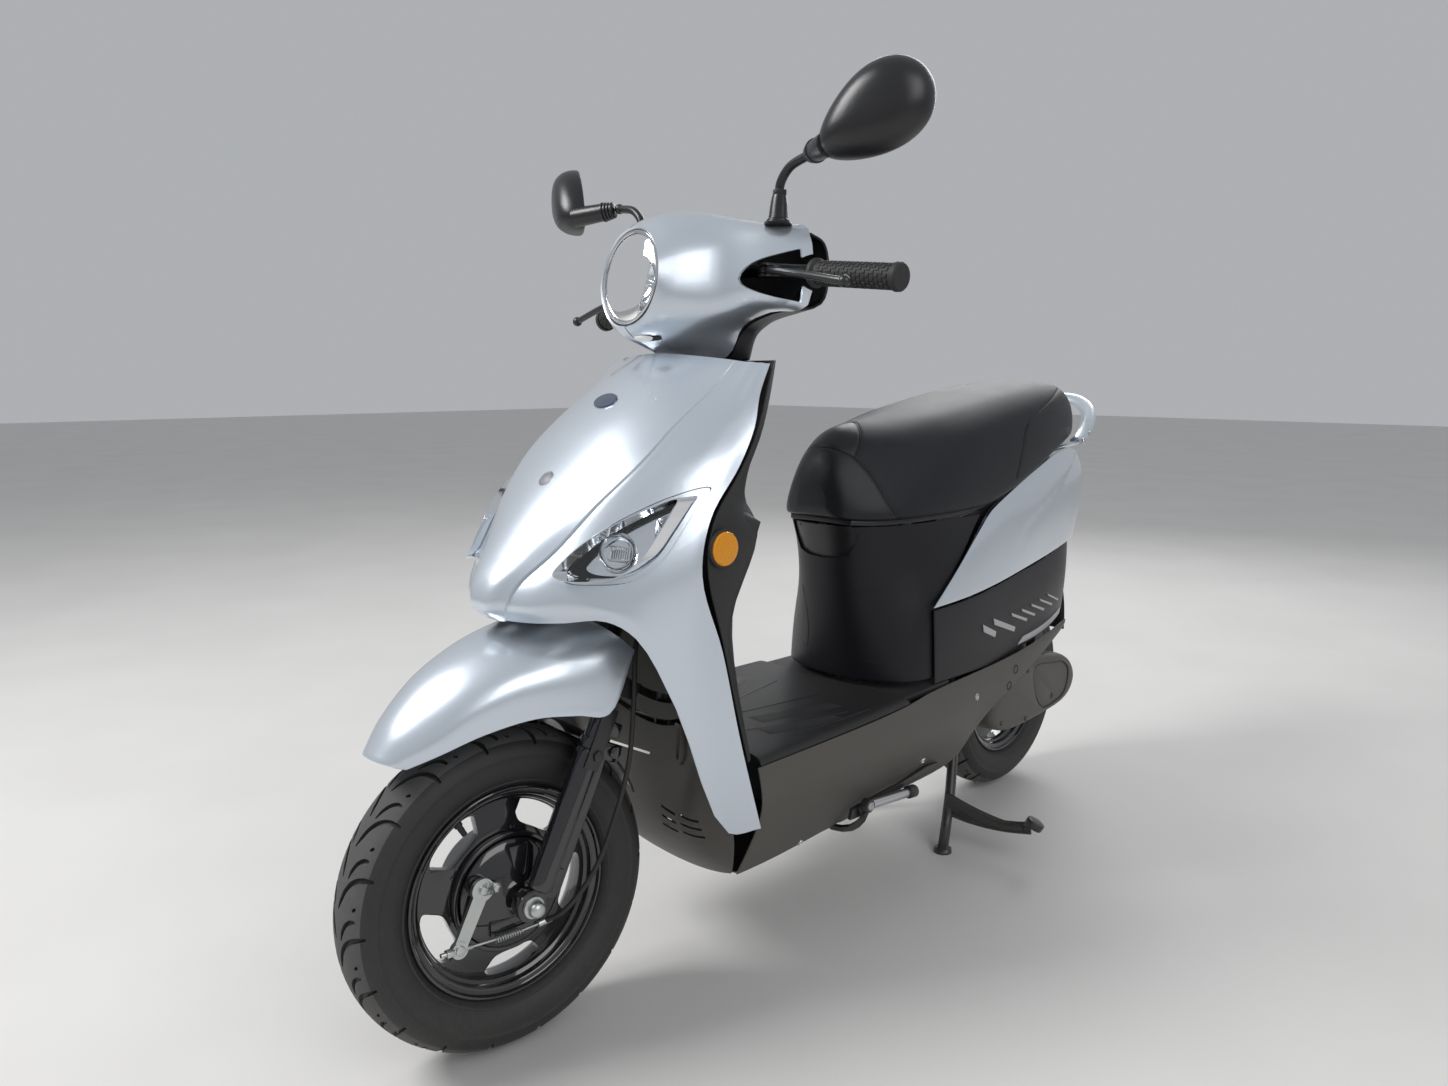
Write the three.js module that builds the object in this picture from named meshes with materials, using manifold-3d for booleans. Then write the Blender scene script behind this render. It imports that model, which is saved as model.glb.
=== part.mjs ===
// A seated electric scooter, life size, in millimetres.
// The front faces -Y, +X is the rider's left and +Z is up. The origin is on the
// ground, half way between the axles. It stands on its front tyre and its centre
// stand, with the front wheel turned a little to the rider's right.
import * as THREE from 'three';
import { mergeVertices } from 'three/addons/utils/BufferGeometryUtils.js';
import Module from 'manifold-3d';

const wasm = await Module();
wasm.setup();

// Driving dimensions.
const wheelbase = 1250;
const seatHeight = 800;
const bodyWidth = 400;
const tyreRadius = 214;
const tyreWidth = 93;
const rearLift = 6; // the rear tyre hangs this far off the ground
const rake = THREE.MathUtils.degToRad(27);
const trail = 85;
const steerAtRest = THREE.MathUtils.degToRad(-5.8);
const gap = 0.4; // air between pieces that touch
const panelWall = 3;
const legSpacing = 80; // each fork leg is this far from the middle
const overrun = 4; // how far a cutting tool reaches past what it cuts

// The panels' shares are thousandths of these three lengths.
const acrossScale = bodyWidth * 2.5;
const alongScale = wheelbase * 0.8;
const upScale = seatHeight * 1.25;

const V = (x, y, z) => new THREE.Vector3(x, y, z);
const place = ([x, y, z]) => V(x * acrossScale, y * alongScale, z * upScale);
const places = (shares) => shares.map(place);
const middle = (a, b, share = 0.5) => a.clone().lerp(b, share);
const xAxis = V(1, 0, 0);
const yAxis = V(0, 1, 0);
const zAxis = V(0, 0, 1);

// Finishes.
const finish = (color, roughness, metalness) =>
  new THREE.MeshStandardMaterial({ color, roughness, metalness, side: THREE.DoubleSide });
const silverPaint = finish(0xbcc9d6, 0.28, 0.7);
const blackPlastic = finish(0x17181a, 0.55, 0);
const greyPlastic = finish(0x35363a, 0.6, 0);
const glossBlack = finish(0x08090a, 0.15, 0.3);
const blackSteel = finish(0x101113, 0.4, 0.6);
const rubber = finish(0x1b1b1c, 0.85, 0);
const vinyl = finish(0x121417, 0.6, 0);
const zinc = finish(0xb8b6ad, 0.4, 0.9);
const steel = finish(0x9b9ea3, 0.3, 1);
const castAlloy = finish(0x4a4b4f, 0.5, 0.6);
const clearLens = finish(0xe8eef4, 0.05, 0.1);
const amberLens = finish(0xe88a10, 0.2, 0);
const redLens = finish(0xa01414, 0.2, 0);
const reflectorFoil = finish(0xd9dcdf, 0.1, 1);
const batteryCase = finish(0x2a3a44, 0.6, 0);

// Closed meshes. Every shape ends as one closed body with its faces outward.
function merged(geometry) {
  const bare = geometry.clone();
  for (const name of ['normal', 'uv', 'color']) {
    if (bare.getAttribute(name)) bare.deleteAttribute(name);
  }
  return mergeVertices(bare, 1e-3);
}

function signedVolume(geometry) {
  const at = (i) => V().fromBufferAttribute(geometry.getAttribute('position'), i);
  const index = geometry.getIndex().array;
  let sum = 0;
  for (let i = 0; i < index.length; i += 3) {
    sum += at(index[i]).dot(at(index[i + 1]).cross(at(index[i + 2])));
  }
  return sum;
}

function outward(geometry) {
  const mesh = merged(geometry);
  const index = Array.from(mesh.getIndex().array);
  const kept = [];
  const flip = signedVolume(mesh) < 0;
  for (let i = 0; i < index.length; i += 3) {
    const [a, b, c] = index.slice(i, i + 3);
    if (a !== b && b !== c && a !== c) kept.push(...(flip ? [a, c, b] : [a, b, c]));
  }
  mesh.setIndex(kept);
  return mesh;
}

function toSolid(geometry) {
  const mesh = outward(geometry);
  return new wasm.Manifold(new wasm.Mesh({
    numProp: 3,
    vertProperties: Float32Array.from(mesh.getAttribute('position').array),
    triVerts: Uint32Array.from(mesh.getIndex().array),
  }));
}

function toGeometry(solid) {
  const mesh = solid.getMesh();
  const geometry = new THREE.BufferGeometry();
  geometry.setAttribute('position', new THREE.BufferAttribute(mesh.vertProperties, 3));
  geometry.setIndex(Array.from(mesh.triVerts));
  return geometry;
}

const join = (first, ...rest) =>
  toGeometry(rest.reduce((body, next) => body.add(toSolid(next)), toSolid(first)));
const cut = (first, ...tools) =>
  toGeometry(tools.reduce((body, tool) => body.subtract(toSolid(tool)), toSolid(first)));
const common = (first, second) => toGeometry(toSolid(first).intersect(toSolid(second)));

function mirrored(geometry) {
  return outward(geometry.clone().applyMatrix4(new THREE.Matrix4().makeScale(-1, 1, 1)));
}

// A body from rows of points. Each row is a ring, or an open line when closed is false.
function skin(rows, { ringed, capped }) {
  const points = rows.flat();
  const across = rows[0].length;
  const index = [];
  const quad = (a, b, c, d) => index.push(a, b, c, a, c, d);
  for (let row = 0; row + 1 < rows.length; row += 1) {
    for (let i = 0; i < (ringed ? across : across - 1); i += 1) {
      const next = (i + 1) % across;
      const base = row * across;
      quad(base + i, base + next, base + across + next, base + across + i);
    }
  }
  if (capped) {
    for (const row of [0, rows.length - 1]) {
      const centre = rows[row].reduce((sum, p) => sum.add(p), V()).divideScalar(across);
      points.push(centre);
      for (let i = 0; i < across; i += 1) {
        const a = row * across + i;
        const b = row * across + ((i + 1) % across);
        index.push(...(row === 0 ? [b, a, points.length - 1] : [a, b, points.length - 1]));
      }
    }
  }
  const geometry = new THREE.BufferGeometry().setFromPoints(points);
  geometry.setIndex(index);
  return geometry;
}

const loft = (rings) => outward(skin(rings, { ringed: true, capped: true }));

function smooth(points, count) {
  const line = new THREE.CatmullRomCurve3(points, false, 'centripetal');
  return Array.from({ length: count + 1 }, (_, i) => line.getPoint(i / count));
}

// A smooth net through a few hand-placed rows: first along each row, then down the columns.
function net(rows, across, down) {
  const wide = rows.map((row) => smooth(row, across));
  const columns = wide[0].map((_, i) => smooth(wide.map((row) => row[i]), down));
  return Array.from({ length: down + 1 }, (_, j) => columns.map((column) => column[j]));
}

const wholeRow = (half) => [
  ...half.slice(1).reverse().map((p) => V(-p.x, p.y, p.z)),
  ...half,
];

function netNormals(rows) {
  const at = (row, i) => rows[Math.min(Math.max(row, 0), rows.length - 1)][
    Math.min(Math.max(i, 0), rows[0].length - 1)];
  return rows.map((line, row) => line.map((_, i) => {
    const acrossStep = at(row, i + 1).clone().sub(at(row, i - 1));
    const downStep = at(row + 1, i).clone().sub(at(row - 1, i));
    return acrossStep.cross(downStep).normalize();
  }));
}

// A panel of even wall: the net is its outer face, and its inner face lies to the side
// that the sign says.
function sheet(rows, wall, side) {
  const normals = netNormals(rows);
  const inner = rows.map((line, row) => line.map((p, i) =>
    p.clone().addScaledVector(normals[row][i], wall * side)));
  const rings = rows.map((line, row) => [...line, ...inner[row].slice().reverse()]);
  const across = rings[0].length;
  const body = skin(rings, { ringed: true, capped: false });
  const index = Array.from(body.getIndex().array);
  for (const row of [0, rings.length - 1]) {
    for (let i = 0; i + 1 < rows[0].length; i += 1) {
      const a = row * across + i;
      const [b, c, d] = [a + 1, row * across + across - 2 - i, row * across + across - 1 - i];
      index.push(...(row === 0 ? [a, c, b, a, d, c] : [a, b, c, a, c, d]));
    }
  }
  body.setIndex(index);
  return outward(body);
}

// The point and the inward direction of a panel, at shares of its columns and rows.
function insideOf(rows, across, down, side) {
  const row = Math.round(down * (rows.length - 1));
  const column = Math.round(across * (rows[0].length - 1));
  return { point: rows[row][column], inward: netNormals(rows)[row][column].multiplyScalar(side) };
}

// Round and flat stock.
function turned(from, to, profile, sides) {
  const geometry = new THREE.LatheGeometry(
    profile.map(([radius, along]) => new THREE.Vector2(radius, along)), sides);
  const direction = to.clone().sub(from).normalize();
  geometry.applyQuaternion(new THREE.Quaternion().setFromUnitVectors(yAxis, direction));
  geometry.translate(from.x, from.y, from.z);
  return outward(geometry);
}

function rod(from, to, radius, sides = 14, endRadius = radius) {
  const length = from.distanceTo(to);
  return turned(from, to, [[0, 0], [radius, 0], [endRadius, length], [0, length]], sides);
}

// A stay from a carrier up to a panel's inner face, with a hair of air at its end.
function stay(from, { point, inward }, wall, radius) {
  const aim = point.clone().sub(from).normalize();
  const tilt = Math.sqrt(Math.max(0, 1 - aim.dot(inward) ** 2));
  const end = point.clone().addScaledVector(inward, wall + gap + radius * tilt);
  return rod(from, end, radius, 5);
}

function pipe(from, to, radius, bore, sides = 16) {
  const length = from.distanceTo(to);
  const profile = [[bore, 0], [radius, 0], [radius, length], [bore, length], [bore, 0]];
  return turned(from, to, profile, sides);
}

function ball(centre, radius, sides = 10) {
  const geometry = new THREE.SphereGeometry(radius, sides, Math.ceil(sides * 0.7));
  return outward(geometry.translate(centre.x, centre.y, centre.z));
}

function slab(centre, width, length, height, turn = null) {
  const geometry = new THREE.BoxGeometry(width, length, height);
  if (turn) geometry.applyQuaternion(turn);
  return outward(geometry.translate(centre.x, centre.y, centre.z));
}

// A tube along a curve through the points, with round or flattened section.
function bent(points, radius, { sides = 8, steps = 16, flat = 1, straight = false } = {}) {
  const section = new THREE.Shape(Array.from({ length: sides }, (_, i) => {
    const angle = (i / sides) * Math.PI * 2;
    return new THREE.Vector2(radius * Math.cos(angle), radius * flat * Math.sin(angle));
  }));
  const path = straight
    ? new THREE.CatmullRomCurve3(points, false, 'catmullrom', 0)
    : new THREE.CatmullRomCurve3(points, false, 'centripetal');
  return outward(new THREE.ExtrudeGeometry(section, {
    steps, curveSegments: 1, bevelEnabled: false, extrudePath: path,
  }));
}

// A plate cut from a closed outline in the YZ plane, from x = inner to x = outer.
function sidePlate(outline, inner, outer, bevel = 0) {
  const shape = new THREE.Shape(outline.map((p) => new THREE.Vector2(p.y, p.z)));
  const depth = outer - inner - bevel * 2;
  const geometry = new THREE.ExtrudeGeometry(shape, {
    depth, bevelEnabled: bevel > 0, bevelSize: bevel, bevelThickness: bevel,
    bevelOffset: -bevel, bevelSegments: 2, curveSegments: 8,
  });
  const turn = new THREE.Matrix4().makeBasis(yAxis, zAxis, xAxis);
  geometry.applyMatrix4(turn).translate(inner + bevel, 0, 0);
  return outward(geometry);
}

const scooter = new THREE.Group();
function add(group, name, geometry, material) {
  const mesh = new THREE.Mesh(outward(geometry), material);
  mesh.name = name;
  group.add(mesh);
  return mesh;
}

function addPair(group, name, geometry, material) {
  add(group, `${name}_left`, geometry, material);
  add(group, `${name}_right`, mirrored(geometry), material);
}

// Steering axis: its foot on the ground, its direction, and forward square to it.
const frontAxle = V(0, -wheelbase / 2, tyreRadius);
const rearAxle = V(0, wheelbase / 2, tyreRadius + rearLift);
const steerFoot = V(0, -wheelbase / 2 - trail, 0);
const steerUp = V(0, Math.sin(rake), Math.cos(rake));
const steerAhead = V(0, -Math.cos(rake), Math.sin(rake));
const onFork = (x, up, ahead) => steerFoot.clone()
  .addScaledVector(xAxis, x).addScaledVector(steerUp, up).addScaledVector(steerAhead, ahead);
const axleUp = frontAxle.clone().sub(steerFoot).dot(steerUp);
const forkTurn = new THREE.Quaternion().setFromAxisAngle(xAxis, -rake);

// The steered half: everything in it is drawn straight ahead, then turned as one.
const steered = new THREE.Group();
steered.position.copy(steerFoot).sub(
  steerFoot.clone().applyAxisAngle(steerUp, steerAtRest));
steered.quaternion.setFromAxisAngle(steerUp, steerAtRest);
scooter.add(steered);

// Wheels: tyre, and a rim with a hub drum and three spokes.
const rim = {
  lipRadius: 140, halfWidth: 34, seatRadius: 128, wellRadius: 112, wellWall: 6,
  hubRadius: 76, hubWall: 7, hubHalf: 30, boreRadius: 9, noseRadius: 20,
  spokeWide: 64, spokeNarrow: 50, spokeDepth: 20, spokes: 5, firstSpoke: Math.PI * 0.52,
};
const tyreWall = 9;
const wheelSides = 22;

function tyre(centre) {
  const half = tyreWidth / 2;
  const seat = rim.seatRadius + gap;
  const bead = rim.halfWidth - rim.wellWall - gap;
  const side = rim.lipRadius + (tyreRadius - rim.lipRadius) * 0.35;
  const shoulder = tyreRadius - (tyreRadius - rim.lipRadius) * 0.2;
  const crown = tyreRadius - (tyreRadius - rim.lipRadius) * 0.05;
  const halfProfile = [
    [seat, bead - tyreWall], [seat, bead], [rim.lipRadius + gap, bead],
    [side, half], [shoulder, half * 0.86], [crown, half * 0.5], [tyreRadius, 0],
  ];
  const inside = [
    [side, half - tyreWall * 0.7], [shoulder - tyreWall, half * 0.7],
    [tyreRadius - tyreWall * 1.4, 0],
  ];
  const flip = (list) => list.slice(0, -1).reverse().map(([r, x]) => [r, -x]);
  const outer = [...halfProfile.slice(1), ...flip(halfProfile).slice(0, -1)];
  const inner = [...inside, ...flip(inside)].reverse();
  const beadInner = halfProfile[0];
  const ring = [...outer, [beadInner[0], -beadInner[1]], ...inner, beadInner, outer[0]];
  return turned(centre, centre.clone().add(xAxis), ring, wheelSides);
}

function wheelRim(centre, drumSide) {
  const r = rim;
  const half = [
    [r.lipRadius, r.halfWidth], [r.lipRadius, r.halfWidth - r.wellWall * 0.8],
    [r.seatRadius, r.halfWidth - r.wellWall], [r.wellRadius + r.wellWall, r.halfWidth * 0.35],
  ];
  const under = [
    [r.wellRadius, r.halfWidth * 0.4],
    [r.lipRadius - r.wellWall, r.halfWidth],
  ];
  const flip = (list) => list.slice().reverse().map(([radius, x]) => [radius, -x]);
  const ring = [...half, ...flip(half), ...flip(under).slice(0), ...under, half[0]];
  const along = centre.clone().add(xAxis);
  const barrel = turned(centre, along, ring, wheelSides);
  const back = centre.clone().addScaledVector(xAxis, -r.hubHalf * drumSide);
  const floor = back.clone().addScaledVector(xAxis, r.hubWall * drumSide);
  const front = centre.clone().addScaledVector(xAxis, r.hubHalf * drumSide);
  const drum = join(
    pipe(back, front, r.hubRadius, r.hubRadius - r.hubWall, 14),
    pipe(back, floor, r.hubRadius, r.boreRadius, 14),
    pipe(back.clone().addScaledVector(xAxis, -r.hubWall * drumSide),
      centre, r.noseRadius, r.boreRadius, 12),
  );
  const spokes = Array.from({ length: r.spokes }, (_, i) => {
    const inner = r.hubRadius - r.hubWall * 0.5;
    const outer = r.wellRadius + r.wellWall * 0.5;
    const spoke = new THREE.Shape([
      new THREE.Vector2(-r.spokeNarrow / 2, inner), new THREE.Vector2(r.spokeNarrow / 2, inner),
      new THREE.Vector2(r.spokeWide / 2, outer * 0.97), new THREE.Vector2(0, outer * 1.01),
      new THREE.Vector2(-r.spokeWide / 2, outer * 0.97),
    ]);
    const geometry = new THREE.ExtrudeGeometry(spoke, { depth: r.spokeDepth, bevelEnabled: false });
    geometry.translate(0, 0, -r.spokeDepth / 2);
    const angle = r.firstSpoke + i * Math.PI * 2 / r.spokes;
    const radial = V(0, Math.cos(angle), Math.sin(angle));
    geometry.applyMatrix4(new THREE.Matrix4().makeBasis(radial.clone().cross(xAxis), radial, xAxis));
    return geometry.translate(centre.x, centre.y, centre.z);
  });
  return join(barrel, drum, ...spokes);
}

add(steered, 'front_tyre', tyre(frontAxle), rubber);
add(steered, 'front_rim', wheelRim(frontAxle, 1), glossBlack);
add(scooter, 'rear_tyre', tyre(rearAxle), rubber);
add(scooter, 'rear_rim', wheelRim(rearAxle, 1), glossBlack);

// Fork: stem with its lower yoke, two stanchions, two sliders with their webs.
const fork = {
  stemRadius: 13, stanchionRadius: 13.5, sliderRadius: 17, legAhead: 15,
  yokeUp: 512, yokeThick: 24, yokeDeep: 52, sliderTop: 440, sliderFoot: 247,
  stanchionFoot: 352, boreFoot: 312, webThick: 8, webDeep: 14, lugRadius: 21,
  stemTop: 1112, lugThick: 18,
};
const axle = { radius: 6, nutRadius: 11, nutLength: 9, flange: 14 };
const legX = legSpacing;
const yoke = cut(
  join(
    slab(onFork(0, fork.yokeUp + fork.yokeThick / 2, fork.legAhead / 2),
      legX * 2 + fork.stanchionRadius * 2.4, fork.yokeDeep, fork.yokeThick, forkTurn),
    rod(onFork(0, fork.yokeUp + overrun, 0), onFork(0, fork.stemTop, 0), fork.stemRadius),
  ),
  ...[-1, 1].map((side) => rod(
    onFork(side * legX, fork.yokeUp - overrun, fork.legAhead),
    onFork(side * legX, fork.yokeUp + fork.yokeThick + overrun, fork.legAhead),
    fork.stanchionRadius + gap, 16)),
);
add(steered, 'steering_stem', yoke, blackSteel);
addPair(steered, 'fork_stanchion', rod(
  onFork(legX, fork.stanchionFoot, fork.legAhead),
  onFork(legX, fork.yokeUp + fork.yokeThick + overrun, fork.legAhead),
  fork.stanchionRadius), steel);

const sliderFoot = onFork(legX, fork.sliderFoot, fork.legAhead);
const sliderTop = onFork(legX, fork.sliderTop, fork.legAhead);
const lugFrom = frontAxle.clone().addScaledVector(xAxis, legX - fork.lugThick / 2);
const lugTo = frontAxle.clone().addScaledVector(xAxis, legX + fork.lugThick / 2);
const slider = cut(
  join(
    rod(sliderFoot, sliderTop, fork.sliderRadius, 14),
    rod(lugFrom, lugTo, fork.lugRadius, 14),
    slab(onFork(legX, (fork.sliderFoot + fork.sliderTop) / 2,
      fork.legAhead - fork.sliderRadius - fork.webDeep / 2 + 3),
    fork.webThick, fork.webDeep, fork.sliderTop - fork.sliderFoot, forkTurn),
  ),
  rod(onFork(legX, fork.boreFoot, fork.legAhead),
    onFork(legX, fork.sliderTop + overrun, fork.legAhead), fork.stanchionRadius + gap, 14),
  rod(lugFrom.clone().addScaledVector(xAxis, -overrun * 3),
    lugTo.clone().addScaledVector(xAxis, overrun * 3), axle.radius + gap, 12),
);
addPair(steered, 'fork_slider', slider, glossBlack);

const axleEnd = legX + fork.lugThick / 2;
const nut = (side) => [
  rod(frontAxle.clone().addScaledVector(xAxis, side * (axleEnd + gap)),
    frontAxle.clone().addScaledVector(xAxis, side * (axleEnd + gap + axle.nutLength)),
    axle.flange, 12, axle.nutRadius),
];
add(steered, 'front_axle', join(
  rod(frontAxle.clone().addScaledVector(xAxis, -axleEnd - axle.nutLength),
    frontAxle.clone().addScaledVector(xAxis, axleEnd + axle.nutLength), axle.radius, 12),
  rod(frontAxle.clone().addScaledVector(xAxis, -legX + fork.lugThick / 2 + gap),
    frontAxle.clone().addScaledVector(xAxis, rim.hubHalf), rim.boreRadius - gap * 2, 12),
  ...nut(-1), ...nut(1)), zinc);

// Drum brake on the left: panel, cam arm, and the cable from the handlebar.
const brake = {
  panelRadius: 71, panelThick: 9, bossRadius: 19, bossLength: 22,
  camRadius: 8, armThick: 5, armWide: 15, armEnd: 11, pinUp: 28, pinAhead: 51, armUp: -38,
  armAhead: 87, stopUp: -36, stopAhead: -24,
};
const panelX = rim.hubHalf + gap * 2;
const panelFrom = frontAxle.clone().addScaledVector(xAxis, panelX);
const outX = (distance) => panelX + distance;
const wheelPlane = (x, up, ahead) => frontAxle.clone()
  .add(V(x, -ahead, up));
const camPin = wheelPlane(0, brake.pinUp, brake.pinAhead);
const armEndAt = wheelPlane(0, brake.armUp, brake.armAhead);
const cableStop = wheelPlane(outX(brake.bossLength + 6), brake.stopUp, brake.stopAhead);
const at = (point, x) => V(x, point.y, point.z);
const brakeBoss = outX(brake.bossLength);
const brakePanel = cut(
  join(
    pipe(panelFrom, at(panelFrom, outX(brake.panelThick)), brake.panelRadius, axle.radius + gap, 20),
    pipe(panelFrom, at(panelFrom, brakeBoss), brake.bossRadius, axle.radius + gap, 14),
    rod(at(camPin, outX(1)), at(camPin, brakeBoss), brake.camRadius * 1.8, 14),
    bent([at(cableStop, outX(brake.panelThick * 0.5)), cableStop], brake.camRadius, { steps: 1 }),
  ),
  rod(at(camPin, outX(-overrun)), at(camPin, brakeBoss + overrun), brake.camRadius * 0.7 + gap, 12),
);
add(steered, 'brake_panel', brakePanel, glossBlack);
const armX = brakeBoss + gap;
add(steered, 'brake_arm', join(
  rod(at(camPin, outX(brake.panelThick)), at(camPin, armX + brake.armThick),
    brake.camRadius * 0.7, 12),
  rod(at(camPin, armX), at(camPin, armX + brake.armThick), brake.armWide, 14),
  rod(at(armEndAt, armX), at(armEndAt, armX + brake.armThick), brake.armEnd, 12),
  sidePlate([
    camPin.clone().add(V(0, brake.armWide * 0.8, 0)), camPin.clone().add(V(0, -brake.armWide * 0.8, 0)),
    armEndAt.clone().add(V(0, -brake.armEnd * 0.7, 0)), armEndAt.clone().add(V(0, brake.armEnd * 0.7, 0)),
  ], armX, armX + brake.armThick),
), zinc);
const cableRadius = 3.5;
const cableRoute = [
  onFork(62, 600, -30), onFork(86, 560, -28), place([0.097, -0.455, 0.53]),
  place([0.1, -0.466, 0.45]), place([0.1, -0.478, 0.368]), place([0.096, -0.505, 0.29]),
  place([0.09, -0.535, 0.23]), place([0.08, -0.575, 0.188]), cableStop.clone().add(V(1, 9, -5)),
];
add(steered, 'brake_cable', bent(cableRoute, cableRadius, { sides: 5, steps: 22 }), blackPlastic);

// Fender over the front wheel, carried by the sliders.
const fenderShares = [
  [[0, -0.786, 0.425], [0.021, -0.783, 0.424], [0.036, -0.773, 0.421], [0.044, -0.757, 0.416]],
  [[0, -0.758, 0.464], [0.034, -0.754, 0.458], [0.06, -0.738, 0.444], [0.065, -0.724, 0.43]],
  [[0, -0.71, 0.508], [0.042, -0.706, 0.5], [0.076, -0.692, 0.478], [0.081, -0.672, 0.447]],
  [[0, -0.65, 0.54], [0.048, -0.646, 0.531], [0.088, -0.634, 0.503], [0.095, -0.61, 0.456]],
  [[0, -0.595, 0.556], [0.052, -0.592, 0.547], [0.095, -0.582, 0.512], [0.103, -0.556, 0.45]],
  [[0, -0.548, 0.563], [0.054, -0.543, 0.556], [0.098, -0.532, 0.518], [0.106, -0.51, 0.443]],
  [[0, -0.52, 0.565], [0.056, -0.508, 0.56], [0.098, -0.484, 0.538], [0.106, -0.466, 0.52]],
];
const fenderWall = 3;
const fenderTab = {
  thick: 4, wide: 24, low: 402, high: 492, boltRadius: 9, boltUp: 430, head: 7.5, lean: 8,
};
const tabInner = legX + fork.sliderRadius + gap;
const tab = join(
  slab(onFork(tabInner + fenderTab.thick / 2, (fenderTab.low + fenderTab.high) / 2, fork.legAhead),
    fenderTab.thick, fenderTab.wide, fenderTab.high - fenderTab.low, forkTurn),
  slab(onFork(tabInner + fenderTab.head / 2, fenderTab.high, fork.legAhead + fenderTab.lean),
    fenderTab.head, fenderTab.wide, fenderTab.wide, forkTurn),
  rod(onFork(tabInner + 1, fenderTab.boltUp, fork.legAhead - 2),
    onFork(tabInner + fenderTab.thick * 2, fenderTab.boltUp, fork.legAhead - 2),
    fenderTab.boltRadius, 10),
);
const fenderRows = net(fenderShares.map((row) => wholeRow(places(row))), 12, 10);
const fender = join(sheet(fenderRows, fenderWall, -1), tab, mirrored(tab));
add(steered, 'front_fender', fender, silverPaint);

// Handlebar: straight grips that droop and sweep back, a cross piece and the stem clamp.
const bar = {
  radius: 11, elbow: 70, end: 330, clampWide: 44, clampUp: 1092, clampTall: 60,
  gripFrom: 192, gripRadius: 17, gripFlange: 22, flangeLong: 8, ahead: 27, up: 1135,
  post: 5, postUp: 1125,
};
const elbow = onFork(bar.elbow, bar.up, bar.ahead);
const barEnd = V(bar.end, -196 / 1000 * alongScale, 986 / 1000 * upScale);
const alongGrip = (x, extra = V()) =>
  middle(elbow, barEnd, (x - bar.elbow) / (bar.end - bar.elbow)).add(extra);
const flipX = (p) => V(-p.x, p.y, p.z);
const lever = { perchX: 133, reach: 30, thick: 8, slot: 1.4, perchWide: 20, earDrop: 9, pinRadius: 2.8 };
const leverPin = alongGrip(lever.perchX, V(0, -lever.reach, 0));
const perch = (p, q) => cut(
  join(
    slab(middle(p, q), lever.perchWide, p.distanceTo(q), lever.earDrop * 2),
    rod(q.clone().addScaledVector(zAxis, -lever.earDrop),
      q.clone().addScaledVector(zAxis, lever.earDrop), lever.perchWide / 2, 12),
  ),
  slab(q.clone().add(V(0, -2, 0)), lever.perchWide * 2, lever.perchWide * 1.2,
    lever.thick + lever.slot * 2),
);
const perchLeft = perch(alongGrip(lever.perchX), leverPin);
const pinLeft = rod(leverPin.clone().addScaledVector(zAxis, -lever.earDrop),
  leverPin.clone().addScaledVector(zAxis, lever.earDrop), lever.pinRadius, 10);
const clampAt = onFork(0, bar.clampUp + bar.clampTall / 2 - 14, bar.ahead / 2);
const gripPipe = (flangeRadius) => {
  const from = alongGrip(bar.gripFrom);
  const length = from.distanceTo(barEnd) + 4;
  const bore = bar.radius + gap;
  return turned(from, barEnd, [
    [bore, 0], [flangeRadius, 0], [flangeRadius, bar.flangeLong],
    [bar.gripRadius, bar.flangeLong + 2], [bar.gripRadius, length - 8],
    [bar.gripRadius + 1.5, length - 6], [bar.gripRadius, length], [0, length],
    [0, length - 3], [bore, length - 3], [bore, 0],
  ], 14);
};
add(steered, 'grip_left', gripPipe(bar.gripFlange * 0.9), rubber);
add(steered, 'throttle_grip', mirrored(gripPipe(bar.gripFlange)), rubber);

const leverRoute = [
  leverPin, alongGrip(175, V(0, -47, -1)), alongGrip(230, V(0, -62, -4)),
  alongGrip(290, V(0, -70, -9)), alongGrip(304, V(0, -71, -10)),
];
const leverTip = leverRoute[leverRoute.length - 1];
const leverBlade = cut(
  join(
    rod(leverPin.clone().addScaledVector(zAxis, -lever.thick / 2),
      leverPin.clone().addScaledVector(zAxis, lever.thick / 2), lever.perchWide * 0.45, 12),
    bent(leverRoute, lever.thick * 0.45, { sides: 7, steps: 6, flat: 1.7 }),
    ball(leverTip, lever.thick, 7),
  ),
  rod(leverPin.clone().addScaledVector(zAxis, -lever.thick),
    leverPin.clone().addScaledVector(zAxis, lever.thick), lever.pinRadius + gap, 10),
);
addPair(steered, 'brake_lever', leverBlade, blackSteel);

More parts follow.
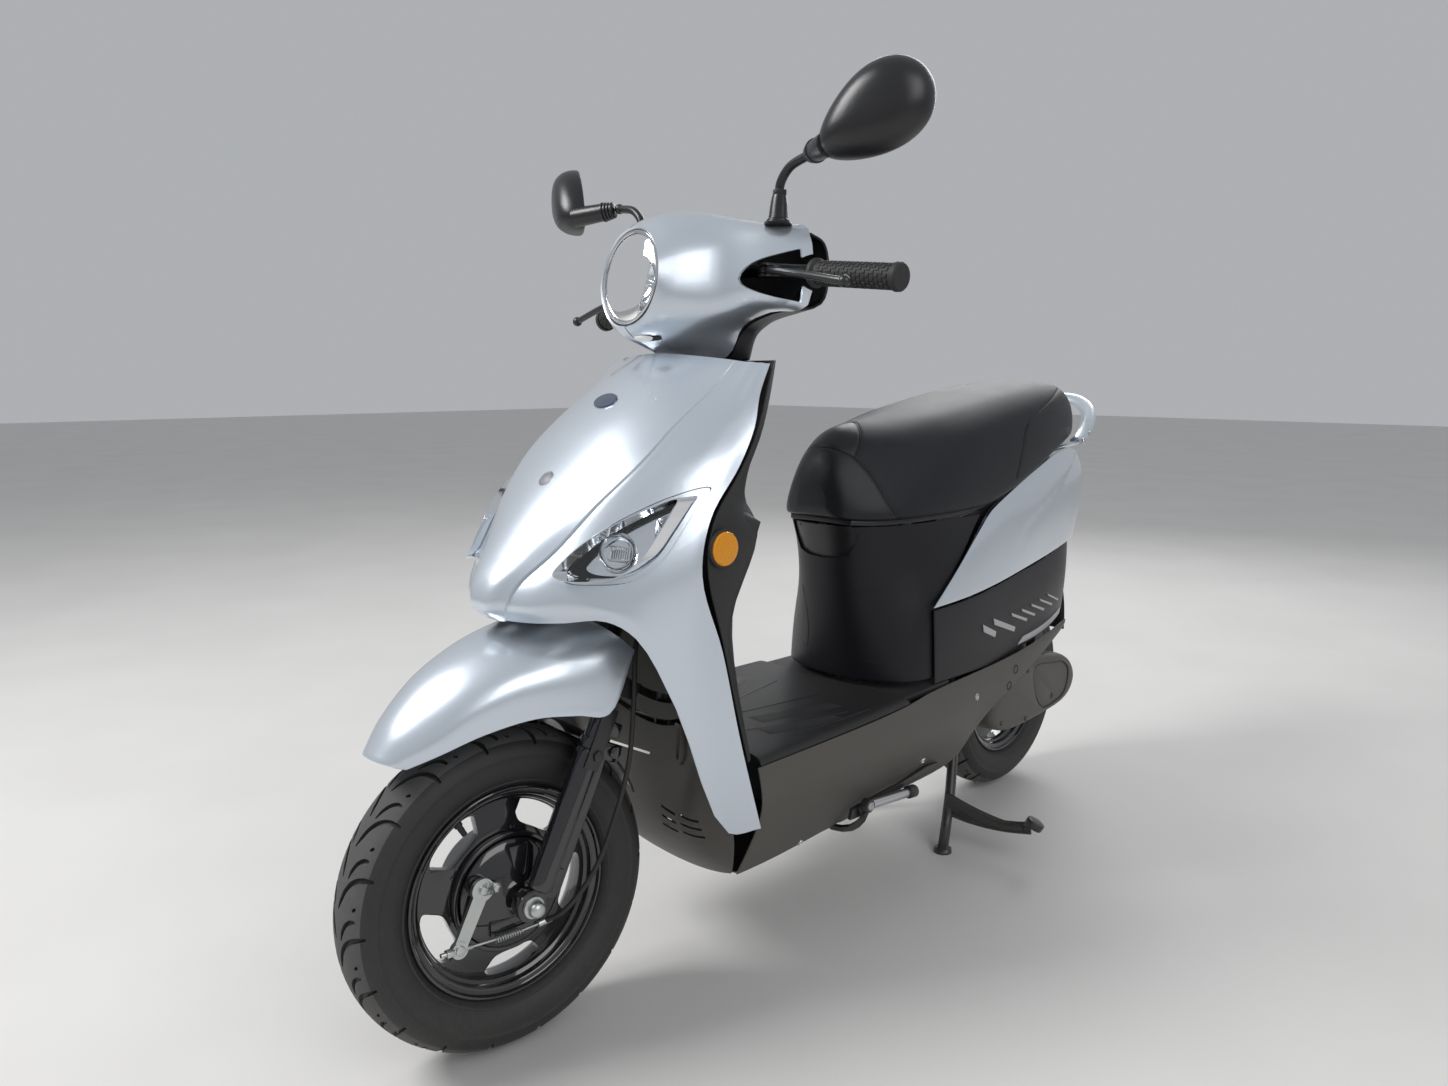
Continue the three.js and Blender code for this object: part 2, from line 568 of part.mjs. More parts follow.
// Headlight cowl: rings that spread from the lens to the cowl's rear edge and the neck.
// They stay a hair open underneath, where the moulded halves meet.
const cowlShares = [
  [[0, -0.364, 1.078], [0.033, -0.366, 1.069], [0.054, -0.369, 1.048], [0.064, -0.373, 1.027],
    [0.066, -0.376, 1.006], [0.061, -0.378, 0.986], [0.045, -0.381, 0.962], [0.022, -0.384, 0.949],
    [0.001, -0.384, 0.946]],
  [[0, -0.336, 1.093], [0.035, -0.339, 1.086], [0.061, -0.344, 1.064], [0.075, -0.35, 1.034],
    [0.077, -0.355, 1.004], [0.072, -0.36, 0.977], [0.054, -0.366, 0.952], [0.028, -0.371, 0.938],
    [0.001, -0.373, 0.935]],
  [[0, -0.278, 1.106], [0.046, -0.282, 1.098], [0.084, -0.287, 1.078], [0.105, -0.291, 1.048],
    [0.108, -0.296, 1.003], [0.098, -0.302, 0.968], [0.074, -0.312, 0.943], [0.043, -0.328, 0.926],
    [0.001, -0.345, 0.92]],
  [[0, -0.232, 1.101], [0.06, -0.24, 1.091], [0.112, -0.247, 1.078], [0.148, -0.251, 1.06],
    [0.151, -0.26, 0.982], [0.116, -0.265, 0.963], [0.08, -0.275, 0.943], [0.056, -0.29, 0.917],
    [0.001, -0.331, 0.911]],
  [[0, -0.194, 1.091], [0.07, -0.202, 1.083], [0.138, -0.208, 1.071], [0.186, -0.212, 1.062],
    [0.187, -0.216, 0.965], [0.126, -0.229, 0.962], [0.08, -0.241, 0.945], [0.062, -0.257, 0.903],
    [0.001, -0.322, 0.903]],
];
const cowlRows = net(cowlShares.map((row) => wholeRow(places(row))), 22, 8);
const leverHoleShares = [
  [0.124, -0.4, 1.004], [0.134, -0.4, 1.018], [0.16, -0.4, 1.03], [0.2, -0.4, 1.036],
  [0.2, -0.4, 0.966], [0.17, -0.4, 0.972], [0.138, -0.4, 0.986], [0.126, -0.4, 0.995],
];
const leverHoleDeep = 175;
function frontPrism(outline, depth) {
  const shape = new THREE.Shape(outline.map((p) => new THREE.Vector2(p.x, p.z)));
  const geometry = new THREE.ExtrudeGeometry(shape, { depth, bevelEnabled: false });
  geometry.applyMatrix4(new THREE.Matrix4().makeBasis(xAxis, zAxis, yAxis.clone().negate()));
  return outward(geometry.translate(0, outline[0].y + depth, 0));
}
const leverHole = frontPrism(places(leverHoleShares), leverHoleDeep);
const barHole = (radius) => rod(alongGrip(150), alongGrip(210), radius, 14);
const gripHole = barHole(bar.gripFlange + panelWall);
add(steered, 'headlight_cowl', cut(sheet(cowlRows, panelWall, -1),
  leverHole, mirrored(leverHole), gripHole, mirrored(gripHole)), silverPaint);

const rearCoverShares = [
  [[0, -0.187, 1.086], [0.07, -0.196, 1.079], [0.138, -0.202, 1.067], [0.183, -0.205, 1.057]],
  [[0, -0.15, 1.062], [0.07, -0.153, 1.058], [0.138, -0.165, 1.052], [0.186, -0.184, 1.046]],
  [[0, -0.138, 1.01], [0.07, -0.142, 1.01], [0.138, -0.155, 1.01], [0.187, -0.178, 1.012]],
  [[0, -0.15, 0.968], [0.07, -0.155, 0.968], [0.135, -0.17, 0.968], [0.186, -0.192, 0.968]],
  [[0, -0.162, 0.95], [0.05, -0.168, 0.952], [0.09, -0.19, 0.956], [0.122, -0.221, 0.96]],
  [[0, -0.17, 0.935], [0.036, -0.178, 0.936], [0.062, -0.204, 0.937], [0.074, -0.236, 0.939]],
  [[0, -0.186, 0.9], [0.034, -0.193, 0.9], [0.055, -0.214, 0.9], [0.06, -0.248, 0.901]],
];
const rearCoverRows = net(rearCoverShares.map((row) => wholeRow(places(row))), 12, 9);
const rearCover = sheet(rearCoverRows, panelWall, -1);

// Small controls on the cover: a push button in a hole, and a sliding switch on the face.
const button = { radius: 7, inside: 12, outside: 9, stand: 5, wide: 14, high: 10, clear: 0.9 };
const onCover = ([x, z]) => {
  const fine = net(rearCoverShares.map((row) => wholeRow(places(row))), 28, 24).flat();
  const away = (p) => Math.hypot(p.x - x * acrossScale, p.z - z * upScale);
  return fine.reduce((best, p) => (away(p) < away(best) ? p : best));
};
const hornSeat = onCover([0.12, 0.988]);
const switchSeat = onCover([0.12, 1.026]);
const hornRod = (radius, extra) => rod(hornSeat.clone().add(V(0, -button.inside - extra, 0)),
  hornSeat.clone().add(V(0, button.outside + extra, 0)), radius, 14);
add(steered, 'horn_button', hornRod(button.radius, 0), blackPlastic);
add(steered, 'turn_switch', slab(
  switchSeat.clone().add(V(0, button.clear + button.stand, 0)),
  button.wide, button.stand * 2, button.high), greyPlastic);
add(steered, 'handlebar_cover', cut(rearCover, gripHole, mirrored(gripHole),
  hornRod(button.radius + gap, button.inside)), blackPlastic);

// The covers' posts stand on the bar's clamp.
const postFoot = onFork(0, bar.postUp, bar.ahead);
const handlebar = cut(
  join(
    rod(flipX(elbow), elbow, bar.radius, 12),
    rod(elbow, barEnd, bar.radius, 12), rod(flipX(elbow), flipX(barEnd), bar.radius, 12),
    ball(elbow, bar.radius, 8), ball(flipX(elbow), bar.radius, 8),
    slab(clampAt, bar.clampWide, bar.ahead + bar.radius * 4, bar.clampTall, forkTurn),
    perchLeft, mirrored(perchLeft), pinLeft, mirrored(pinLeft),
    stay(postFoot, insideOf(rearCoverRows, 0.5, 0.4, -1), panelWall, bar.post),
    stay(postFoot, insideOf(cowlRows, 0.5, 0.8, -1), panelWall, bar.post),
  ),
  rod(onFork(0, bar.clampUp - bar.clampTall, 0), onFork(0, fork.stemTop + gap, 0),
    fork.stemRadius + gap, 14),
);
add(steered, 'handlebar', handlebar, blackSteel);

// Headlight: a domed lens in the cowl's ring, and the bowl behind it.
const lamp = { radius: 62, dome: 9, lensWall: 3, bowlDepth: 46, bowlWall: 2.5, bulbRadius: 12 };
const lampCentre = place([0, -0.3735, 1.012]);
const lampAim = place([0, -0.384, 0.946]).sub(place([0, -0.364, 1.078]))
  .cross(xAxis).normalize();
if (lampAim.y > 0) lampAim.negate();
const lampAt = (distance) => lampCentre.clone().addScaledVector(lampAim, distance);
const domeProfile = (radius, rise, wall) => {
  const steps = 3;
  const arc = (r, h, base) => Array.from({ length: steps + 1 }, (_, i) => {
    const angle = (i / steps) * Math.PI / 2;
    return [r * Math.sin(angle), base + h * Math.cos(angle)];
  });
  return [...arc(radius, rise, 0), [radius, -wall], ...arc(radius - wall, rise, -wall).reverse()];
};
add(steered, 'headlight_lens', turned(lampAt(0), lampAt(1),
  domeProfile(lamp.radius, lamp.dome, lamp.lensWall), 22), clearLens);
add(steered, 'headlight_reflector', turned(lampAt(-lamp.lensWall - gap), lampAt(1), [
  [lamp.radius - 2, 0], [lamp.radius * 0.75, -lamp.bowlDepth * 0.6],
  [lamp.radius * 0.3, -lamp.bowlDepth], [0, -lamp.bowlDepth],
  [0, -lamp.bowlDepth + lamp.bowlWall], [lamp.radius * 0.28, -lamp.bowlDepth + lamp.bowlWall],
  [lamp.radius * 0.72, -lamp.bowlDepth * 0.6 + lamp.bowlWall],
  [lamp.radius - 2 - lamp.bowlWall, 0], [lamp.radius - 2, 0],
], 18), reflectorFoil);

// Mirrors: a booted stem on each side and a drop-shaped head on its swivel.
const mirrorSize = {
  bootRadius: 13, stemRadius: 6.5, socketRadius: 12, length: 144, height: 114,
  yaw: THREE.MathUtils.degToRad(27), roll: THREE.MathUtils.degToRad(28), sides: 14,
  ballRadius: 7.9, ballGap: 8.2,
};
const mirrorFoot = place([0.157, -0.24, 1.0716]);
const bootTop = mirrorFoot.clone().add(V(0, 4, 38));
const mirrorSocket = place([0.216, -0.236, 1.151]);
const stemRoute = [bootTop.clone().add(V(0, 0, -8)), bootTop.clone().add(V(2, 0, 12)),
  bootTop.clone().add(V(20, 0, 32)), mirrorSocket];
const mirrorStem = join(
  rod(mirrorFoot, bootTop, mirrorSize.bootRadius * 1.2, 10, mirrorSize.bootRadius * 0.8),
  bent(stemRoute, mirrorSize.stemRadius, { steps: 6 }),
  ball(mirrorSocket, mirrorSize.ballRadius, 8),
);
const mirrorCentre = place([0.337, -0.243, 1.176]);
const intoGlass = V(-Math.sin(mirrorSize.yaw), Math.cos(mirrorSize.yaw), 0);
const flatOut = V(Math.cos(mirrorSize.yaw), Math.sin(mirrorSize.yaw), 0);
const mirrorLong = flatOut.clone().applyAxisAngle(intoGlass, -mirrorSize.roll);
const mirrorTall = mirrorLong.clone().cross(intoGlass).normalize();
const dropOutline = (angle) => {
  const narrow = 0.5 - 0.5 * Math.cos(angle);
  const taper = 1 - 0.36 * narrow ** 1.6;
  return [Math.cos(angle) * (1 + 0.12 * narrow), Math.sin(angle) * taper];
};
const mirrorRings = [
  [0.92, 9], [1, 4], [1, 0], [0.96, -12], [0.84, -24], [0.62, -33], [0.3, -38],
].map(([scaleShare, depth]) => Array.from({ length: mirrorSize.sides }, (_, i) => {
  const [u, v] = dropOutline((i / mirrorSize.sides) * Math.PI * 2);
  return mirrorCentre.clone()
    .addScaledVector(mirrorLong, u * scaleShare * mirrorSize.length / 2)
    .addScaledVector(mirrorTall, v * scaleShare * mirrorSize.height / 2)
    .addScaledVector(intoGlass, depth);
}));
const neckTo = mirrorCentre.clone().addScaledVector(mirrorLong, -mirrorSize.length * 0.46)
  .addScaledVector(intoGlass, -mirrorSize.stemRadius);
const neckAim = neckTo.clone().sub(mirrorSocket).normalize();
const neckFrom = mirrorSocket.clone().addScaledVector(neckAim, mirrorSize.ballGap);
const mirrorHead = join(loft(mirrorRings),
  rod(neckFrom, neckTo, mirrorSize.socketRadius * 0.8, 10, mirrorSize.socketRadius * 1.3));
addPair(steered, 'mirror_stem', mirrorStem, blackPlastic);
addPair(steered, 'mirror_head', mirrorHead, blackPlastic);

// Front apron: hood and both legs in one net. Rows run from the top edge down, and
// points from the middle to the left edge.
const apronShares = [
  [[0, -0.338, 0.906], [0.061, -0.329, 0.903], [0.122, -0.308, 0.897], [0.129, -0.304, 0.896],
    [0.136, -0.3, 0.895], [0.143, -0.296, 0.895], [0.149, -0.292, 0.894], [0.154, -0.288, 0.894],
    [0.159, -0.285, 0.893], [0.163, -0.282, 0.893]],
  [[0, -0.393, 0.87], [0.061, -0.384, 0.867], [0.122, -0.352, 0.86], [0.131, -0.346, 0.858],
    [0.139, -0.34, 0.857], [0.147, -0.334, 0.856], [0.154, -0.328, 0.855], [0.161, -0.322, 0.855],
    [0.167, -0.316, 0.854], [0.172, -0.311, 0.854]],
  [[0, -0.453, 0.82], [0.061, -0.446, 0.819], [0.121, -0.418, 0.815], [0.133, -0.408, 0.813],
    [0.144, -0.397, 0.812], [0.154, -0.386, 0.811], [0.163, -0.374, 0.811], [0.171, -0.361, 0.81],
    [0.178, -0.348, 0.81], [0.184, -0.336, 0.81]],
  [[0, -0.505, 0.768], [0.059, -0.498, 0.768], [0.118, -0.474, 0.769], [0.132, -0.463, 0.768],
    [0.146, -0.45, 0.768], [0.159, -0.436, 0.767], [0.17, -0.421, 0.766], [0.179, -0.404, 0.765],
    [0.186, -0.388, 0.764], [0.191, -0.372, 0.763]],
  [[0, -0.557, 0.712], [0.048, -0.551, 0.712], [0.095, -0.53, 0.716], [0.118, -0.516, 0.715],
    [0.139, -0.498, 0.714], [0.158, -0.479, 0.713], [0.173, -0.462, 0.711], [0.184, -0.448, 0.708],
    [0.191, -0.438, 0.704], [0.196, -0.428, 0.701]],
  [[0, -0.603, 0.655], [0.034, -0.598, 0.656], [0.068, -0.575, 0.662], [0.097, -0.563, 0.659],
    [0.124, -0.544, 0.656], [0.15, -0.52, 0.652], [0.171, -0.496, 0.647], [0.186, -0.473, 0.642],
    [0.195, -0.456, 0.637], [0.198, -0.445, 0.632]],
  [[0, -0.633, 0.612], [0.02, -0.631, 0.612], [0.041, -0.614, 0.62], [0.074, -0.603, 0.614],
    [0.105, -0.582, 0.612], [0.136, -0.552, 0.606], [0.16, -0.522, 0.598], [0.177, -0.49, 0.575],
    [0.188, -0.452, 0.535], [0.192, -0.403, 0.525]],
  [[0, -0.636, 0.592], [0.016, -0.635, 0.592], [0.033, -0.624, 0.596], [0.067, -0.61, 0.594],
    [0.1, -0.586, 0.594], [0.136, -0.553, 0.594], [0.16, -0.523, 0.578], [0.175, -0.48, 0.52],
    [0.18, -0.412, 0.4], [0.188, -0.366, 0.4]],
  [[0, -0.62, 0.577], [0.012, -0.62, 0.577], [0.026, -0.618, 0.577], [0.06, -0.604, 0.577],
    [0.095, -0.582, 0.579], [0.135, -0.548, 0.582], [0.158, -0.52, 0.56], [0.171, -0.467, 0.462],
    [0.166, -0.364, 0.256], [0.182, -0.315, 0.252]],
];
const apronRows = net(apronShares.map((row) => wholeRow(places(row))), 24, 13);
const lampShares = [
  [0.088, -0.7, 0.641], [0.094, -0.7, 0.66], [0.11, -0.7, 0.684], [0.136, -0.7, 0.709],
  [0.165, -0.7, 0.731], [0.188, -0.7, 0.741], [0.188, -0.7, 0.72], [0.184, -0.7, 0.685],
  [0.175, -0.7, 0.65], [0.157, -0.7, 0.63], [0.125, -0.7, 0.626], [0.1, -0.7, 0.629],
];
const lampReach = 300;
const lampGap = 0.8;
const lampHole = frontPrism(places(lampShares), lampReach);
const shrink = (outline, by) => {
  const centre = outline.reduce((sum, p) => sum.add(p), V()).divideScalar(outline.length);
  return outline.map((p) => p.clone().sub(centre).multiplyScalar(
    1 - by / p.distanceTo(centre)).add(centre));
};
const lampPlug = frontPrism(shrink(places(lampShares), lampGap * 2), lampReach);
const lampThick = 22;
add(scooter, 'front_apron', cut(sheet(apronRows, panelWall, 1), lampHole, mirrored(lampHole)),
  silverPaint);
addPair(scooter, 'apron_lamp', common(sheet(apronRows, lampThick, 1), lampPlug), clearLens);

// Leg shield with its side wings, facing the rider.
const shieldShares = [
  [[0, -0.165, 0.9], [0.06, -0.174, 0.9], [0.11, -0.212, 0.9], [0.15, -0.256, 0.9],
    [0.163, -0.274, 0.899]],
  [[0, -0.178, 0.85], [0.065, -0.19, 0.85], [0.12, -0.234, 0.85], [0.164, -0.284, 0.85],
    [0.176, -0.303, 0.85]],
  [[0, -0.195, 0.8], [0.07, -0.21, 0.8], [0.13, -0.264, 0.8], [0.177, -0.312, 0.8],
    [0.188, -0.333, 0.8]],
  [[0, -0.213, 0.745], [0.075, -0.234, 0.745], [0.14, -0.303, 0.745], [0.185, -0.356, 0.745],
    [0.195, -0.379, 0.745]],
  [[0, -0.223, 0.715], [0.075, -0.244, 0.715], [0.14, -0.308, 0.715], [0.187, -0.366, 0.716],
    [0.199, -0.414, 0.715]],
  [[0, -0.235, 0.68], [0.075, -0.252, 0.68], [0.14, -0.306, 0.68], [0.193, -0.319, 0.682],
    [0.203, -0.436, 0.675]],
  [[0, -0.25, 0.625], [0.075, -0.264, 0.625], [0.14, -0.314, 0.625], [0.194, -0.352, 0.625],
    [0.204, -0.438, 0.625]],
  [[0, -0.268, 0.555], [0.075, -0.278, 0.555], [0.14, -0.332, 0.555], [0.191, -0.394, 0.555],
    [0.2, -0.409, 0.555]],
  [[0, -0.288, 0.455], [0.075, -0.295, 0.455], [0.14, -0.322, 0.455], [0.183, -0.361, 0.455],
    [0.193, -0.377, 0.455]],
  [[0, -0.305, 0.358], [0.075, -0.308, 0.358], [0.14, -0.316, 0.358], [0.176, -0.328, 0.358],
    [0.19, -0.346, 0.358]],
];
const shieldRows = net(shieldShares.map((row) => wholeRow(places(row))), 16, 13);

// Round side reflectors on the wings.
const sideLamp = { radius: 25, thick: 9, lift: -1.1 };
const wingAt = place([0.2055, -0.414, 0.664]);
const wingOut = xAxis;
const reflectorSeat = wingAt.clone().addScaledVector(wingOut, sideLamp.lift);
addPair(scooter, 'side_reflector', rod(reflectorSeat,
  reflectorSeat.clone().addScaledVector(wingOut, sideLamp.thick),
  sideLamp.radius, 20, sideLamp.radius * 0.85), amberLens);

// Ignition lock in the leg shield, to the right of the steering.
const lock = { radius: 15, inside: 22, outside: 12 };
const lockAt = place([-0.085, -0.225, 0.8]);
const lockAim = V(-0.2, 1, 0.32).normalize();
const lockRod = (radius, extra) => rod(
  lockAt.clone().addScaledVector(lockAim, -lock.inside - extra),
  lockAt.clone().addScaledVector(lockAim, lock.outside + extra), radius, 16);
add(scooter, 'ignition_lock', lockRod(lock.radius, 0), steel);
add(scooter, 'leg_shield', cut(sheet(shieldRows, panelWall, -1),
  lockRod(lock.radius + gap, lock.inside)), blackPlastic);

// Inner cover behind the front wheel.
const innerShares = [
  [[0, -0.325, 0.52], [0.07, -0.335, 0.52], [0.118, -0.37, 0.52], [0.152, -0.42, 0.52]],
  [[0, -0.35, 0.4], [0.07, -0.36, 0.4], [0.118, -0.39, 0.4], [0.155, -0.405, 0.4]],
  [[0, -0.368, 0.3], [0.07, -0.376, 0.3], [0.115, -0.386, 0.3], [0.155, -0.36, 0.3]],
  [[0, -0.374, 0.24], [0.065, -0.378, 0.24], [0.11, -0.372, 0.24], [0.148, -0.332, 0.24]],
  [[0, -0.352, 0.182], [0.06, -0.35, 0.182], [0.102, -0.338, 0.182], [0.13, -0.314, 0.182]],
  [[0, -0.302, 0.138], [0.05, -0.3, 0.139], [0.082, -0.295, 0.141], [0.102, -0.29, 0.144]],
];
add(scooter, 'front_inner_cover', sheet(
  net(innerShares.map((row) => wholeRow(places(row))), 12, 8), panelWall, 1), greyPlastic);

// Floorboard.
const floorShares = [
  [[0, -0.302, 0.352], [0.09, -0.303, 0.352], [0.16, -0.308, 0.352], [0.176, -0.311, 0.35],
    [0.182, -0.313, 0.342]],
  [[0, -0.2, 0.352], [0.09, -0.2, 0.352], [0.16, -0.2, 0.352], [0.175, -0.2, 0.35],
    [0.181, -0.2, 0.342]],
  [[0, -0.06, 0.352], [0.09, -0.06, 0.352], [0.158, -0.06, 0.352], [0.173, -0.06, 0.35],
    [0.179, -0.06, 0.342]],
  [[0, 0.044, 0.353], [0.066, 0.054, 0.353], [0.148, 0.056, 0.353], [0.166, 0.06, 0.351],
    [0.172, 0.062, 0.343]],
];
const floorRows = net(floorShares.map((row) => wholeRow(places(row))), 10, 4);
add(scooter, 'floorboard', sheet(floorRows, panelWall, -1), blackPlastic);

// Side skirts under the floorboard, with a tail that runs back over the drive unit.
const skirtShares = [
  [[0.181, -0.318, 0.34], [0.186, -0.316, 0.312], [0.187, -0.314, 0.277], [0.152, -0.305, 0.205],
    [0.113, -0.29, 0.146]],
  [[0.181, -0.2, 0.34], [0.185, -0.2, 0.312], [0.188, -0.2, 0.277], [0.15, -0.2, 0.205],
    [0.112, -0.2, 0.143]],
  [[0.179, -0.06, 0.34], [0.184, -0.06, 0.312], [0.187, -0.06, 0.276], [0.15, -0.05, 0.208],
    [0.111, -0.04, 0.15]],
  [[0.173, 0.058, 0.341], [0.179, 0.06, 0.312], [0.184, 0.06, 0.275], [0.15, 0.08, 0.21],
    [0.11, 0.1, 0.154]],
  [[0.16, 0.132, 0.342], [0.171, 0.135, 0.314], [0.18, 0.15, 0.274], [0.15, 0.18, 0.212],
    [0.112, 0.21, 0.158]],
  [[0.154, 0.21, 0.342], [0.164, 0.215, 0.31], [0.168, 0.25, 0.27], [0.152, 0.27, 0.225],
    [0.125, 0.29, 0.175]],
  [[0.15, 0.31, 0.343], [0.154, 0.31, 0.315], [0.155, 0.312, 0.285], [0.151, 0.312, 0.255],
    [0.143, 0.315, 0.23]],
  [[0.146, 0.44, 0.346], [0.149, 0.435, 0.327], [0.15, 0.432, 0.307], [0.149, 0.43, 0.292],
    [0.148, 0.428, 0.279]],
  [[0.138, 0.58, 0.358], [0.141, 0.57, 0.348], [0.142, 0.565, 0.338], [0.142, 0.562, 0.329],
    [0.142, 0.559, 0.32]],
  [[0.122, 0.7, 0.372], [0.124, 0.698, 0.368], [0.125, 0.694, 0.364], [0.125, 0.69, 0.36],
    [0.125, 0.687, 0.356]],
];
const skirtRows = net(skirtShares.map(places), 7, 14);
addPair(scooter, 'side_skirt', sheet(skirtRows, panelWall, -1), greyPlastic);

// Belly pan between the skirts' lower edges, with slots for the pegs' brackets.
const pegArmSlot = 20;
const bellyShares = [
  [[0, -0.284, 0.134], [0.05, -0.283, 0.135], [0.084, -0.28, 0.138], [0.1, -0.278, 0.14]],
  [[0, -0.1, 0.134], [0.05, -0.1, 0.135], [0.086, -0.1, 0.138], [0.107, -0.1, 0.143]],
  [[0, 0.1, 0.142], [0.05, 0.1, 0.143], [0.086, 0.1, 0.146], [0.106, 0.1, 0.15]],
  [[0, 0.23, 0.147], [0.05, 0.23, 0.148], [0.086, 0.23, 0.151], [0.105, 0.23, 0.155]],
];
const bellyRows = net(bellyShares.map((row) => wholeRow(places(row))), 6, 4);
const bellyPan = sheet(bellyRows, panelWall, 1);
const pegSlot = (side) => slab(place([0.094 * side, -0.046, 0.14]), pegArmSlot * 2, pegArmSlot, upScale * 0.05);
add(scooter, 'belly_pan', cut(bellyPan, pegSlot(1), pegSlot(-1)), greyPlastic);

// Black cover from the floorboard up to the seat.
const baseShares = [
  [[0, 0.016, 0.6292], [0.053, 0.024, 0.6292], [0.092, 0.062, 0.6292], [0.117, 0.16, 0.6292],
    [0.126, 0.335, 0.6292]],
  [[0, 0.026, 0.6], [0.052, 0.034, 0.6], [0.091, 0.072, 0.6], [0.12, 0.16, 0.6],
    [0.133, 0.295, 0.598]],
  [[0, 0.034, 0.55], [0.05, 0.042, 0.55], [0.09, 0.08, 0.55], [0.125, 0.155, 0.55],
    [0.14, 0.245, 0.548]],
  [[0, 0.042, 0.49], [0.052, 0.05, 0.49], [0.096, 0.085, 0.49], [0.132, 0.132, 0.488],
    [0.145, 0.17, 0.486]],
  [[0, 0.05, 0.42], [0.058, 0.058, 0.42], [0.105, 0.088, 0.42], [0.137, 0.122, 0.42],
    [0.1462, 0.174, 0.42]],
  [[0, 0.056, 0.36], [0.064, 0.064, 0.36], [0.114, 0.09, 0.36], [0.139, 0.122, 0.36],
    [0.1465, 0.176, 0.36]],
];
const baseRows = net(baseShares.map((row) => wholeRow(places(row))), 14, 8);
add(scooter, 'seat_base_cover', sheet(baseRows, panelWall, 1), blackPlastic);

// Silver side covers of the tail.
const coverShares = [
  [[0.132, 0.362, 0.634], [0.141, 0.294, 0.588], [0.148, 0.222, 0.535], [0.152, 0.153, 0.486]],
  [[0.129, 0.432, 0.66], [0.139, 0.38, 0.605], [0.145, 0.32, 0.548], [0.15, 0.258, 0.488]],
  [[0.121, 0.505, 0.682], [0.134, 0.47, 0.62], [0.138, 0.43, 0.56], [0.142, 0.375, 0.495]],
  [[0.112, 0.592, 0.706], [0.126, 0.57, 0.64], [0.13, 0.545, 0.575], [0.131, 0.485, 0.505]],
  [[0.102, 0.667, 0.724], [0.115, 0.66, 0.66], [0.117, 0.64, 0.59], [0.115, 0.62, 0.517]],
  [[0.088, 0.747, 0.727], [0.1, 0.75, 0.67], [0.103, 0.74, 0.605], [0.1, 0.715, 0.526]],
  [[0.072, 0.815, 0.716], [0.083, 0.826, 0.672], [0.085, 0.818, 0.61], [0.086, 0.788, 0.534]],
  [[0.05, 0.85, 0.706], [0.056, 0.866, 0.668], [0.057, 0.86, 0.612], [0.058, 0.83, 0.54]],
];
const sideCoverRows = net(coverShares.map(places), 7, 12);
addPair(scooter, 'side_cover', sheet(sideCoverRows, panelWall, -1), silverPaint);

// Black lower tail cover, with louvres along each side.
const tailShares = [
  [[0, 0.822, 0.54], [0.03, 0.82, 0.539], [0.058, 0.808, 0.536], [0.084, 0.772, 0.529],
    [0.113, 0.62, 0.512], [0.129, 0.485, 0.5], [0.141, 0.375, 0.49], [0.149, 0.258, 0.483],
    [0.149, 0.158, 0.481]],
  [[0, 0.815, 0.46], [0.03, 0.812, 0.46], [0.06, 0.8, 0.46], [0.088, 0.768, 0.46],
    [0.118, 0.64, 0.45], [0.133, 0.5, 0.44], [0.144, 0.38, 0.43], [0.151, 0.26, 0.425],
    [0.151, 0.16, 0.422]],
  [[0, 0.8, 0.385], [0.03, 0.798, 0.385], [0.06, 0.785, 0.385], [0.085, 0.756, 0.38],
    [0.113, 0.66, 0.368], [0.13, 0.52, 0.352], [0.141, 0.4, 0.342], [0.15, 0.27, 0.347],
    [0.151, 0.165, 0.35]],
];
const tailRows = net(tailShares.map((row) => wholeRow(places(row))), 24, 4);
add(scooter, 'tail_lower_cover', sheet(tailRows, panelWall, -1), blackPlastic);

// Tail lamp and the plate holder under it.
const tailLamp = { halfTop: 0.046, halfLow: 0.052 };
const lampSection = (y, z, half, high) => {
  const centre = place([0, y, z]);
  return Array.from({ length: 14 }, (_, i) => {
    const angle = (i / 14) * Math.PI * 2;
    const corner = (v) => Math.sign(v) * Math.abs(v) ** 0.6;
    return centre.clone().add(V(corner(Math.cos(angle)) * half * acrossScale, 0,
      corner(Math.sin(angle)) * high * upScale));
  });
};
add(scooter, 'tail_lamp', loft([
  lampSection(0.8, 0.625, tailLamp.halfTop, 0.06), lampSection(0.84, 0.625, tailLamp.halfTop, 0.068),
  lampSection(0.868, 0.627, tailLamp.halfTop * 0.85, 0.058),
  lampSection(0.878, 0.628, tailLamp.halfTop * 0.5, 0.035),
]), redLens);
const plate = { halfWidth: 78, wall: 4 };
const plateShares = [
  [[0, 0.8185, 0.455], [0.04, 0.817, 0.455], [0.05, 0.813, 0.455]],
  [[0, 0.832, 0.41], [0.045, 0.83, 0.41], [0.052, 0.825, 0.41]],
  [[0, 0.846, 0.36], [0.044, 0.844, 0.36], [0.052, 0.839, 0.36]],
  [[0, 0.851, 0.31], [0.042, 0.849, 0.31], [0.05, 0.845, 0.31]],
];
add(scooter, 'rear_mudguard', sheet(
  net(plateShares.map((row) => wholeRow(places(row))), 6, 5), plate.wall, -1), blackPlastic);

// Grab rail round the back of the seat.
const railShares = [
  [0.1, 0.752, 0.742], [0.099, 0.78, 0.755], [0.092, 0.815, 0.777], [0.075, 0.85, 0.801],
  [0.04, 0.876, 0.822], [0, 0.884, 0.829],
];
const rail = { radius: 16, flat: 0.6, prong: 5 };
const railHalf = places(railShares);
const railProng = rod(place([0.1, 0.758, 0.739]), place([0.0575, 0.6965, 0.7192]), rail.prong, 6);
add(scooter, 'grab_rail', join(
  bent([...railHalf, ...railHalf.slice(0, -1).reverse().map(flipX)],
    rail.radius, { sides: 9, steps: 16, flat: rail.flat }),
  railProng, mirrored(railProng),
), silverPaint);

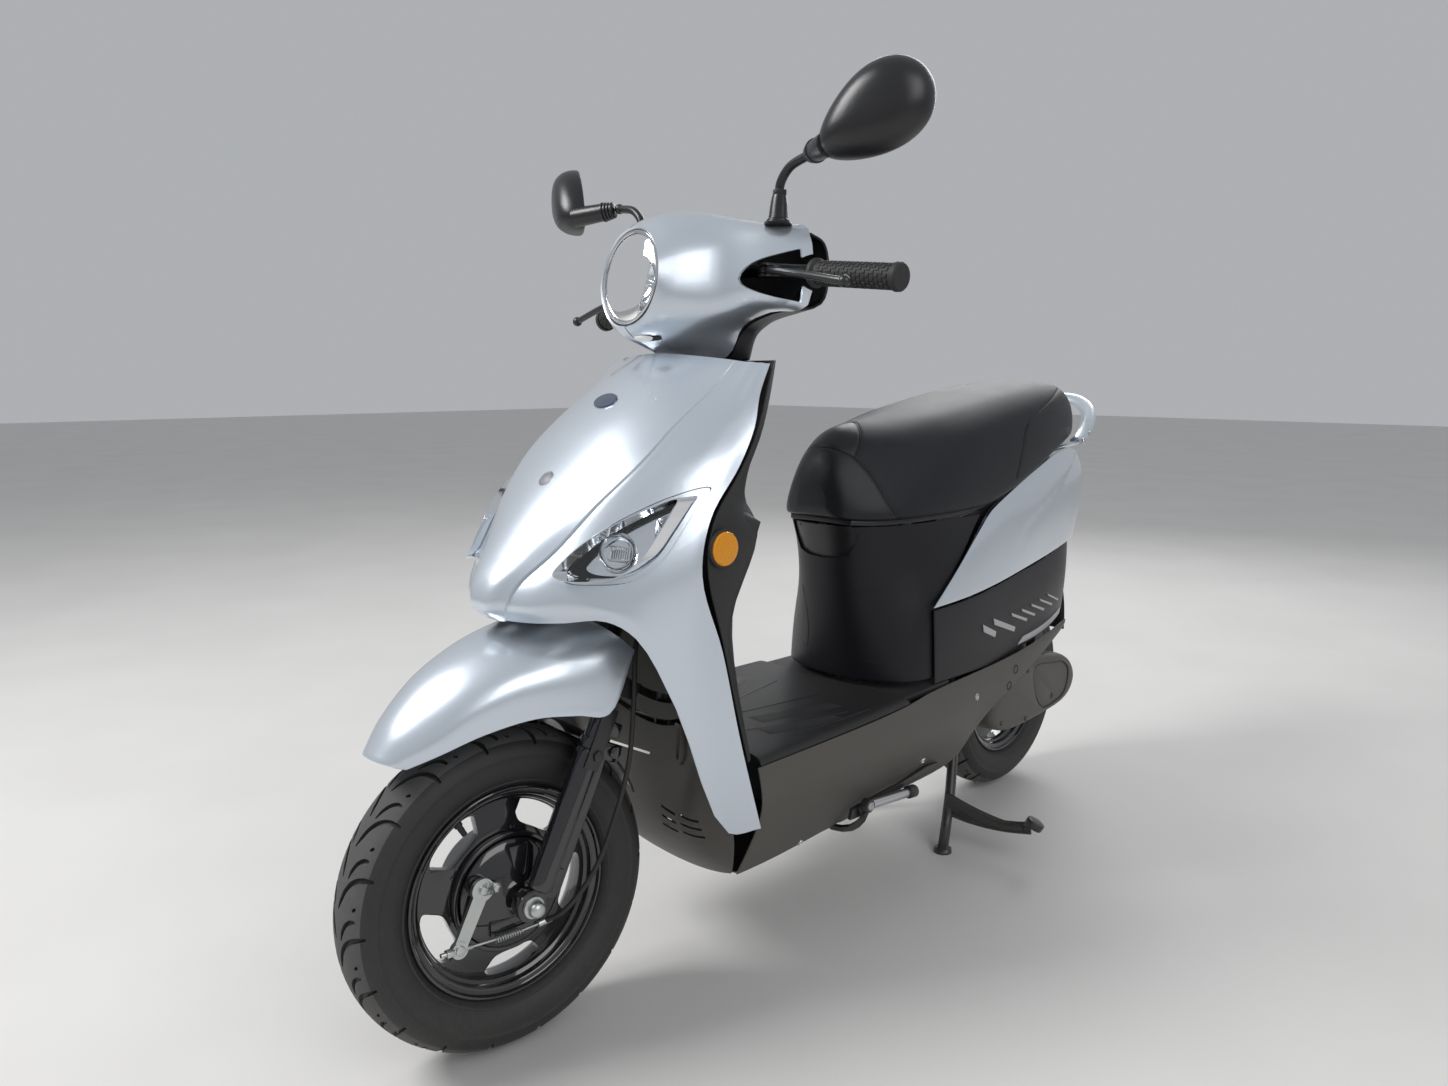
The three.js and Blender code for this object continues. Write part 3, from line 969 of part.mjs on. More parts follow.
// Seat: crowned cushion with drawn-in sides on its pan. It swings forward on its hinge.
const seatStations = [
  { y: 0.004, half: 0.03, low: 0.662, high: 0.708 },
  { y: 0.01, half: 0.05, low: 0.648, high: 0.733 },
  { y: 0.028, half: 0.076, low: 0.642, high: 0.766 },
  { y: 0.06, half: 0.101, low: 0.64, high: 0.789 },
  { y: 0.1, half: 0.12, low: 0.64, high: 0.797 },
  { y: 0.16, half: 0.132, low: 0.64, high: 0.805 },
  { y: 0.25, half: 0.139, low: 0.64, high: 0.819 },
  { y: 0.36, half: 0.139, low: 0.645, high: 0.836 },
  { y: 0.47, half: 0.136, low: 0.673, high: 0.853 },
  { y: 0.57, half: 0.127, low: 0.706, high: 0.865 },
  { y: 0.65, half: 0.115, low: 0.732, high: 0.87 },
  { y: 0.72, half: 0.1, low: 0.748, high: 0.866 },
  { y: 0.77, half: 0.08, low: 0.758, high: 0.853 },
  { y: 0.798, half: 0.055, low: 0.768, high: 0.832 },
  { y: 0.806, half: 0.03, low: 0.785, high: 0.815 },
];
const seatRing = ({ y, half, low, high }) => {
  const tall = high - low;
  const side = [
    [0, high], [0.35 * half, high - 0.02 * tall], [0.68 * half, high - 0.1 * tall],
    [0.9 * half, high - 0.3 * tall], [half, high - 0.6 * tall], [0.985 * half, low + 0.14 * tall],
    [0.94 * half, low], [0.45 * half, low],
  ];
  const right = side.slice(1).reverse().map(([x, z]) => [-x, z]);
  return [...side, [0, low], ...right].map(([x, z]) => place([x, y, z]));
};
add(scooter, 'seat_cushion', loft(seatStations.map(seatRing)), vinyl);
const pan = { drop: 0.009, inset: 0.86 };
const panStations = seatStations.slice(2, -2);
const panRing = ({ y, half, low }) => {
  const top = low - gap / upScale;
  const x = half * pan.inset;
  return [[-x, top], [0, top], [x, top], [x, top - pan.drop], [0, top - pan.drop],
    [-x, top - pan.drop]].map(([px, z]) => place([px, y, z]));
};
add(scooter, 'seat_pan', loft(panStations.map(panRing)), blackPlastic);

// Tube frame, with head tube, stand and drive pivots and the pegs' brackets.
const frame = { spine: 16, rail: 13, brace: 11, headRadius: 24, headFrom: 545, headTo: 770 };
const headBore = fork.stemRadius + gap;
const leftRail = places([
  [0, -0.3, 0.26], [0.05, -0.292, 0.24], [0.075, -0.25, 0.225], [0.075, 0.2, 0.225],
  [0.08, 0.3, 0.27], [0.082, 0.35, 0.42], [0.078, 0.42, 0.56], [0.076, 0.6, 0.62],
  [0.07, 0.76, 0.64],
]);
const spine = places([[0, -0.352, 0.63], [0, -0.305, 0.54], [0, -0.31, 0.48], [0, -0.326, 0.4],
  [0, -0.332, 0.34], [0, -0.318, 0.285], [0, -0.292, 0.25]]);
const standPivot = place([0, 0.352, 0.186]);
const drivePivot = place([0, 0.34, 0.236]);
const pivot = { radius: 8, plateX: 64, plateThick: 6, reach: 71 };
const railTube = bent(leftRail, frame.rail, { sides: 6, steps: 16 });
const crossBar = (shares, radius = frame.brace) => {
  const p = place(shares);
  return rod(flipX(p), p, radius, 8);
};
const pegPivot = place([0.166, -0.042, 0.196]);
const pegArm = (side) => bent([
  place([0.077, -0.05, 0.222]), place([0.08, -0.05, 0.165]), place([0.088, -0.046, 0.14]),
  place([0.122, -0.036, 0.14]), place([0.154, -0.04, 0.166]), pegPivot.clone().add(V(-2, 0, -10)),
].map((p) => (side > 0 ? p : flipX(p))), 6, { sides: 6, steps: 10 });
const earPlate = (x) => sidePlate([
  place([0, 0.27, 0.24]), place([0, 0.33, 0.165]), place([0, 0.375, 0.165]),
  place([0, 0.375, 0.26]), place([0, 0.34, 0.4]), place([0, 0.315, 0.4]),
], x - pivot.plateThick / 2, x + pivot.plateThick / 2);
// Stays that carry the panels.
const stayRadius = 5;
const bothSides = (geometry) => [geometry, mirrored(geometry)];
const tailLampFront = { point: place([0, 0.8, 0.638]), inward: yAxis.clone().negate() };
const shockTop = { point: place([0.079, 0.655, 0.587]), inward: zAxis };
const stays = [
  stay(onFork(0, 740, -frame.headRadius * 0.7), insideOf(shieldRows, 0.5, 0.4, -1), panelWall, stayRadius),
  stay(onFork(0, 740, frame.headRadius * 0.7), insideOf(apronRows, 0.5, 0.38, 1), panelWall, stayRadius),
  ...bothSides(stay(place([0.075, -0.25, 0.225]), { point: place([0.075, -0.25, 0.352]), inward: zAxis.clone().negate() },
    panelWall, stayRadius)),
  stay(place([0, 0.1, 0.225]), insideOf(bellyRows, 0.5, 0.75, 1), panelWall, stayRadius),
  stay(place([0, 0.332, 0.38]), insideOf(baseRows, 0.5, 0.75, 1), panelWall, stayRadius),
  ...bothSides(stay(place([0.082, 0.35, 0.42]), insideOf(tailRows, 0.89, 0.5, -1), panelWall, stayRadius)),
  ...bothSides(stay(place([0.076, 0.6, 0.62]), insideOf(sideCoverRows, 0.34, 0.5, -1), panelWall, stayRadius)),
  stay(place([0, 0.75, 0.638]), tailLampFront, 0, stayRadius),
  stay(place([0.078, 0.655, 0.628]), shockTop, 0, stayRadius * 1.4),
];
const mainFrame = cut(
  join(
    pipe(onFork(0, frame.headFrom, 0), onFork(0, frame.headTo, 0), frame.headRadius, headBore, 18),
    bent(spine, frame.spine, { sides: 8, steps: 8 }),
    rod(onFork(0, 700, -frame.headRadius * 0.6), place([0, -0.348, 0.62]), frame.spine, 8),
    railTube, mirrored(railTube),
    crossBar([0.075, -0.16, 0.225]), crossBar([0.075, 0.1, 0.225]), crossBar([0.078, 0.42, 0.56]), crossBar([0.07, 0.75, 0.638]),
    crossBar([0.078, 0.332, 0.38], frame.rail),
    ...[-1, 1].map((side) => rod(place([0.072 * side, 0.69, 0.63]),
      place([0.06 * side, 0.699, 0.714]), frame.brace * 0.6, 6)),
    ...[-1, 1].map((side) => earPlate(side * pivot.plateX)),
    pegArm(1), pegArm(-1),
    ...stays,
  ),
  ...[standPivot, drivePivot].map((p) => rod(p.clone().add(V(-pivot.plateX * 2, 0, 0)),
    p.clone().add(V(pivot.plateX * 2, 0, 0)), pivot.radius + gap, 12)),
  rod(onFork(0, frame.headFrom - overrun, 0), onFork(0, frame.headTo + overrun, 0), headBore, 18),
);
add(scooter, 'main_frame', mainFrame, blackSteel);

// Battery pack under the floorboard.
const battery = { width: 250, length: 400, height: 100 };
const batteryAt = place([0, -0.02, 0.225]).add(V(0, 0, frame.rail * 0.9 + gap + battery.height / 2));
add(scooter, 'battery_pack', slab(batteryAt, battery.width, battery.length, battery.height),
  batteryCase);

// Drive unit on the left of the rear wheel: case with its pivot sleeve, and outer cover.
const drive = {
  armFrom: 30,
  caseFrom: 64, caseTo: 100, coverTo: 138, coverBevel: 10, pivotHalf: 58, sleeve: 17, boss: 26,
};
const driveOutline = places([
  [0, 0.39, 0.215], [0, 0.4, 0.262], [0, 0.44, 0.296], [0, 0.5, 0.316], [0, 0.6, 0.314],
  [0, 0.68, 0.3], [0, 0.718, 0.276], [0, 0.732, 0.246], [0, 0.722, 0.22], [0, 0.688, 0.2],
  [0, 0.6, 0.186], [0, 0.5, 0.184], [0, 0.43, 0.192],
]);
const armOutline = places([[0, 0.322, 0.224], [0, 0.326, 0.25], [0, 0.402, 0.27], [0, 0.402, 0.205]]);
const kneeOutline = places([[0, 0.384, 0.21], [0, 0.384, 0.262], [0, 0.402, 0.266], [0, 0.402, 0.207]]);
const shockFoot = place([0.079, 0.655, 0.352]);
const shockHead = place([0.079, 0.655, 0.575]);
const driveCase = join(
  sidePlate(driveOutline, drive.caseFrom, drive.caseTo),
  sidePlate(armOutline, drive.armFrom, drive.pivotHalf),
  sidePlate(kneeOutline, drive.armFrom, drive.caseFrom + drive.boss),
  rod(drivePivot.clone().add(V(-drive.pivotHalf, 0, 0)),
    drivePivot.clone().add(V(drive.pivotHalf, 0, 0)), drive.sleeve, 16),
  rod(V(rim.hubHalf + rim.hubWall, rearAxle.y, rearAxle.z),
    V(drive.caseFrom + overrun, rearAxle.y, rearAxle.z), drive.boss, 16),
  rod(V(-rim.hubHalf, rearAxle.y, rearAxle.z),
    V(drive.caseFrom, rearAxle.y, rearAxle.z), rim.boreRadius - gap * 2, 12),
  rod(drivePivot.clone().setX(-pivot.reach), drivePivot.clone().setX(pivot.reach), pivot.radius, 12),
  sidePlate(places([[0, 0.628, 0.29], [0, 0.682, 0.28], [0, 0.668, 0.3476], [0, 0.642, 0.3476]]),
    shockFoot.x - 9, shockFoot.x + 9),
);
add(scooter, 'drive_case', driveCase, castAlloy);
add(scooter, 'drive_cover', sidePlate(driveOutline, drive.caseTo + gap, drive.coverTo,
  drive.coverBevel), greyPlastic);

// Rear shock absorber: body at the top, rod at the bottom, and its spring.
const shock = {
  bodyRadius: 17, rodRadius: 6, eye: 12, springRadius: 21, wire: 3.4, turns: 7, seat: 25.5,
  seatThick: 4, foot: 8.4, footUp: 4.4,
};
const shockAt = (height) => shockFoot.clone().add(V(0, 0, height));
const shockTall = shockHead.z - shockFoot.z;
const springLow = shock.eye + shock.seatThick + gap;
const springHigh = shockTall - shock.eye * 2;
const eye = (p) => rod(p.clone().add(V(-shock.eye * 0.8, 0, 0)),
  p.clone().add(V(shock.eye * 0.8, 0, 0)), shock.eye, 14);
add(scooter, 'shock_body', cut(join(
  rod(shockAt(shockTall * 0.45), shockAt(shockTall - shock.eye * 0.5), shock.bodyRadius * 0.75, 14),
  rod(shockAt(springHigh + gap), shockAt(springHigh + shock.seatThick + gap), shock.seat, 16),
  eye(shockAt(shockTall)),
), rod(shockAt(shockTall * 0.4), shockAt(shockTall * 0.86), shock.rodRadius + gap, 12)), blackSteel);
add(scooter, 'shock_rod', join(
  rod(shockAt(shock.eye * 0.5), shockAt(shockTall * 0.58), shock.rodRadius, 12),
  rod(shockAt(springLow - gap - shock.seatThick), shockAt(springLow - gap), shock.seat, 16),
  ball(shockAt(shock.footUp), shock.foot, 8),
), steel);
const coilPoints = Array.from({ length: shock.turns * 8 + 1 }, (_, i) => {
  const angle = (i / 8) * Math.PI * 2;
  const reach = springHigh - springLow - shock.wire * 2;
  return shockAt(springLow + shock.wire + reach * i / (shock.turns * 8))
    .add(V(Math.cos(angle) * shock.springRadius, Math.sin(angle) * shock.springRadius, 0));
});
add(scooter, 'shock_spring', bent(coilPoints, shock.wire,
  { sides: 5, steps: shock.turns * 8 }), silverPaint);

// Centre stand, down: two legs with feet, a cross tube and the tang for the rider's foot.
const stand = { tube: 10, foot: 17, footTall: 7, lobe: 14, axle: 7.9 };
const standFoot = place([0.123, 0.255, 0.004]);
const standLeg = (p) => [
  bent([standPivot.clone().setX(p.x > 0 ? 78 : -78),
    place([0.1, 0.31, 0.09]).setX(p.x > 0 ? 100 : -100), p.clone().add(V(0, 0, 2))],
  stand.tube, { sides: 7, steps: 4 }),
  rod(V(p.x, p.y, 0), V(p.x, p.y, stand.footTall), stand.foot, 10),
];
const tang = bent(places([[0.104, 0.3, 0.082], [0.15, 0.306, 0.066], [0.21, 0.318, 0.06],
  [0.262, 0.328, 0.07]]), 9, { sides: 7, steps: 6 });
const centreStand = join(
  ...standLeg(standFoot), ...standLeg(flipX(standFoot)),
  rod(standPivot.clone().setX(-80), standPivot.clone().setX(80), stand.axle, 12),
  rod(place([-0.088, 0.336, 0.148]), place([0.088, 0.336, 0.148]), stand.tube * 0.8, 8),
  tang, rod(place([0.262, 0.328, 0.06]), place([0.272, 0.33, 0.094]), 15, 12),
);
add(scooter, 'centre_stand', centreStand, blackSteel);

// Passenger pegs, folded back along the skirts.
const peg = { radius: 8, length: 132, tip: 11, eye: 11, eyeTall: 14 };
const pegEnd = pegPivot.clone().add(V(0, peg.length, -14));
addPair(scooter, 'footpeg', join(
  rod(pegPivot.clone().add(V(0, 0, -peg.eyeTall / 2)),
    pegPivot.clone().add(V(0, 0, peg.eyeTall / 2)), peg.eye, 12),
  rod(pegPivot, pegEnd, peg.radius, 12),
  rod(middle(pegPivot, pegEnd, 0.85), pegEnd.clone().add(V(0, 6, 0)), peg.tip, 12),
), steel);

export default scooter;
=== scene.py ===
# %% [markdown]
# # A seated electric scooter, dressed for its portrait
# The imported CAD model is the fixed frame. It gives the place, size and movement of
# every part, and this lesson gives the surfaces: lacquered panels, grained plastic,
# a stitched seat, treaded tyres and clear lamps. All lengths are in metres.

# %% Load the frame
import math

import bpy
import mathutils
from mathutils import Matrix, Vector


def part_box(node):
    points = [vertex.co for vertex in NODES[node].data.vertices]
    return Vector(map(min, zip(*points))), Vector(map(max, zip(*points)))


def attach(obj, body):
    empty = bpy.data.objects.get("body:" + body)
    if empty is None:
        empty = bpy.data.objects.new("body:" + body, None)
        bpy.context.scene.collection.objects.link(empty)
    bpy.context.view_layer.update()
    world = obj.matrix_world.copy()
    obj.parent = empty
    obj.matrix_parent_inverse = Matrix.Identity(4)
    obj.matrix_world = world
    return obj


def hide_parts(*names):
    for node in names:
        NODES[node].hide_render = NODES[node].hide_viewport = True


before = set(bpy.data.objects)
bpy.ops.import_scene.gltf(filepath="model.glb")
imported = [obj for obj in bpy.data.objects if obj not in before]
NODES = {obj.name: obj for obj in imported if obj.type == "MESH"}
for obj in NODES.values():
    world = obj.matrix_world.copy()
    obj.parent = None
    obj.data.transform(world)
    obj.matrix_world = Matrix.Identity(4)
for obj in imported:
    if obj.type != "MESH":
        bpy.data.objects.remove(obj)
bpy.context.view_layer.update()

# %% [markdown]
# The camera stands where the photograph was taken from: a little to the left of the
# front, at the height of the handlebar's foot, looking slightly down. The lens comes
# from the two wheels, which are circles of a known size.

# %% Camera
CAMERA_AT = Vector((1.11122, -1.33054, 0.88277))
CAMERA_RIGHT = Vector((0.711695, 0.702485, 0.002326))
CAMERA_UP = Vector((-0.115512, 0.113760, 0.986770))
LENS = 25.82

camera_data = bpy.data.cameras.new("portrait_camera")
camera_data.lens = LENS
camera_data.sensor_width = 36
camera_data.clip_start = 0.02
camera = bpy.data.objects.new("portrait_camera", camera_data)
bpy.context.scene.collection.objects.link(camera)
camera_back = CAMERA_RIGHT.cross(CAMERA_UP).normalized()
camera.matrix_world = Matrix.Translation(CAMERA_AT) @ Matrix(
    (CAMERA_RIGHT, CAMERA_UP, camera_back)).transposed().to_4x4()
bpy.context.scene.camera = camera
print("camera at", tuple(round(v, 3) for v in CAMERA_AT))

# %% [markdown]
# A few helpers keep the steps short. `only` selects one object, `change` adds one
# modifier and applies it, and `settle` writes an object's place into its mesh, so
# that every finished piece sits at the origin.

# %% Helpers for objects
def only(obj):
    if bpy.context.object and bpy.context.object.mode != "OBJECT":
        bpy.ops.object.mode_set(mode="OBJECT")
    bpy.ops.object.select_all(action="DESELECT")
    obj.select_set(True)
    bpy.context.view_layer.objects.active = obj
    return obj


def settle(obj):
    only(obj)
    bpy.ops.object.transform_apply(location=True, rotation=True, scale=True)
    return obj


def change(obj, kind, **values):
    only(obj)
    modifier = obj.modifiers.new(kind.lower(), kind)
    for name, value in values.items():
        setattr(modifier, name, value)
    bpy.ops.object.modifier_apply(modifier=modifier.name)
    return obj


def edit(obj, *steps):
    """Run mesh operators on the whole of one object."""
    only(obj)
    bpy.ops.object.mode_set(mode="EDIT")
    bpy.ops.mesh.select_all(action="SELECT")
    for step, values in steps:
        step(**values)
    bpy.ops.object.mode_set(mode="OBJECT")
    return obj


def tidy(obj, near=1e-5):
    return edit(obj, (bpy.ops.mesh.remove_doubles, {"threshold": near}),
                (bpy.ops.mesh.normals_make_consistent, {"inside": False}))


def from_points(points, edges=(), faces=()):
    mesh = bpy.data.meshes.new("piece")
    mesh.from_pydata([tuple(p) for p in points], list(edges), list(faces))
    obj = bpy.data.objects.new("piece", mesh)
    bpy.context.scene.collection.objects.link(obj)
    return obj


def soften(obj, width=0.0008, angle=35, segments=2):
    """Round the sharp edges and shade the rest smooth."""
    if width:
        change(obj, "BEVEL", width=width, segments=segments, limit_method="ANGLE",
               angle_limit=math.radians(angle), harden_normals=False,
               use_clamp_overlap=True)
    only(obj)
    bpy.ops.object.shade_smooth_by_angle(angle=math.radians(angle))
    return obj


def fuse(obj, *others, operation="UNION"):
    """Join, cut or keep the common part of closed shapes."""
    for other in others:
        change(obj, "BOOLEAN", object=other, operation=operation, solver="EXACT")
        bpy.data.objects.remove(other)
    return obj


def gather(*objs):
    """Several closed shapes as one object."""
    only(objs[0])
    for other in objs[1:]:
        other.select_set(True)
    if len(objs) > 1:
        bpy.ops.object.join()
    return objs[0]


def copied(obj, matrix=None):
    twin = obj.copy()
    twin.data = obj.data.copy()
    bpy.context.scene.collection.objects.link(twin)
    if matrix is not None:
        twin.data.transform(matrix)
        if matrix.determinant() < 0:
            edit(twin, (bpy.ops.mesh.flip_normals, {}))
    return twin


FLIP = Matrix.Scale(-1, 4, (1, 0, 0))
SIDES = ("left", "right")


def sided(obj, name):
    """The piece itself for the left, or its mirror image for the right."""
    if name == "left":
        return obj
    twin = copied(obj, FLIP)
    bpy.data.objects.remove(obj)
    return twin


def cut_both(obj, tool):
    """Cut with a tool on the left and with its mirror image on the right."""
    return fuse(obj, copied(tool, FLIP), tool, operation="DIFFERENCE")


def write_back(obj, places):
    """Give the mesh's points their new places, all at once."""
    obj.data.vertices.foreach_set("co", [v for place in places for v in place])
    obj.data.update()


# %% [markdown]
# The handlebar, the fork and the front wheel are modelled straight ahead and then
# turned together about the steering axis, to the angle that they have at rest.

# %% The steering axis
WHEELBASE = 1.25
RAKE = math.radians(27)
TRAIL = 0.085
STEER_AT_REST = math.radians(-5.8)
STEER_FOOT = Vector((0, -WHEELBASE / 2 - TRAIL, 0))
STEER_UP = Vector((0, math.sin(RAKE), math.cos(RAKE)))
STEER_AHEAD = Vector((0, -math.cos(RAKE), math.sin(RAKE)))
STEER = (Matrix.Translation(STEER_FOOT) @ Matrix.Rotation(STEER_AT_REST, 4, STEER_UP)
         @ Matrix.Translation(-STEER_FOOT))
FRONT_AXLE = Vector((0, -WHEELBASE / 2, 0.214))
REAR_AXLE = Vector((0, WHEELBASE / 2, 0.220))
X_AXIS, Y_AXIS, Z_AXIS = Vector((1, 0, 0)), Vector((0, 1, 0)), Vector((0, 0, 1))


def on_fork(x, up, ahead):
    return STEER_FOOT + X_AXIS * x + STEER_UP * up + STEER_AHEAD * ahead


# %% Shapes that repeat
def mm(x, y, z):
    """A place or a step, written in thousandths of a metre."""
    return Vector((x, y, z)) / 1000


def turned(profile, centre, axis, steps=64):
    """Spin a profile of (radius, along) points, in thousandths, round an axis."""
    axis = axis.normalized()
    side = axis.orthogonal().normalized()
    points = [centre + (axis * along + side * radius) / 1000 for radius, along in profile]
    obj = from_points(points, [(i, i + 1) for i in range(len(points) - 1)])
    return edit(
        obj,
        (bpy.ops.mesh.spin, {"steps": steps, "angle": math.radians(360),
                             "center": tuple(centre), "axis": tuple(axis)}),
        (bpy.ops.mesh.remove_doubles, {"threshold": 1e-6}),
        (bpy.ops.mesh.normals_make_consistent, {"inside": False}))


def lathe(profile, centre, axis, steps=48, angle=30):
    """A turned piece, shaded smooth except at its sharp edges."""
    return soften(turned(profile, centre, axis, steps), 0.0, angle)


def lofted(rings):
    """A closed skin over rings of points, with a flat face at each end."""
    wide = len(rings[0])
    faces = [(wide * i + k, wide * i + (k + 1) % wide,
              wide * (i + 1) + (k + 1) % wide, wide * (i + 1) + k)
             for i in range(len(rings) - 1) for k in range(wide)]
    faces += [tuple(range(wide))[::-1], tuple(range(wide * (len(rings) - 1), wide * len(rings)))]
    return tidy(from_points([p for ring in rings for p in ring], (), faces), 1e-7)


def prism(outline, direction, length):
    """A closed outline drawn out along a direction."""
    return lofted([outline, [p + direction * length for p in outline]])


def ball(centre, radius, segments=28, rings=18):
    bpy.ops.mesh.primitive_uv_sphere_add(radius=radius, segments=segments, ring_count=rings,
                                         location=centre)
    obj = settle(bpy.context.object)
    only(obj)
    bpy.ops.object.shade_smooth()
    return obj


def rod(start, end, radius, sides=32, edge=0.0006):
    """A round bar with softened ends, added as a cylinder and put in place."""
    along = end - start
    bpy.ops.mesh.primitive_cylinder_add(vertices=sides, radius=radius, depth=along.length)
    obj = bpy.context.object
    obj.matrix_world = Matrix.Translation((start + end) / 2) @ along.to_track_quat(
        "Z", "Y").to_matrix().to_4x4()
    settle(obj)
    return soften(obj, edge, 40) if edge else obj


def block(centre, size, edge=0.001, turn=None):
    bpy.ops.mesh.primitive_cube_add(size=1)
    obj = bpy.context.object
    obj.matrix_world = Matrix.Translation(centre) @ (turn or Matrix()).to_4x4() @ Matrix.Diagonal(
        (*size, 1))
    settle(obj)
    return soften(obj, edge, 40) if edge else obj


def hose(points, radius, resolution=8, sides=4):
    """A smooth tube through points, drawn as a curve and turned into a mesh."""
    curve = bpy.data.curves.new("hose", "CURVE")
    curve.dimensions = "3D"
    curve.resolution_u = resolution
    curve.use_fill_caps = True
    curve.bevel_depth = radius
    curve.bevel_resolution = sides
    spline = curve.splines.new("NURBS")
    spline.points.add(len(points) - 1)
    for place, point in zip(spline.points, points):
        place.co = (*point, 1)
    spline.order_u = 4 if len(points) > 3 else len(points)
    spline.use_endpoint_u = True
    obj = bpy.data.objects.new("hose", curve)
    bpy.context.scene.collection.objects.link(obj)
    only(obj)
    bpy.ops.object.convert(target="MESH")
    obj = bpy.context.object
    edit(obj, (bpy.ops.mesh.remove_doubles, {"threshold": 1e-6}),
         (bpy.ops.mesh.normals_make_consistent, {"inside": False}))
    only(obj)
    bpy.ops.object.shade_smooth_by_angle(angle=math.radians(50))
    return obj


# %% [markdown]
# A body panel is a net: a few rows of points, with a smooth curve drawn
# along each row and then down each column. The tables are thousandths of a metre.

# %% Nets for the panels
def through(points, places):
    """Points on a smooth curve. Places count the given points, from nought."""
    if isinstance(places, int):
        places = [(len(points) - 1) * i / places for i in range(places + 1)]
    found = []
    for place in places:
        k = min(int(place), len(points) - 2)
        w = place - k
        p1, p2 = points[k], points[k + 1]
        p0 = points[k - 1] if k > 0 else p1 * 2 - p2
        p3 = points[k + 2] if k + 2 < len(points) else p2 * 2 - p1
        d0, d1, d2 = ((b - a).length ** 0.5 or 1.0 for a, b in ((p0, p1), (p1, p2), (p2, p3)))
        t1 = ((p1 - p0) / d0 - (p2 - p0) / (d0 + d1) + (p2 - p1) / d1) * d1
        t2 = ((p2 - p1) / d1 - (p3 - p1) / (d1 + d2) + (p3 - p2) / d2) * d1
        found.append(p1 + t1 * w + (p1 * -3 + p2 * 3 - t1 * 2 - t2) * w ** 2
                     + (p1 * 2 - p2 * 2 + t1 + t2) * w ** 3)
    return found


def net(rows, across, down):
    wide = [through(row, across) for row in rows]
    columns = [through([row[i] for row in wide], down) for i in range(len(wide[0]))]
    return [[column[j] for column in columns] for j in range(len(columns[0]))]


def millis(rows):
    return [[Vector(p) / 1000 for p in row] for row in rows]


def both_halves(rows):
    return [[Vector((-p.x, p.y, p.z)) for p in row[:0:-1]] + row for row in rows]


# %% [markdown]
# Every finish is worked out from patterns, not pictures. Two effects come back in many
# of them, so each is a node group with its own sockets: a fine moulded grain, and the
# marks of use, which dull a surface here and there and dust it near the ground.

# %% Node group helpers
def new_group(name, inputs, outputs):
    group = bpy.data.node_groups.new(name, "ShaderNodeTree")
    for title, kind, value in inputs:
        socket = group.interface.new_socket(title, in_out="INPUT", socket_type=kind)
        socket.default_value = value
    for title, kind in outputs:
        group.interface.new_socket(title, in_out="OUTPUT", socket_type=kind)
    return group, group.nodes.new("NodeGroupInput"), group.nodes.new("NodeGroupOutput")


def node(tree, kind, **values):
    made = tree.nodes.new("ShaderNode" + kind)
    for name, value in values.items():
        if hasattr(made, name):
            setattr(made, name, value)
        else:
            made.inputs[name.replace("_", " ")].default_value = value
    return made


def wire(tree, *pairs):
    for start, end in pairs:
        tree.links.new(start, end)


def maths(tree, operation, first, second, clamp=False):
    made = tree.nodes.new("ShaderNodeMath")
    made.operation, made.use_clamp = operation, clamp
    for socket, value in zip(made.inputs, (first, second)):
        if isinstance(value, (int, float)):
            socket.default_value = value
        else:
            tree.links.new(value, socket)
    return made.outputs[0]


# %% The grain of moulded plastic and vinyl
grain, start, end = new_group(
    "moulded_grain",
    [("Cells per metre", "NodeSocketFloat", 900.0), ("Depth", "NodeSocketFloat", 0.5)],
    [("Height", "NodeSocketFloat"), ("Pits", "NodeSocketFloat")])
place = node(grain, "TexCoord")
cells = node(grain, "TexVoronoi", feature="DISTANCE_TO_EDGE")
cloud = node(grain, "TexNoise", Detail=3.0, Roughness=0.6)
wire(grain, (place.outputs["Object"], cells.inputs["Vector"]),
     (place.outputs["Object"], cloud.inputs["Vector"]),
     (start.outputs["Cells per metre"], cells.inputs["Scale"]),
     (start.outputs["Cells per metre"], cloud.inputs["Scale"]))
pits = maths(grain, "MULTIPLY", cells.outputs["Distance"], 4.0, clamp=True)
mixed = maths(grain, "ADD", maths(grain, "MULTIPLY", pits, 0.6),
              maths(grain, "MULTIPLY", cloud.outputs["Fac"], 0.4))
wire(grain, (maths(grain, "MULTIPLY", mixed, start.outputs["Depth"]), end.inputs["Height"]),
     (pits, end.inputs["Pits"]))

# %% The marks of use
marks, start, end = new_group(
    "marks_of_use",
    [("Color", "NodeSocketColor", (0.5, 0.5, 0.5, 1)), ("Roughness", "NodeSocketFloat", 0.4),
     ("Uneven", "NodeSocketFloat", 0.08), ("Dust", "NodeSocketFloat", 0.3),
     ("Dust color", "NodeSocketColor", (0.33, 0.3, 0.26, 1))],
    [("Color", "NodeSocketColor"), ("Roughness", "NodeSocketFloat")])
place = node(marks, "TexCoord")
height = node(marks, "SeparateXYZ")
broad = node(marks, "TexNoise", Scale=9.0, Detail=5.0, Roughness=0.62)
fine = node(marks, "TexNoise", Scale=160.0, Detail=4.0, Roughness=0.7)
wire(marks, (place.outputs["Object"], height.inputs[0]),
     (place.outputs["Object"], broad.inputs["Vector"]),
     (place.outputs["Object"], fine.inputs["Vector"]))
low = maths(marks, "SUBTRACT", 1.0, maths(marks, "MULTIPLY", height.outputs["Z"], 2.2), clamp=True)
patch = maths(marks, "MULTIPLY", broad.outputs["Fac"], fine.outputs["Fac"])
dust = maths(marks, "MULTIPLY", maths(marks, "MULTIPLY", low, patch, clamp=True),
             start.outputs["Dust"], clamp=True)
tint = marks.nodes.new("ShaderNodeMix")
tint.data_type = "RGBA"
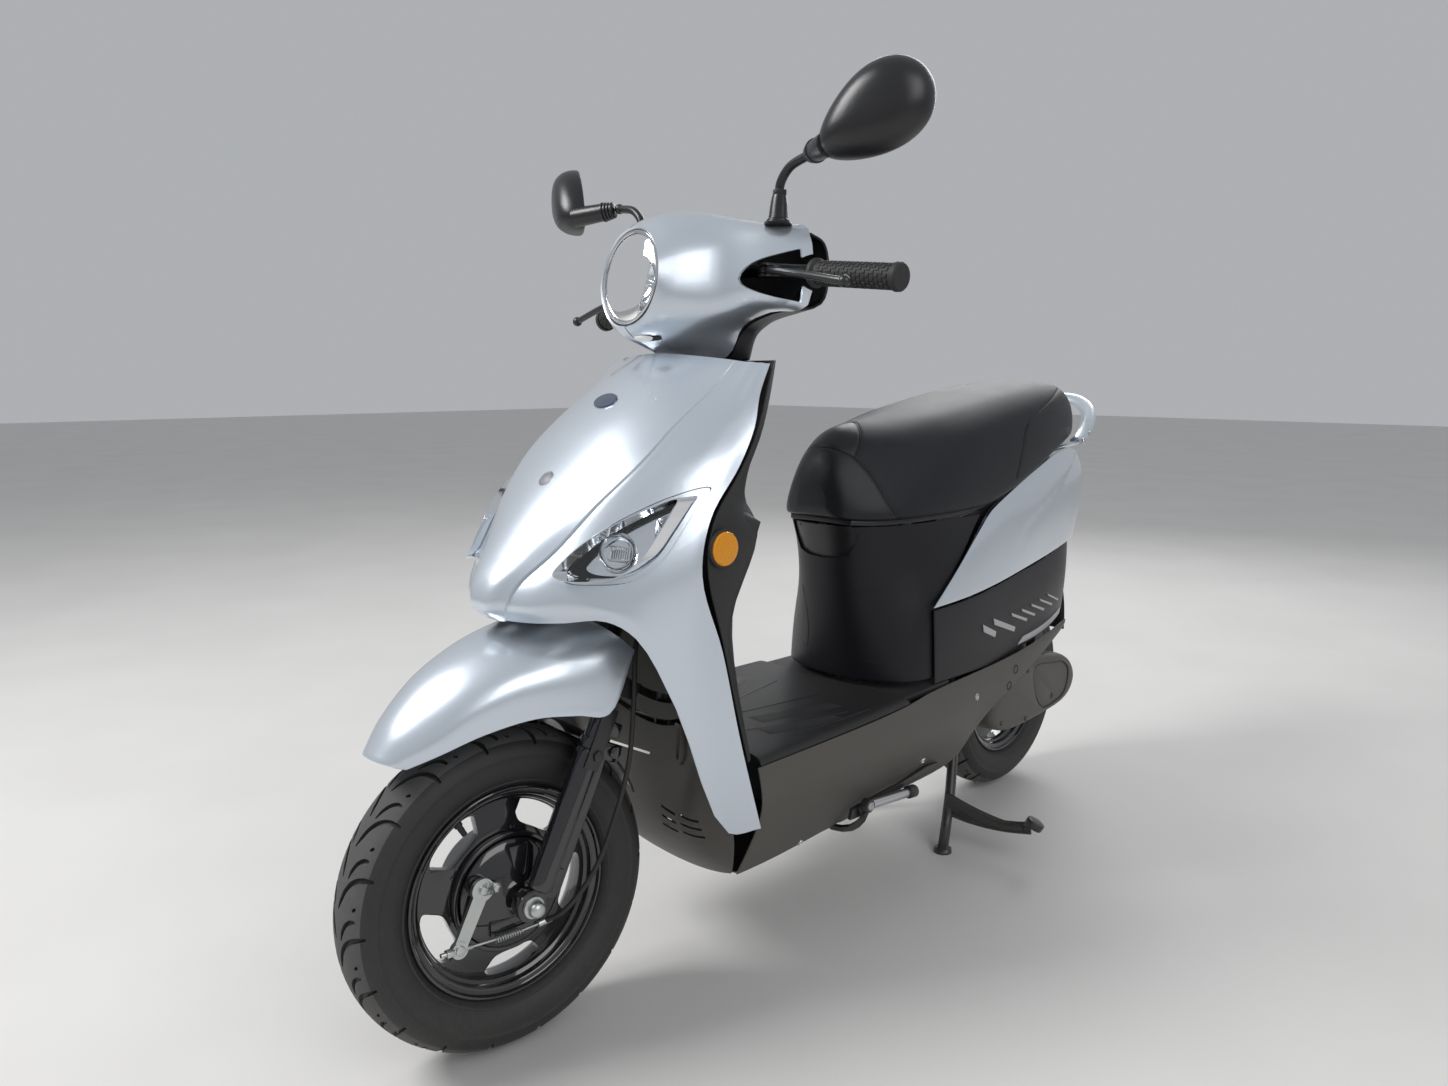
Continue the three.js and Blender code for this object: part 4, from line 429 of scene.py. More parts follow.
wire(marks, (dust, tint.inputs[0]), (start.outputs["Color"], tint.inputs[6]),
     (start.outputs["Dust color"], tint.inputs[7]), (tint.outputs[2], end.inputs["Color"]))
sway = maths(marks, "MULTIPLY", maths(marks, "SUBTRACT", broad.outputs["Fac"], 0.5),
             start.outputs["Uneven"])
rough = maths(marks, "ADD", maths(marks, "ADD", start.outputs["Roughness"], sway),
              maths(marks, "MULTIPLY", dust, 0.5), clamp=True)
wire(marks, (rough, end.inputs["Roughness"]))


# %% [markdown]
# One recipe then makes each opaque finish: a colour, its gloss, its grain and how much
# dust it gathers. Numbers that don't change over the surface sit on the shader itself.

# %% Opaque finishes
def new_material(name):
    made = bpy.data.materials.new(name)
    made.use_nodes = True
    return made, made.node_tree, made.node_tree.nodes["Principled BSDF"]


def opaque(name, color, rough, metal=0.0, grain_size=0.0, depth=0.0, coat=0.0,
           dust=0.25, uneven=0.08, specular=0.5, shift=None):
    made, tree, shader = new_material(name)
    shader.inputs["Metallic"].default_value = metal
    shader.inputs["Coat Weight"].default_value = coat
    shader.inputs["Coat Roughness"].default_value = 0.05
    shader.inputs["Specular IOR Level"].default_value = specular
    use = tree.nodes.new("ShaderNodeGroup")
    use.node_tree = marks
    use.inputs["Color"].default_value = (*color, 1)
    use.inputs["Roughness"].default_value = rough
    use.inputs["Uneven"].default_value = uneven
    use.inputs["Dust"].default_value = dust
    if shift:
        place = node(tree, "TexCoord")
        cloud = node(tree, "TexNoise", Scale=shift[1], Detail=4.0, Roughness=0.6)
        ramp = tree.nodes.new("ShaderNodeMix")
        ramp.data_type = "RGBA"
        ramp.inputs[6].default_value = (*color, 1)
        ramp.inputs[7].default_value = (*shift[0], 1)
        wire(tree, (place.outputs["Object"], cloud.inputs["Vector"]),
             (cloud.outputs["Fac"], ramp.inputs[0]), (ramp.outputs[2], use.inputs["Color"]))
    wire(tree, (use.outputs["Color"], shader.inputs["Base Color"]),
         (use.outputs["Roughness"], shader.inputs["Roughness"]))
    if grain_size:
        texture = tree.nodes.new("ShaderNodeGroup")
        texture.node_tree = grain
        texture.inputs["Cells per metre"].default_value = grain_size
        texture.inputs["Depth"].default_value = depth
        bump = node(tree, "Bump", Strength=1.0, Distance=0.0003)
        wire(tree, (texture.outputs["Height"], bump.inputs["Height"]),
             (bump.outputs["Normal"], shader.inputs["Normal"]))
    return made


SILVER = opaque("silver_lacquer", (0.6, 0.67, 0.75), 0.3, metal=0.72, coat=1.0, dust=0.08,
                uneven=0.05, grain_size=2600, depth=0.05, shift=((0.68, 0.73, 0.79), 900.0))
BLACK = opaque("black_grained_plastic", (0.009, 0.009, 0.012), 0.36, grain_size=1100,
               depth=0.3, dust=0.06, specular=0.3)
CHARCOAL = opaque("charcoal_grained_plastic", (0.072, 0.068, 0.06), 0.42, grain_size=1000,
                  depth=0.45, dust=0.35)
SHIELD = opaque("shield_plastic", (0.022, 0.022, 0.023), 0.46, grain_size=1000, depth=0.4,
                dust=0.12, specular=0.35)
SATIN = opaque("satin_black_plastic", (0.012, 0.012, 0.014), 0.3, dust=0.1, grain_size=1500,
               depth=0.12)
GLOSS = opaque("gloss_black_enamel", (0.006, 0.006, 0.009), 0.09, coat=0.9, dust=0.2,
               uneven=0.05)
STEEL_BLACK = opaque("black_painted_steel", (0.012, 0.012, 0.013), 0.38, dust=0.3, coat=0.2)
TYRE = opaque("tyre_rubber", (0.011, 0.011, 0.012), 0.55, grain_size=700, depth=0.4, dust=0.22,
              uneven=0.2, shift=((0.018, 0.018, 0.018), 30.0))
TREAD = opaque("worn_tread_rubber", (0.05, 0.051, 0.055), 0.74, grain_size=600, depth=0.7, dust=0.5,
               uneven=0.2, shift=((0.08, 0.078, 0.077), 45.0))
RUBBER = opaque("moulded_rubber", (0.018, 0.018, 0.019), 0.62, grain_size=1300, depth=0.25,
                dust=0.1)
VINYL = opaque("grained_vinyl", (0.009, 0.010, 0.014), 0.44, grain_size=620, depth=0.9,
               dust=0.0, uneven=0.12, specular=0.3)
VINYL_SMOOTH = opaque("smooth_vinyl", (0.009, 0.010, 0.013), 0.34, grain_size=900, depth=0.4,
                      dust=0.0, specular=0.35)
THREAD = opaque("seat_thread", (0.05, 0.05, 0.055), 0.7, dust=0.0)
ZINC = opaque("zinc_plate", (0.62, 0.62, 0.55), 0.36, metal=1.0, dust=0.15, uneven=0.2,
              shift=((0.5, 0.55, 0.6), 60.0))
STEEL = opaque("polished_steel", (0.62, 0.63, 0.65), 0.22, metal=1.0, dust=0.1)
ALLOY = opaque("cast_alloy", (0.09, 0.09, 0.095), 0.48, metal=0.6, grain_size=900, depth=0.5)
CHROME = opaque("bright_bowl", (0.86, 0.88, 0.9), 0.08, metal=1.0, dust=0.0, uneven=0.02)
MIRROR = opaque("mirror_glass", (0.9, 0.91, 0.92), 0.02, metal=1.0, dust=0.0, uneven=0.0)
CASE = opaque("battery_case", (0.03, 0.045, 0.055), 0.5, grain_size=900, depth=0.3)
DARK = opaque("shadow_black", (0.004, 0.004, 0.004), 0.7, dust=0.0)
BADGE = opaque("plain_badge", (0.1, 0.13, 0.2), 0.2, metal=0.7, coat=1.0, dust=0.0)
HINGE_WHITE = opaque("pale_bulb", (0.85, 0.84, 0.8), 0.35, dust=0.0)


# %% Clear and coloured lenses
def glassy(name, color, rough=0.03, ripple=0.0, weight=1.0):
    made, tree, shader = new_material(name)
    shader.inputs["Base Color"].default_value = (*color, 1)
    shader.inputs["Transmission Weight"].default_value = weight
    shader.inputs["Roughness"].default_value = rough
    shader.inputs["IOR"].default_value = 1.46
    if ripple:
        place = node(tree, "TexCoord")
        wave = node(tree, "TexVoronoi", Scale=ripple)
        bump = node(tree, "Bump", Strength=0.6, Distance=0.0012)
        wire(tree, (place.outputs["Object"], wave.inputs["Vector"]),
             (wave.outputs["Distance"], bump.inputs["Height"]),
             (bump.outputs["Normal"], shader.inputs["Normal"]))
    return made


CLEAR = glassy("clear_lens", (0.96, 0.98, 1.0))
AMBER = glassy("amber_lens", (1.0, 0.42, 0.02), 0.12, ripple=260.0, weight=0.35)
RED = glassy("red_lens", (0.7, 0.01, 0.01), 0.1, ripple=220.0, weight=0.4)
AMBER_BULB = glassy("amber_bulb", (1.0, 0.32, 0.02), 0.15, weight=0.5)
print("finishes:", len(bpy.data.materials))
# %% [markdown]
# ## Body panels
# The skin of the real scooter is moulded plastic, about three millimetres thick, with
# rounded rims. The frame already has each panel's shape, so most panels start as a
# merged copy of it: the rim is rounded and the middle is divided once more.


def taken(name, quads=True):
    obj = NODES[name].copy()
    obj.data = obj.data.copy()
    obj.parent = None
    for key in list(obj.keys()):
        del obj[key]
    bpy.context.scene.collection.objects.link(obj)
    obj.data.materials.clear()
    steps = [(bpy.ops.mesh.remove_doubles, {"threshold": 2e-5})]
    if quads:
        steps.append((bpy.ops.mesh.tris_convert_to_quads,
                      {"face_threshold": 0.7, "shape_threshold": 0.9}))
    return edit(obj, *steps)


def dress(obj, name, body, material, *stands_for, steered=False):
    """Name a finished piece, give it its finish and let it move with its body."""
    if steered:
        obj.data.transform(STEER)
    obj.name = obj.data.name = name
    if not obj.data.materials:
        obj.data.materials.append(material)
    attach(obj, body)
    if stands_for:
        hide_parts(*stands_for)
    print(f"{name}: {len(obj.data.polygons)} faces")
    return obj


# %% [markdown]
# ## Brake cable
# The cable leaves the dark space under the cowl's neck, runs down behind the left leg
# and curves forward to the stop on the brake plate. The object holds it at both ends,
# so it is one smooth tube along the real route, swept as a curve.

# %% Brake cable
CABLE_RADIUS = 0.0035
CABLE_POINTS = [ # out, up and ahead of the front axle
    (62, 307, -214), (97, 316, -170), (100, 236, -159), (100, 154, -147),
    (96, 76, -120), (90, 16, -90), (80, -26, -50), (59.8, -41, -33),
]
cable_route = [FRONT_AXLE + Vector((x, -ahead, up)) / 1000 for x, up, ahead in CABLE_POINTS]
cable_line = [STEER @ point for point in through(cable_route, 39)]
cable_length = sum((b - a).length for a, b in zip(cable_line, cable_line[1:]))
print("brake cable, free stretch:", round(cable_length, 3), "m")
cable = hose(cable_line, CABLE_RADIUS, resolution=3, sides=4)
dress(cable, "brake_cable_sheath", "fork_lower", RUBBER, "brake_cable")

# %% Rounding a panel's rim
RIM = 0.0011


def smooth_panel(name, levels=1, rim=RIM):
    obj = taken(name)
    change(obj, "BEVEL", width=rim, segments=2, limit_method="ANGLE",
           angle_limit=math.radians(55), use_clamp_overlap=True)
    change(obj, "SUBSURF", levels=levels, render_levels=levels)
    only(obj)
    bpy.ops.object.shade_smooth()
    return obj


# %% Plain panels
PLAIN_PANELS = {
    "leg_shield": SHIELD, "front_inner_cover": CHARCOAL, "floorboard": SHIELD,
    "belly_pan": CHARCOAL, "seat_base_cover": BLACK, "tail_lower_cover": BLACK,
    "rear_mudguard": BLACK, "side_skirt_left": CHARCOAL, "side_skirt_right": CHARCOAL,
    "side_cover_left": SILVER, "side_cover_right": SILVER,
}
panels = {}
for cad_name, finish in PLAIN_PANELS.items():
    piece = smooth_panel(cad_name, levels=2 if finish is SILVER else 1)
    panels[cad_name] = dress(piece, cad_name + "_skin", "body", finish, cad_name)

# %% [markdown]
# The front apron is one big lacquered moulding. Its hood stands a few millimetres
# proud of the wings, and the step between them is a dark line that runs from the top
# corner down to the nose. The hood is therefore lifted off the net before the wall is
# added, so that the narrow step shades itself.

# %% Front apron
APRON = [
    [(0, -338, 906), (61, -329, 903), (122, -308, 897), (129, -304, 896), (136, -300, 895),
     (143, -296, 895), (149, -292, 894), (154, -288, 894), (159, -285, 893), (163, -282, 893)],
    [(0, -393, 870), (61, -384, 867), (122, -352, 860), (131, -346, 858), (139, -340, 857),
     (147, -334, 856), (154, -328, 855), (161, -322, 855), (167, -316, 854), (172, -311, 854)],
    [(0, -453, 820), (61, -446, 819), (121, -418, 815), (133, -408, 813), (144, -397, 812),
     (154, -386, 811), (163, -374, 811), (171, -361, 810), (178, -348, 810), (184, -336, 810)],
    [(0, -505, 768), (59, -498, 768), (118, -474, 769), (132, -463, 768), (146, -450, 768),
     (159, -436, 767), (170, -421, 766), (179, -404, 765), (186, -388, 764), (191, -372, 763)],
    [(0, -557, 712), (48, -551, 712), (95, -530, 716), (118, -516, 715), (139, -498, 714),
     (158, -479, 713), (173, -462, 711), (184, -448, 708), (191, -438, 704), (196, -428, 701)],
    [(0, -603, 655), (34, -598, 656), (68, -575, 662), (97, -563, 659), (124, -544, 656),
     (150, -520, 652), (171, -496, 647), (186, -473, 642), (195, -456, 637), (198, -445, 632)],
    [(0, -633, 612), (20, -631, 612), (41, -614, 620), (74, -603, 614), (105, -582, 612),
     (136, -552, 606), (160, -522, 598), (177, -490, 575), (188, -452, 535), (192, -403, 525)],
    [(0, -636, 592), (16, -635, 592), (33, -624, 596), (67, -610, 594), (100, -586, 594),
     (136, -553, 594), (160, -523, 578), (175, -480, 520), (180, -412, 400), (188, -366, 400)],
    [(0, -620, 577), (12, -620, 577), (26, -618, 577), (60, -604, 577), (95, -582, 579),
     (135, -548, 582), (158, -520, 560), (171, -467, 462), (166, -364, 256), (182, -315, 252)],
]
HOOD_EDGE = 2
HOOD_STEP = 0.06
WALL = 0.003


def steps_between(start, end, count):
    return [start + (end - start) * i / count for i in range(count)]


def net_normals(rows):
    """The direction square to the net at each point, towards the rider."""
    found = []
    for j, row in enumerate(rows):
        line = []
        for i, point in enumerate(row):
            across = row[min(i + 1, len(row) - 1)] - row[max(i - 1, 0)]
            down = rows[min(j + 1, len(rows) - 1)][i] - rows[max(j - 1, 0)][i]
            line.append(across.cross(down).normalized())
        found.append(line)
    return found


apron_middle = len(APRON[0]) - 1
hood_from, hood_to = apron_middle - HOOD_EDGE, apron_middle + HOOD_EDGE
apron_across = (
    steps_between(0, hood_from - HOOD_STEP, 28) + [hood_from - HOOD_STEP]
    + steps_between(hood_from, hood_to, 16) + [hood_to]
    + steps_between(hood_to + HOOD_STEP, 2 * apron_middle, 28) + [2 * apron_middle])
apron_down = steps_between(0, len(APRON) - 1, 48) + [len(APRON) - 1]
apron_rows = net(both_halves(millis(APRON)), apron_across, apron_down)
print("apron net:", len(apron_rows[0]), "by", len(apron_rows))
towards_rider = net_normals(apron_rows)
STEP_IN = apron_across.index(hood_from)
STEP_OUT = apron_across.index(hood_to)
HOOD_RISE = (0.0004, 0.0042, 0.0016)
HOOD_HIGHEST = 0.7


def hood_rise(j):
    share = apron_down[j] / (len(APRON) - 1)
    low, middle, end = HOOD_RISE
    if share < HOOD_HIGHEST:
        return low + (middle - low) * share / HOOD_HIGHEST
    return middle + (end - middle) * (share - HOOD_HIGHEST) / (1 - HOOD_HIGHEST)


def apron_surface(depth=0.0):
    """The apron's outer face, or a face that lies deeper by some depth."""
    rows = []
    for j, row in enumerate(apron_rows):
        rises = [hood_rise(j) if STEP_IN <= i <= STEP_OUT else 0 for i in range(len(row))]
        rows.append([point + towards_rider[j][i] * (depth - rises[i]) for i, point in enumerate(row)])
    return rows


def grid(rows):
    wide = len(rows[0])
    faces = [(j * wide + i, j * wide + i + 1, (j + 1) * wide + i + 1, (j + 1) * wide + i)
             for j in range(len(rows) - 1) for i in range(wide - 1)]
    return from_points([p for row in rows for p in row], (), faces)


def walled(rows, wall, inward):
    obj = grid(rows)
    change(obj, "SOLIDIFY", thickness=wall, offset=-1 if inward else 1, use_even_offset=False)
    return tidy(obj, 1e-7)


def round_loop(points, count):
    """A smooth closed line through the points."""
    around = points[-2:] + points + points[:3]
    line = through(around, [2 + len(points) * i / count for i in range(count)])
    return line


LAMP_OUTLINE = [
    (88, 641), (94, 660), (110, 684), (136, 709), (165, 731), (188, 741), (188, 720),
    (184, 685), (175, 650), (157, 630), (125, 626), (100, 629),
]
LAMP_WINDOW = [
    (95, 641), (100, 657), (115, 679), (139, 702), (163, 720), (181, 730), (181, 716),
    (177, 687), (169, 656), (154, 637), (125, 632), (103, 635),
]
LAMP_PLANE = -0.7
LAMP_REACH = 0.5


def lamp_prism(inwards=0.0, count=72):
    """The lamp's outline drawn through the apron: 0 is the opening, 1 the window."""
    corners = []
    for (x1, z1), (x2, z2) in zip(LAMP_OUTLINE, LAMP_WINDOW):
        x, z = x1 + (x2 - x1) * inwards, z1 + (z2 - z1) * inwards
        corners.append(Vector((x / 1000, LAMP_PLANE, z / 1000)))
    return prism(round_loop(corners, count), Y_AXIS, LAMP_REACH)


apron = walled(apron_surface(), WALL, True)
hole = lamp_prism()
cut_both(apron, hole)
step_width = (apron_rows[20][STEP_IN] - apron_rows[20][STEP_IN - 1]).length
print("hood step is", round(step_width * 1000, 2), "mm wide")
soften(apron, 0.0, 32)
dress(apron, "apron_shell", "body", SILVER, "front_apron")
# %% [markdown]
# ## Handlebar covers
# The headlight sits in a lacquered cowl that spreads back to the grips. A black rear
# cover closes it towards the rider. Each side has an opening for the lever.

# %% Headlight cowl
COWL = [
    [(0, -364, 1078), (33, -366, 1069), (54, -369, 1048), (64, -373, 1027), (66, -376, 1006),
     (61, -378, 986), (45, -381, 962), (22, -384, 949), (1, -384, 946)],
    [(0, -336, 1093), (35, -339, 1086), (61, -344, 1064), (75, -350, 1034), (77, -355, 1004),
     (72, -360, 977), (54, -366, 952), (28, -371, 938), (1, -373, 935)],
    [(0, -278, 1106), (46, -282, 1098), (84, -287, 1078), (105, -291, 1048), (108, -296, 1003),
     (98, -302, 968), (74, -312, 943), (43, -328, 926), (1, -345, 920)],
    [(0, -232, 1101), (60, -240, 1091), (112, -247, 1078), (148, -251, 1060),
     (151, -260, 982), (116, -265, 963), (80, -275, 943), (56, -290, 917), (1, -331, 911)],
    [(0, -194, 1091), (70, -202, 1083), (138, -208, 1071), (186, -212, 1062),
     (187, -216, 965), (126, -229, 962), (80, -241, 945), (62, -257, 903), (1, -322, 903)],
]
LEVER_HOLE = [(124, 1004), (134, 1018), (160, 1030), (200, 1036), (206, 1000), (200, 966),
              (170, 972), (138, 986), (126, 995)]
BAR_ELBOW = on_fork(0.070, 1.135, 0.027)
BAR_END = mm(330, -196, 986)
COVER_REAR = [
    [(0, -187, 1086), (70, -196, 1079), (138, -202, 1067), (183, -205, 1057)],
    [(0, -150, 1062), (70, -153, 1058), (138, -165, 1052), (186, -184, 1046)],
    [(0, -138, 1010), (70, -142, 1010), (138, -155, 1010), (187, -178, 1012)],
    [(0, -150, 968), (70, -155, 968), (135, -170, 968), (186, -192, 968)],
    [(0, -162, 950), (50, -168, 952), (90, -190, 956), (122, -221, 960)],
    [(0, -170, 935), (36, -178, 936), (62, -204, 937), (74, -236, 939)],
    [(0, -186, 900), (34, -193, 900), (55, -214, 900), (60, -248, 901)],
]
GRIP_FLANGE = 0.022


def along_bar(x):
    return BAR_ELBOW.lerp(BAR_END, (x - BAR_ELBOW.x) / (BAR_END.x - BAR_ELBOW.x))


def lever_hole(grow=0.0):
    loop = round_loop([Vector((x / 1000, -0.4, z / 1000)) for x, z in LEVER_HOLE], 54)
    middle = sum(loop, Vector()) / len(loop)
    loop = [p + (p - middle).normalized() * grow for p in loop]
    return prism(loop, Y_AXIS, 0.175)


def grip_hole():
    return rod(along_bar(0.150), along_bar(0.215), GRIP_FLANGE + WALL, 48, edge=0)


cowl = walled(net(both_halves(millis(COWL)), 64, 26), WALL, False)
for tool in (lever_hole(), grip_hole()):
    cut_both(cowl, tool)
soften(cowl, 0.0, 38)
dress(cowl, "cowl_shell", "steering", SILVER, "headlight_cowl", steered=True)

rear_cover = walled(net(both_halves(millis(COVER_REAR)), 44, 30), WALL, False)
cut_both(rear_cover, grip_hole())
soften(rear_cover, 0.0, 38)
dress(rear_cover, "bar_cover", "steering", BLACK, "handlebar_cover", steered=True)

# %% [markdown]
# The fender is lacquered like the apron. It has a soft ridge along its middle, and its
# sides turn down past the tyre. Two black brackets bolt it to the fork's lower legs.

# %% Front fender
FENDER = [
    [(0, -786, 425), (21, -783, 424), (36, -773, 421), (44, -757, 416)],
    [(0, -758, 464), (34, -754, 458), (60, -738, 444), (65, -724, 430)],
    [(0, -710, 508), (42, -706, 500), (76, -692, 478), (81, -672, 447)],
    [(0, -650, 540), (48, -646, 531), (88, -634, 503), (95, -610, 456)],
    [(0, -595, 556), (52, -592, 547), (95, -582, 512), (103, -556, 450)],
    [(0, -548, 563), (54, -543, 556), (98, -532, 518), (106, -510, 443)],
    [(0, -520, 565), (56, -508, 560), (98, -484, 538), (106, -466, 520)],
]
fender = walled(net(both_halves(millis(FENDER)), 42, 36), WALL, False)
soften(fender, 0.0009, 55)
dress(fender, "fender_shell", "fork_lower", SILVER, "front_fender", steered=True)
# %% [markdown]
# ## Wheels
# The tyres are 3.50-10 scooter tyres. Each was spun from half a section, mirrored, and
# has a tread of swept grooves: one long and one short groove per side, repeated all
# round. A groove is cut by a curved bar, so a sector of the tyre is cut once and then
# copied round the axle. The side walls keep fine moulded rings.

# %% Tyre
TYRE_RADIUS = 0.214
TYRE_HALF = 0.0465
LIP_RADIUS = 0.140
SECTORS = 18
GROOVE_DEEP = 0.0042
GROOVE_ABOVE = 0.0012
TREAD_EDGE = 0.0365


def wheel_point(centre, x, radius, degrees):
    """A place round an axle, the angle counted from straight behind."""
    angle = math.radians(degrees)
    return centre + Vector((x, radius * math.cos(angle), radius * math.sin(angle)))


def tyre_section():
    """(radius, along) from the bead over the tread, for the left half."""
    tall = TYRE_RADIUS - LIP_RADIUS
    return [
        (0.1285, 0.0185), (0.1295, 0.0272), (LIP_RADIUS + 0.0005, 0.0282),
        (LIP_RADIUS + 0.004, 0.0352), (LIP_RADIUS + tall * 0.1, 0.0388),
        (LIP_RADIUS + tall * 0.13, 0.0388), (LIP_RADIUS + tall * 0.15, 0.0402),
        (LIP_RADIUS + tall * 0.22, 0.0432), (LIP_RADIUS + tall * 0.30, 0.0452),
        (LIP_RADIUS + tall * 0.38, TYRE_HALF - 0.0002), (LIP_RADIUS + tall * 0.48, TYRE_HALF - 0.0001),
        (LIP_RADIUS + tall * 0.56, 0.0458), (LIP_RADIUS + tall * 0.58, 0.0465),
        (LIP_RADIUS + tall * 0.66, 0.0452), (LIP_RADIUS + tall * 0.74, 0.0424),
        (LIP_RADIUS + tall * 0.82, 0.0378), (LIP_RADIUS + tall * 0.89, 0.0318),
        (LIP_RADIUS + tall * 0.945, 0.0242), (LIP_RADIUS + tall * 0.98, 0.0152),
        (LIP_RADIUS + tall * 0.996, 0.0072), (TYRE_RADIUS, 0.0),
    ]


TREAD_FROM = 13


def tread_radius(along):
    """Radius of the tread's surface at a distance from the middle."""
    ring = tyre_section()[TREAD_FROM:]
    for (r1, x1), (r2, x2) in zip(ring, ring[1:]):
        if x2 <= along <= x1:
            return r1 + (r2 - r1) * (x1 - along) / (x1 - x2)
    return ring[0][0]


def groove(centre, stations, width, side):
    """A bar under the tread along (degrees, distance from the middle)."""
    points = []
    for degrees, along in stations:
        points.append(wheel_point(centre, side * along, tread_radius(along) + GROOVE_ABOVE, degrees))
    fine = through(points, 4 * (len(points) - 1))
    rings = []
    for i, point in enumerate(fine):
        ahead = (fine[min(i + 1, len(fine) - 1)] - fine[max(i - 1, 0)]).normalized()
        away = point - centre
        away.x *= 0.6
        away = (away - ahead * away.dot(ahead)).normalized()
        across = ahead.cross(away)
        share = i / (len(fine) - 1)
        full = min(1, 5 * share, 5 * (1 - share) + 0.2)
        half = width * (0.35 + 0.65 * full) / 2
        deep = -away * (GROOVE_DEEP + GROOVE_ABOVE)
        rings.append([point + across * half * 1.25 + away * 0.002, point + across * half * 0.8 + deep,
                      point - across * half * 0.8 + deep, point - across * half * 1.25 + away * 0.002])
    return lofted(rings)


LONG_GROOVE = [(9.5, 0.0022), (6.6, 0.0060), (3.0, 0.0118), (0.2, 0.0195), (-1.4, 0.0275),
               (-2.2, 0.0350), (-2.6, 0.0425)]
SHORT_GROOVE = [(-0.8, 0.0110), (-4.2, 0.0150), (-6.6, 0.0205), (-7.9, 0.0265), (-8.4, 0.0330)]
NICK = [(-11.6, 0.0285), (-12.4, 0.0305), (-12.8, 0.0325)]


TYRE_INSIDE = [(0.1360, 0.0175), (0.1600, 0.0380), (0.1850, 0.0370), (0.2000, 0.0200), (0.2025, 0.0)]
SECTOR = 360 / SECTORS
SECTOR_STEPS = 6
TREAD_BARS = ((LONG_GROOVE, 0.0062), (SHORT_GROOVE, 0.0052), (NICK, 0.0036))


def tread_tools(centre):
    """The bars that cut one sector, with those that reach in from its neighbours."""
    tools = []
    for shift, side in ((0, 1), (SECTOR / 2, -1)):
        for stations, width in TREAD_BARS:
            for turn in (-SECTOR, 0, SECTOR):
                moved = [(degrees + turn + shift, along) for degrees, along in stations]
                places = [degrees for degrees, _ in moved]
                if max(places) > -SECTOR / 2 - 1 and min(places) < SECTOR / 2 + 1:
                    tools.append(groove(centre, moved, width, side))
    return tools


def is_sector_end(face, centre):
    """Whether a face lies in one of the two cut planes of the sector."""
    for sign in (-1, 1):
        half = math.radians(sign * SECTOR / 2)
        square = Vector((0, -math.sin(half), math.cos(half)))
        flat = abs(abs(face.normal.dot(square)) - 1) < 1e-3
        if flat and abs((face.center - centre).dot(square)) < 1e-4:
            return True
    return False


def delete_faces(obj, picked):
    only(obj)
    bpy.ops.object.mode_set(mode="EDIT")
    bpy.ops.mesh.select_mode(type="FACE")
    bpy.ops.mesh.select_all(action="DESELECT")
    bpy.ops.object.mode_set(mode="OBJECT")
    for index in picked:
        obj.data.polygons[index].select = True
    bpy.ops.object.mode_set(mode="EDIT")
    bpy.ops.mesh.delete(type="FACE")
    bpy.ops.object.mode_set(mode="OBJECT")


def tyre(centre):
    section = tyre_section()
    loop = (section + [(r, -x) for r, x in section[-2::-1]]
            + [(r, -x) for r, x in TYRE_INSIDE] + TYRE_INSIDE[-2::-1])
    wedge = lofted([[wheel_point(centre, x, r, SECTOR * (i / SECTOR_STEPS - 0.5)) for r, x in loop]
                    for i in range(SECTOR_STEPS + 1)])
    fuse(wedge, *tread_tools(centre), operation="DIFFERENCE")
    delete_faces(wedge, [f.index for f in wedge.data.polygons if is_sector_end(f, centre)])
    wedges = []
    for i in range(SECTORS):
        turn = (Matrix.Translation(centre) @ Matrix.Rotation(math.radians(SECTOR * i), 4, "X")
                @ Matrix.Translation(-centre))
        wedges.append(copied(wedge, turn))
    bpy.data.objects.remove(wedge)
    whole = gather(*wedges)
    tidy(whole, 2e-5)
    whole.data.materials.append(TYRE)
    whole.data.materials.append(TREAD)
    for face in whole.data.polygons:
        at = face.center - centre
        high = Vector((0, at.y, at.z)).length > tread_radius(abs(at.x)) - 0.001
        face.material_index = 1 if high and abs(at.x) < TREAD_EDGE else 0
    return soften(whole, 0.0, 34)


for name, centre in (("front", FRONT_AXLE), ("rear", REAR_AXLE)):
    piece = tyre(centre)
    dress(piece, name + "_tyre_rubber", name + "_wheel", TYRE, name + "_tyre", steered=name == "front")

# %% [markdown]
# The rims are cast alloy under gloss black enamel: a stepped barrel, a dished disc with
# five openings that leave five broad spokes, and a drum round the hub.

# %% Rims
RIM_LOOP = [
    (140, 32.2), (139.4, 33.8), (138, 34.3), (136.2, 33.8), (135, 32.2),
    (134, 29.6), (131.8, 28.2), (128.8, 27.6), (126.8, 26.2), (125.6, 23.6),
    (124.6, 19.6), (122.6, 18), (120.6, 17), (119.4, 14.6), (118.4, 8),
    (118, 0),
]
RIM_OUTER = [(124, 0), (124.8, 11), (128.1, 17), (128.1, 27.6), (139.6, 29)]
DISC_LOOP = [
    (60, 9), (60, 20), (76, 20.5), (88, 19), (100, 15.5),
    (111, 12), (120, 11), (120, -4), (111, -2), (98, 3),
    (86, 8), (76, 9.5), (60, 9),
]
DRUM_LOOP = [
    (10, -30), (60, -30), (70, -29), (75.2, -26.2), (76.2, -22),
    (76.2, 23), (78.6, 25), (79, 30), (77.5, 31), (72.8, 30.5),
    (72.4, 26), (10, 26), (10, -30),
]
OPENING = [(0.0905, -17.0), (0.0862, -11.0), (0.0850, 0.0), (0.0862, 11.0), (0.0905, 17.0),
           (0.1020, 20.0), (0.1120, 21.0), (0.1166, 16.0), (0.1172, 0.0), (0.1166, -16.0),
           (0.1120, -21.0), (0.1020, -20.0)]
FIRST_OPENING = 57.6
FIRST_STUD = 152.7
STUD_RING = 0.0815
SPOKES = 5


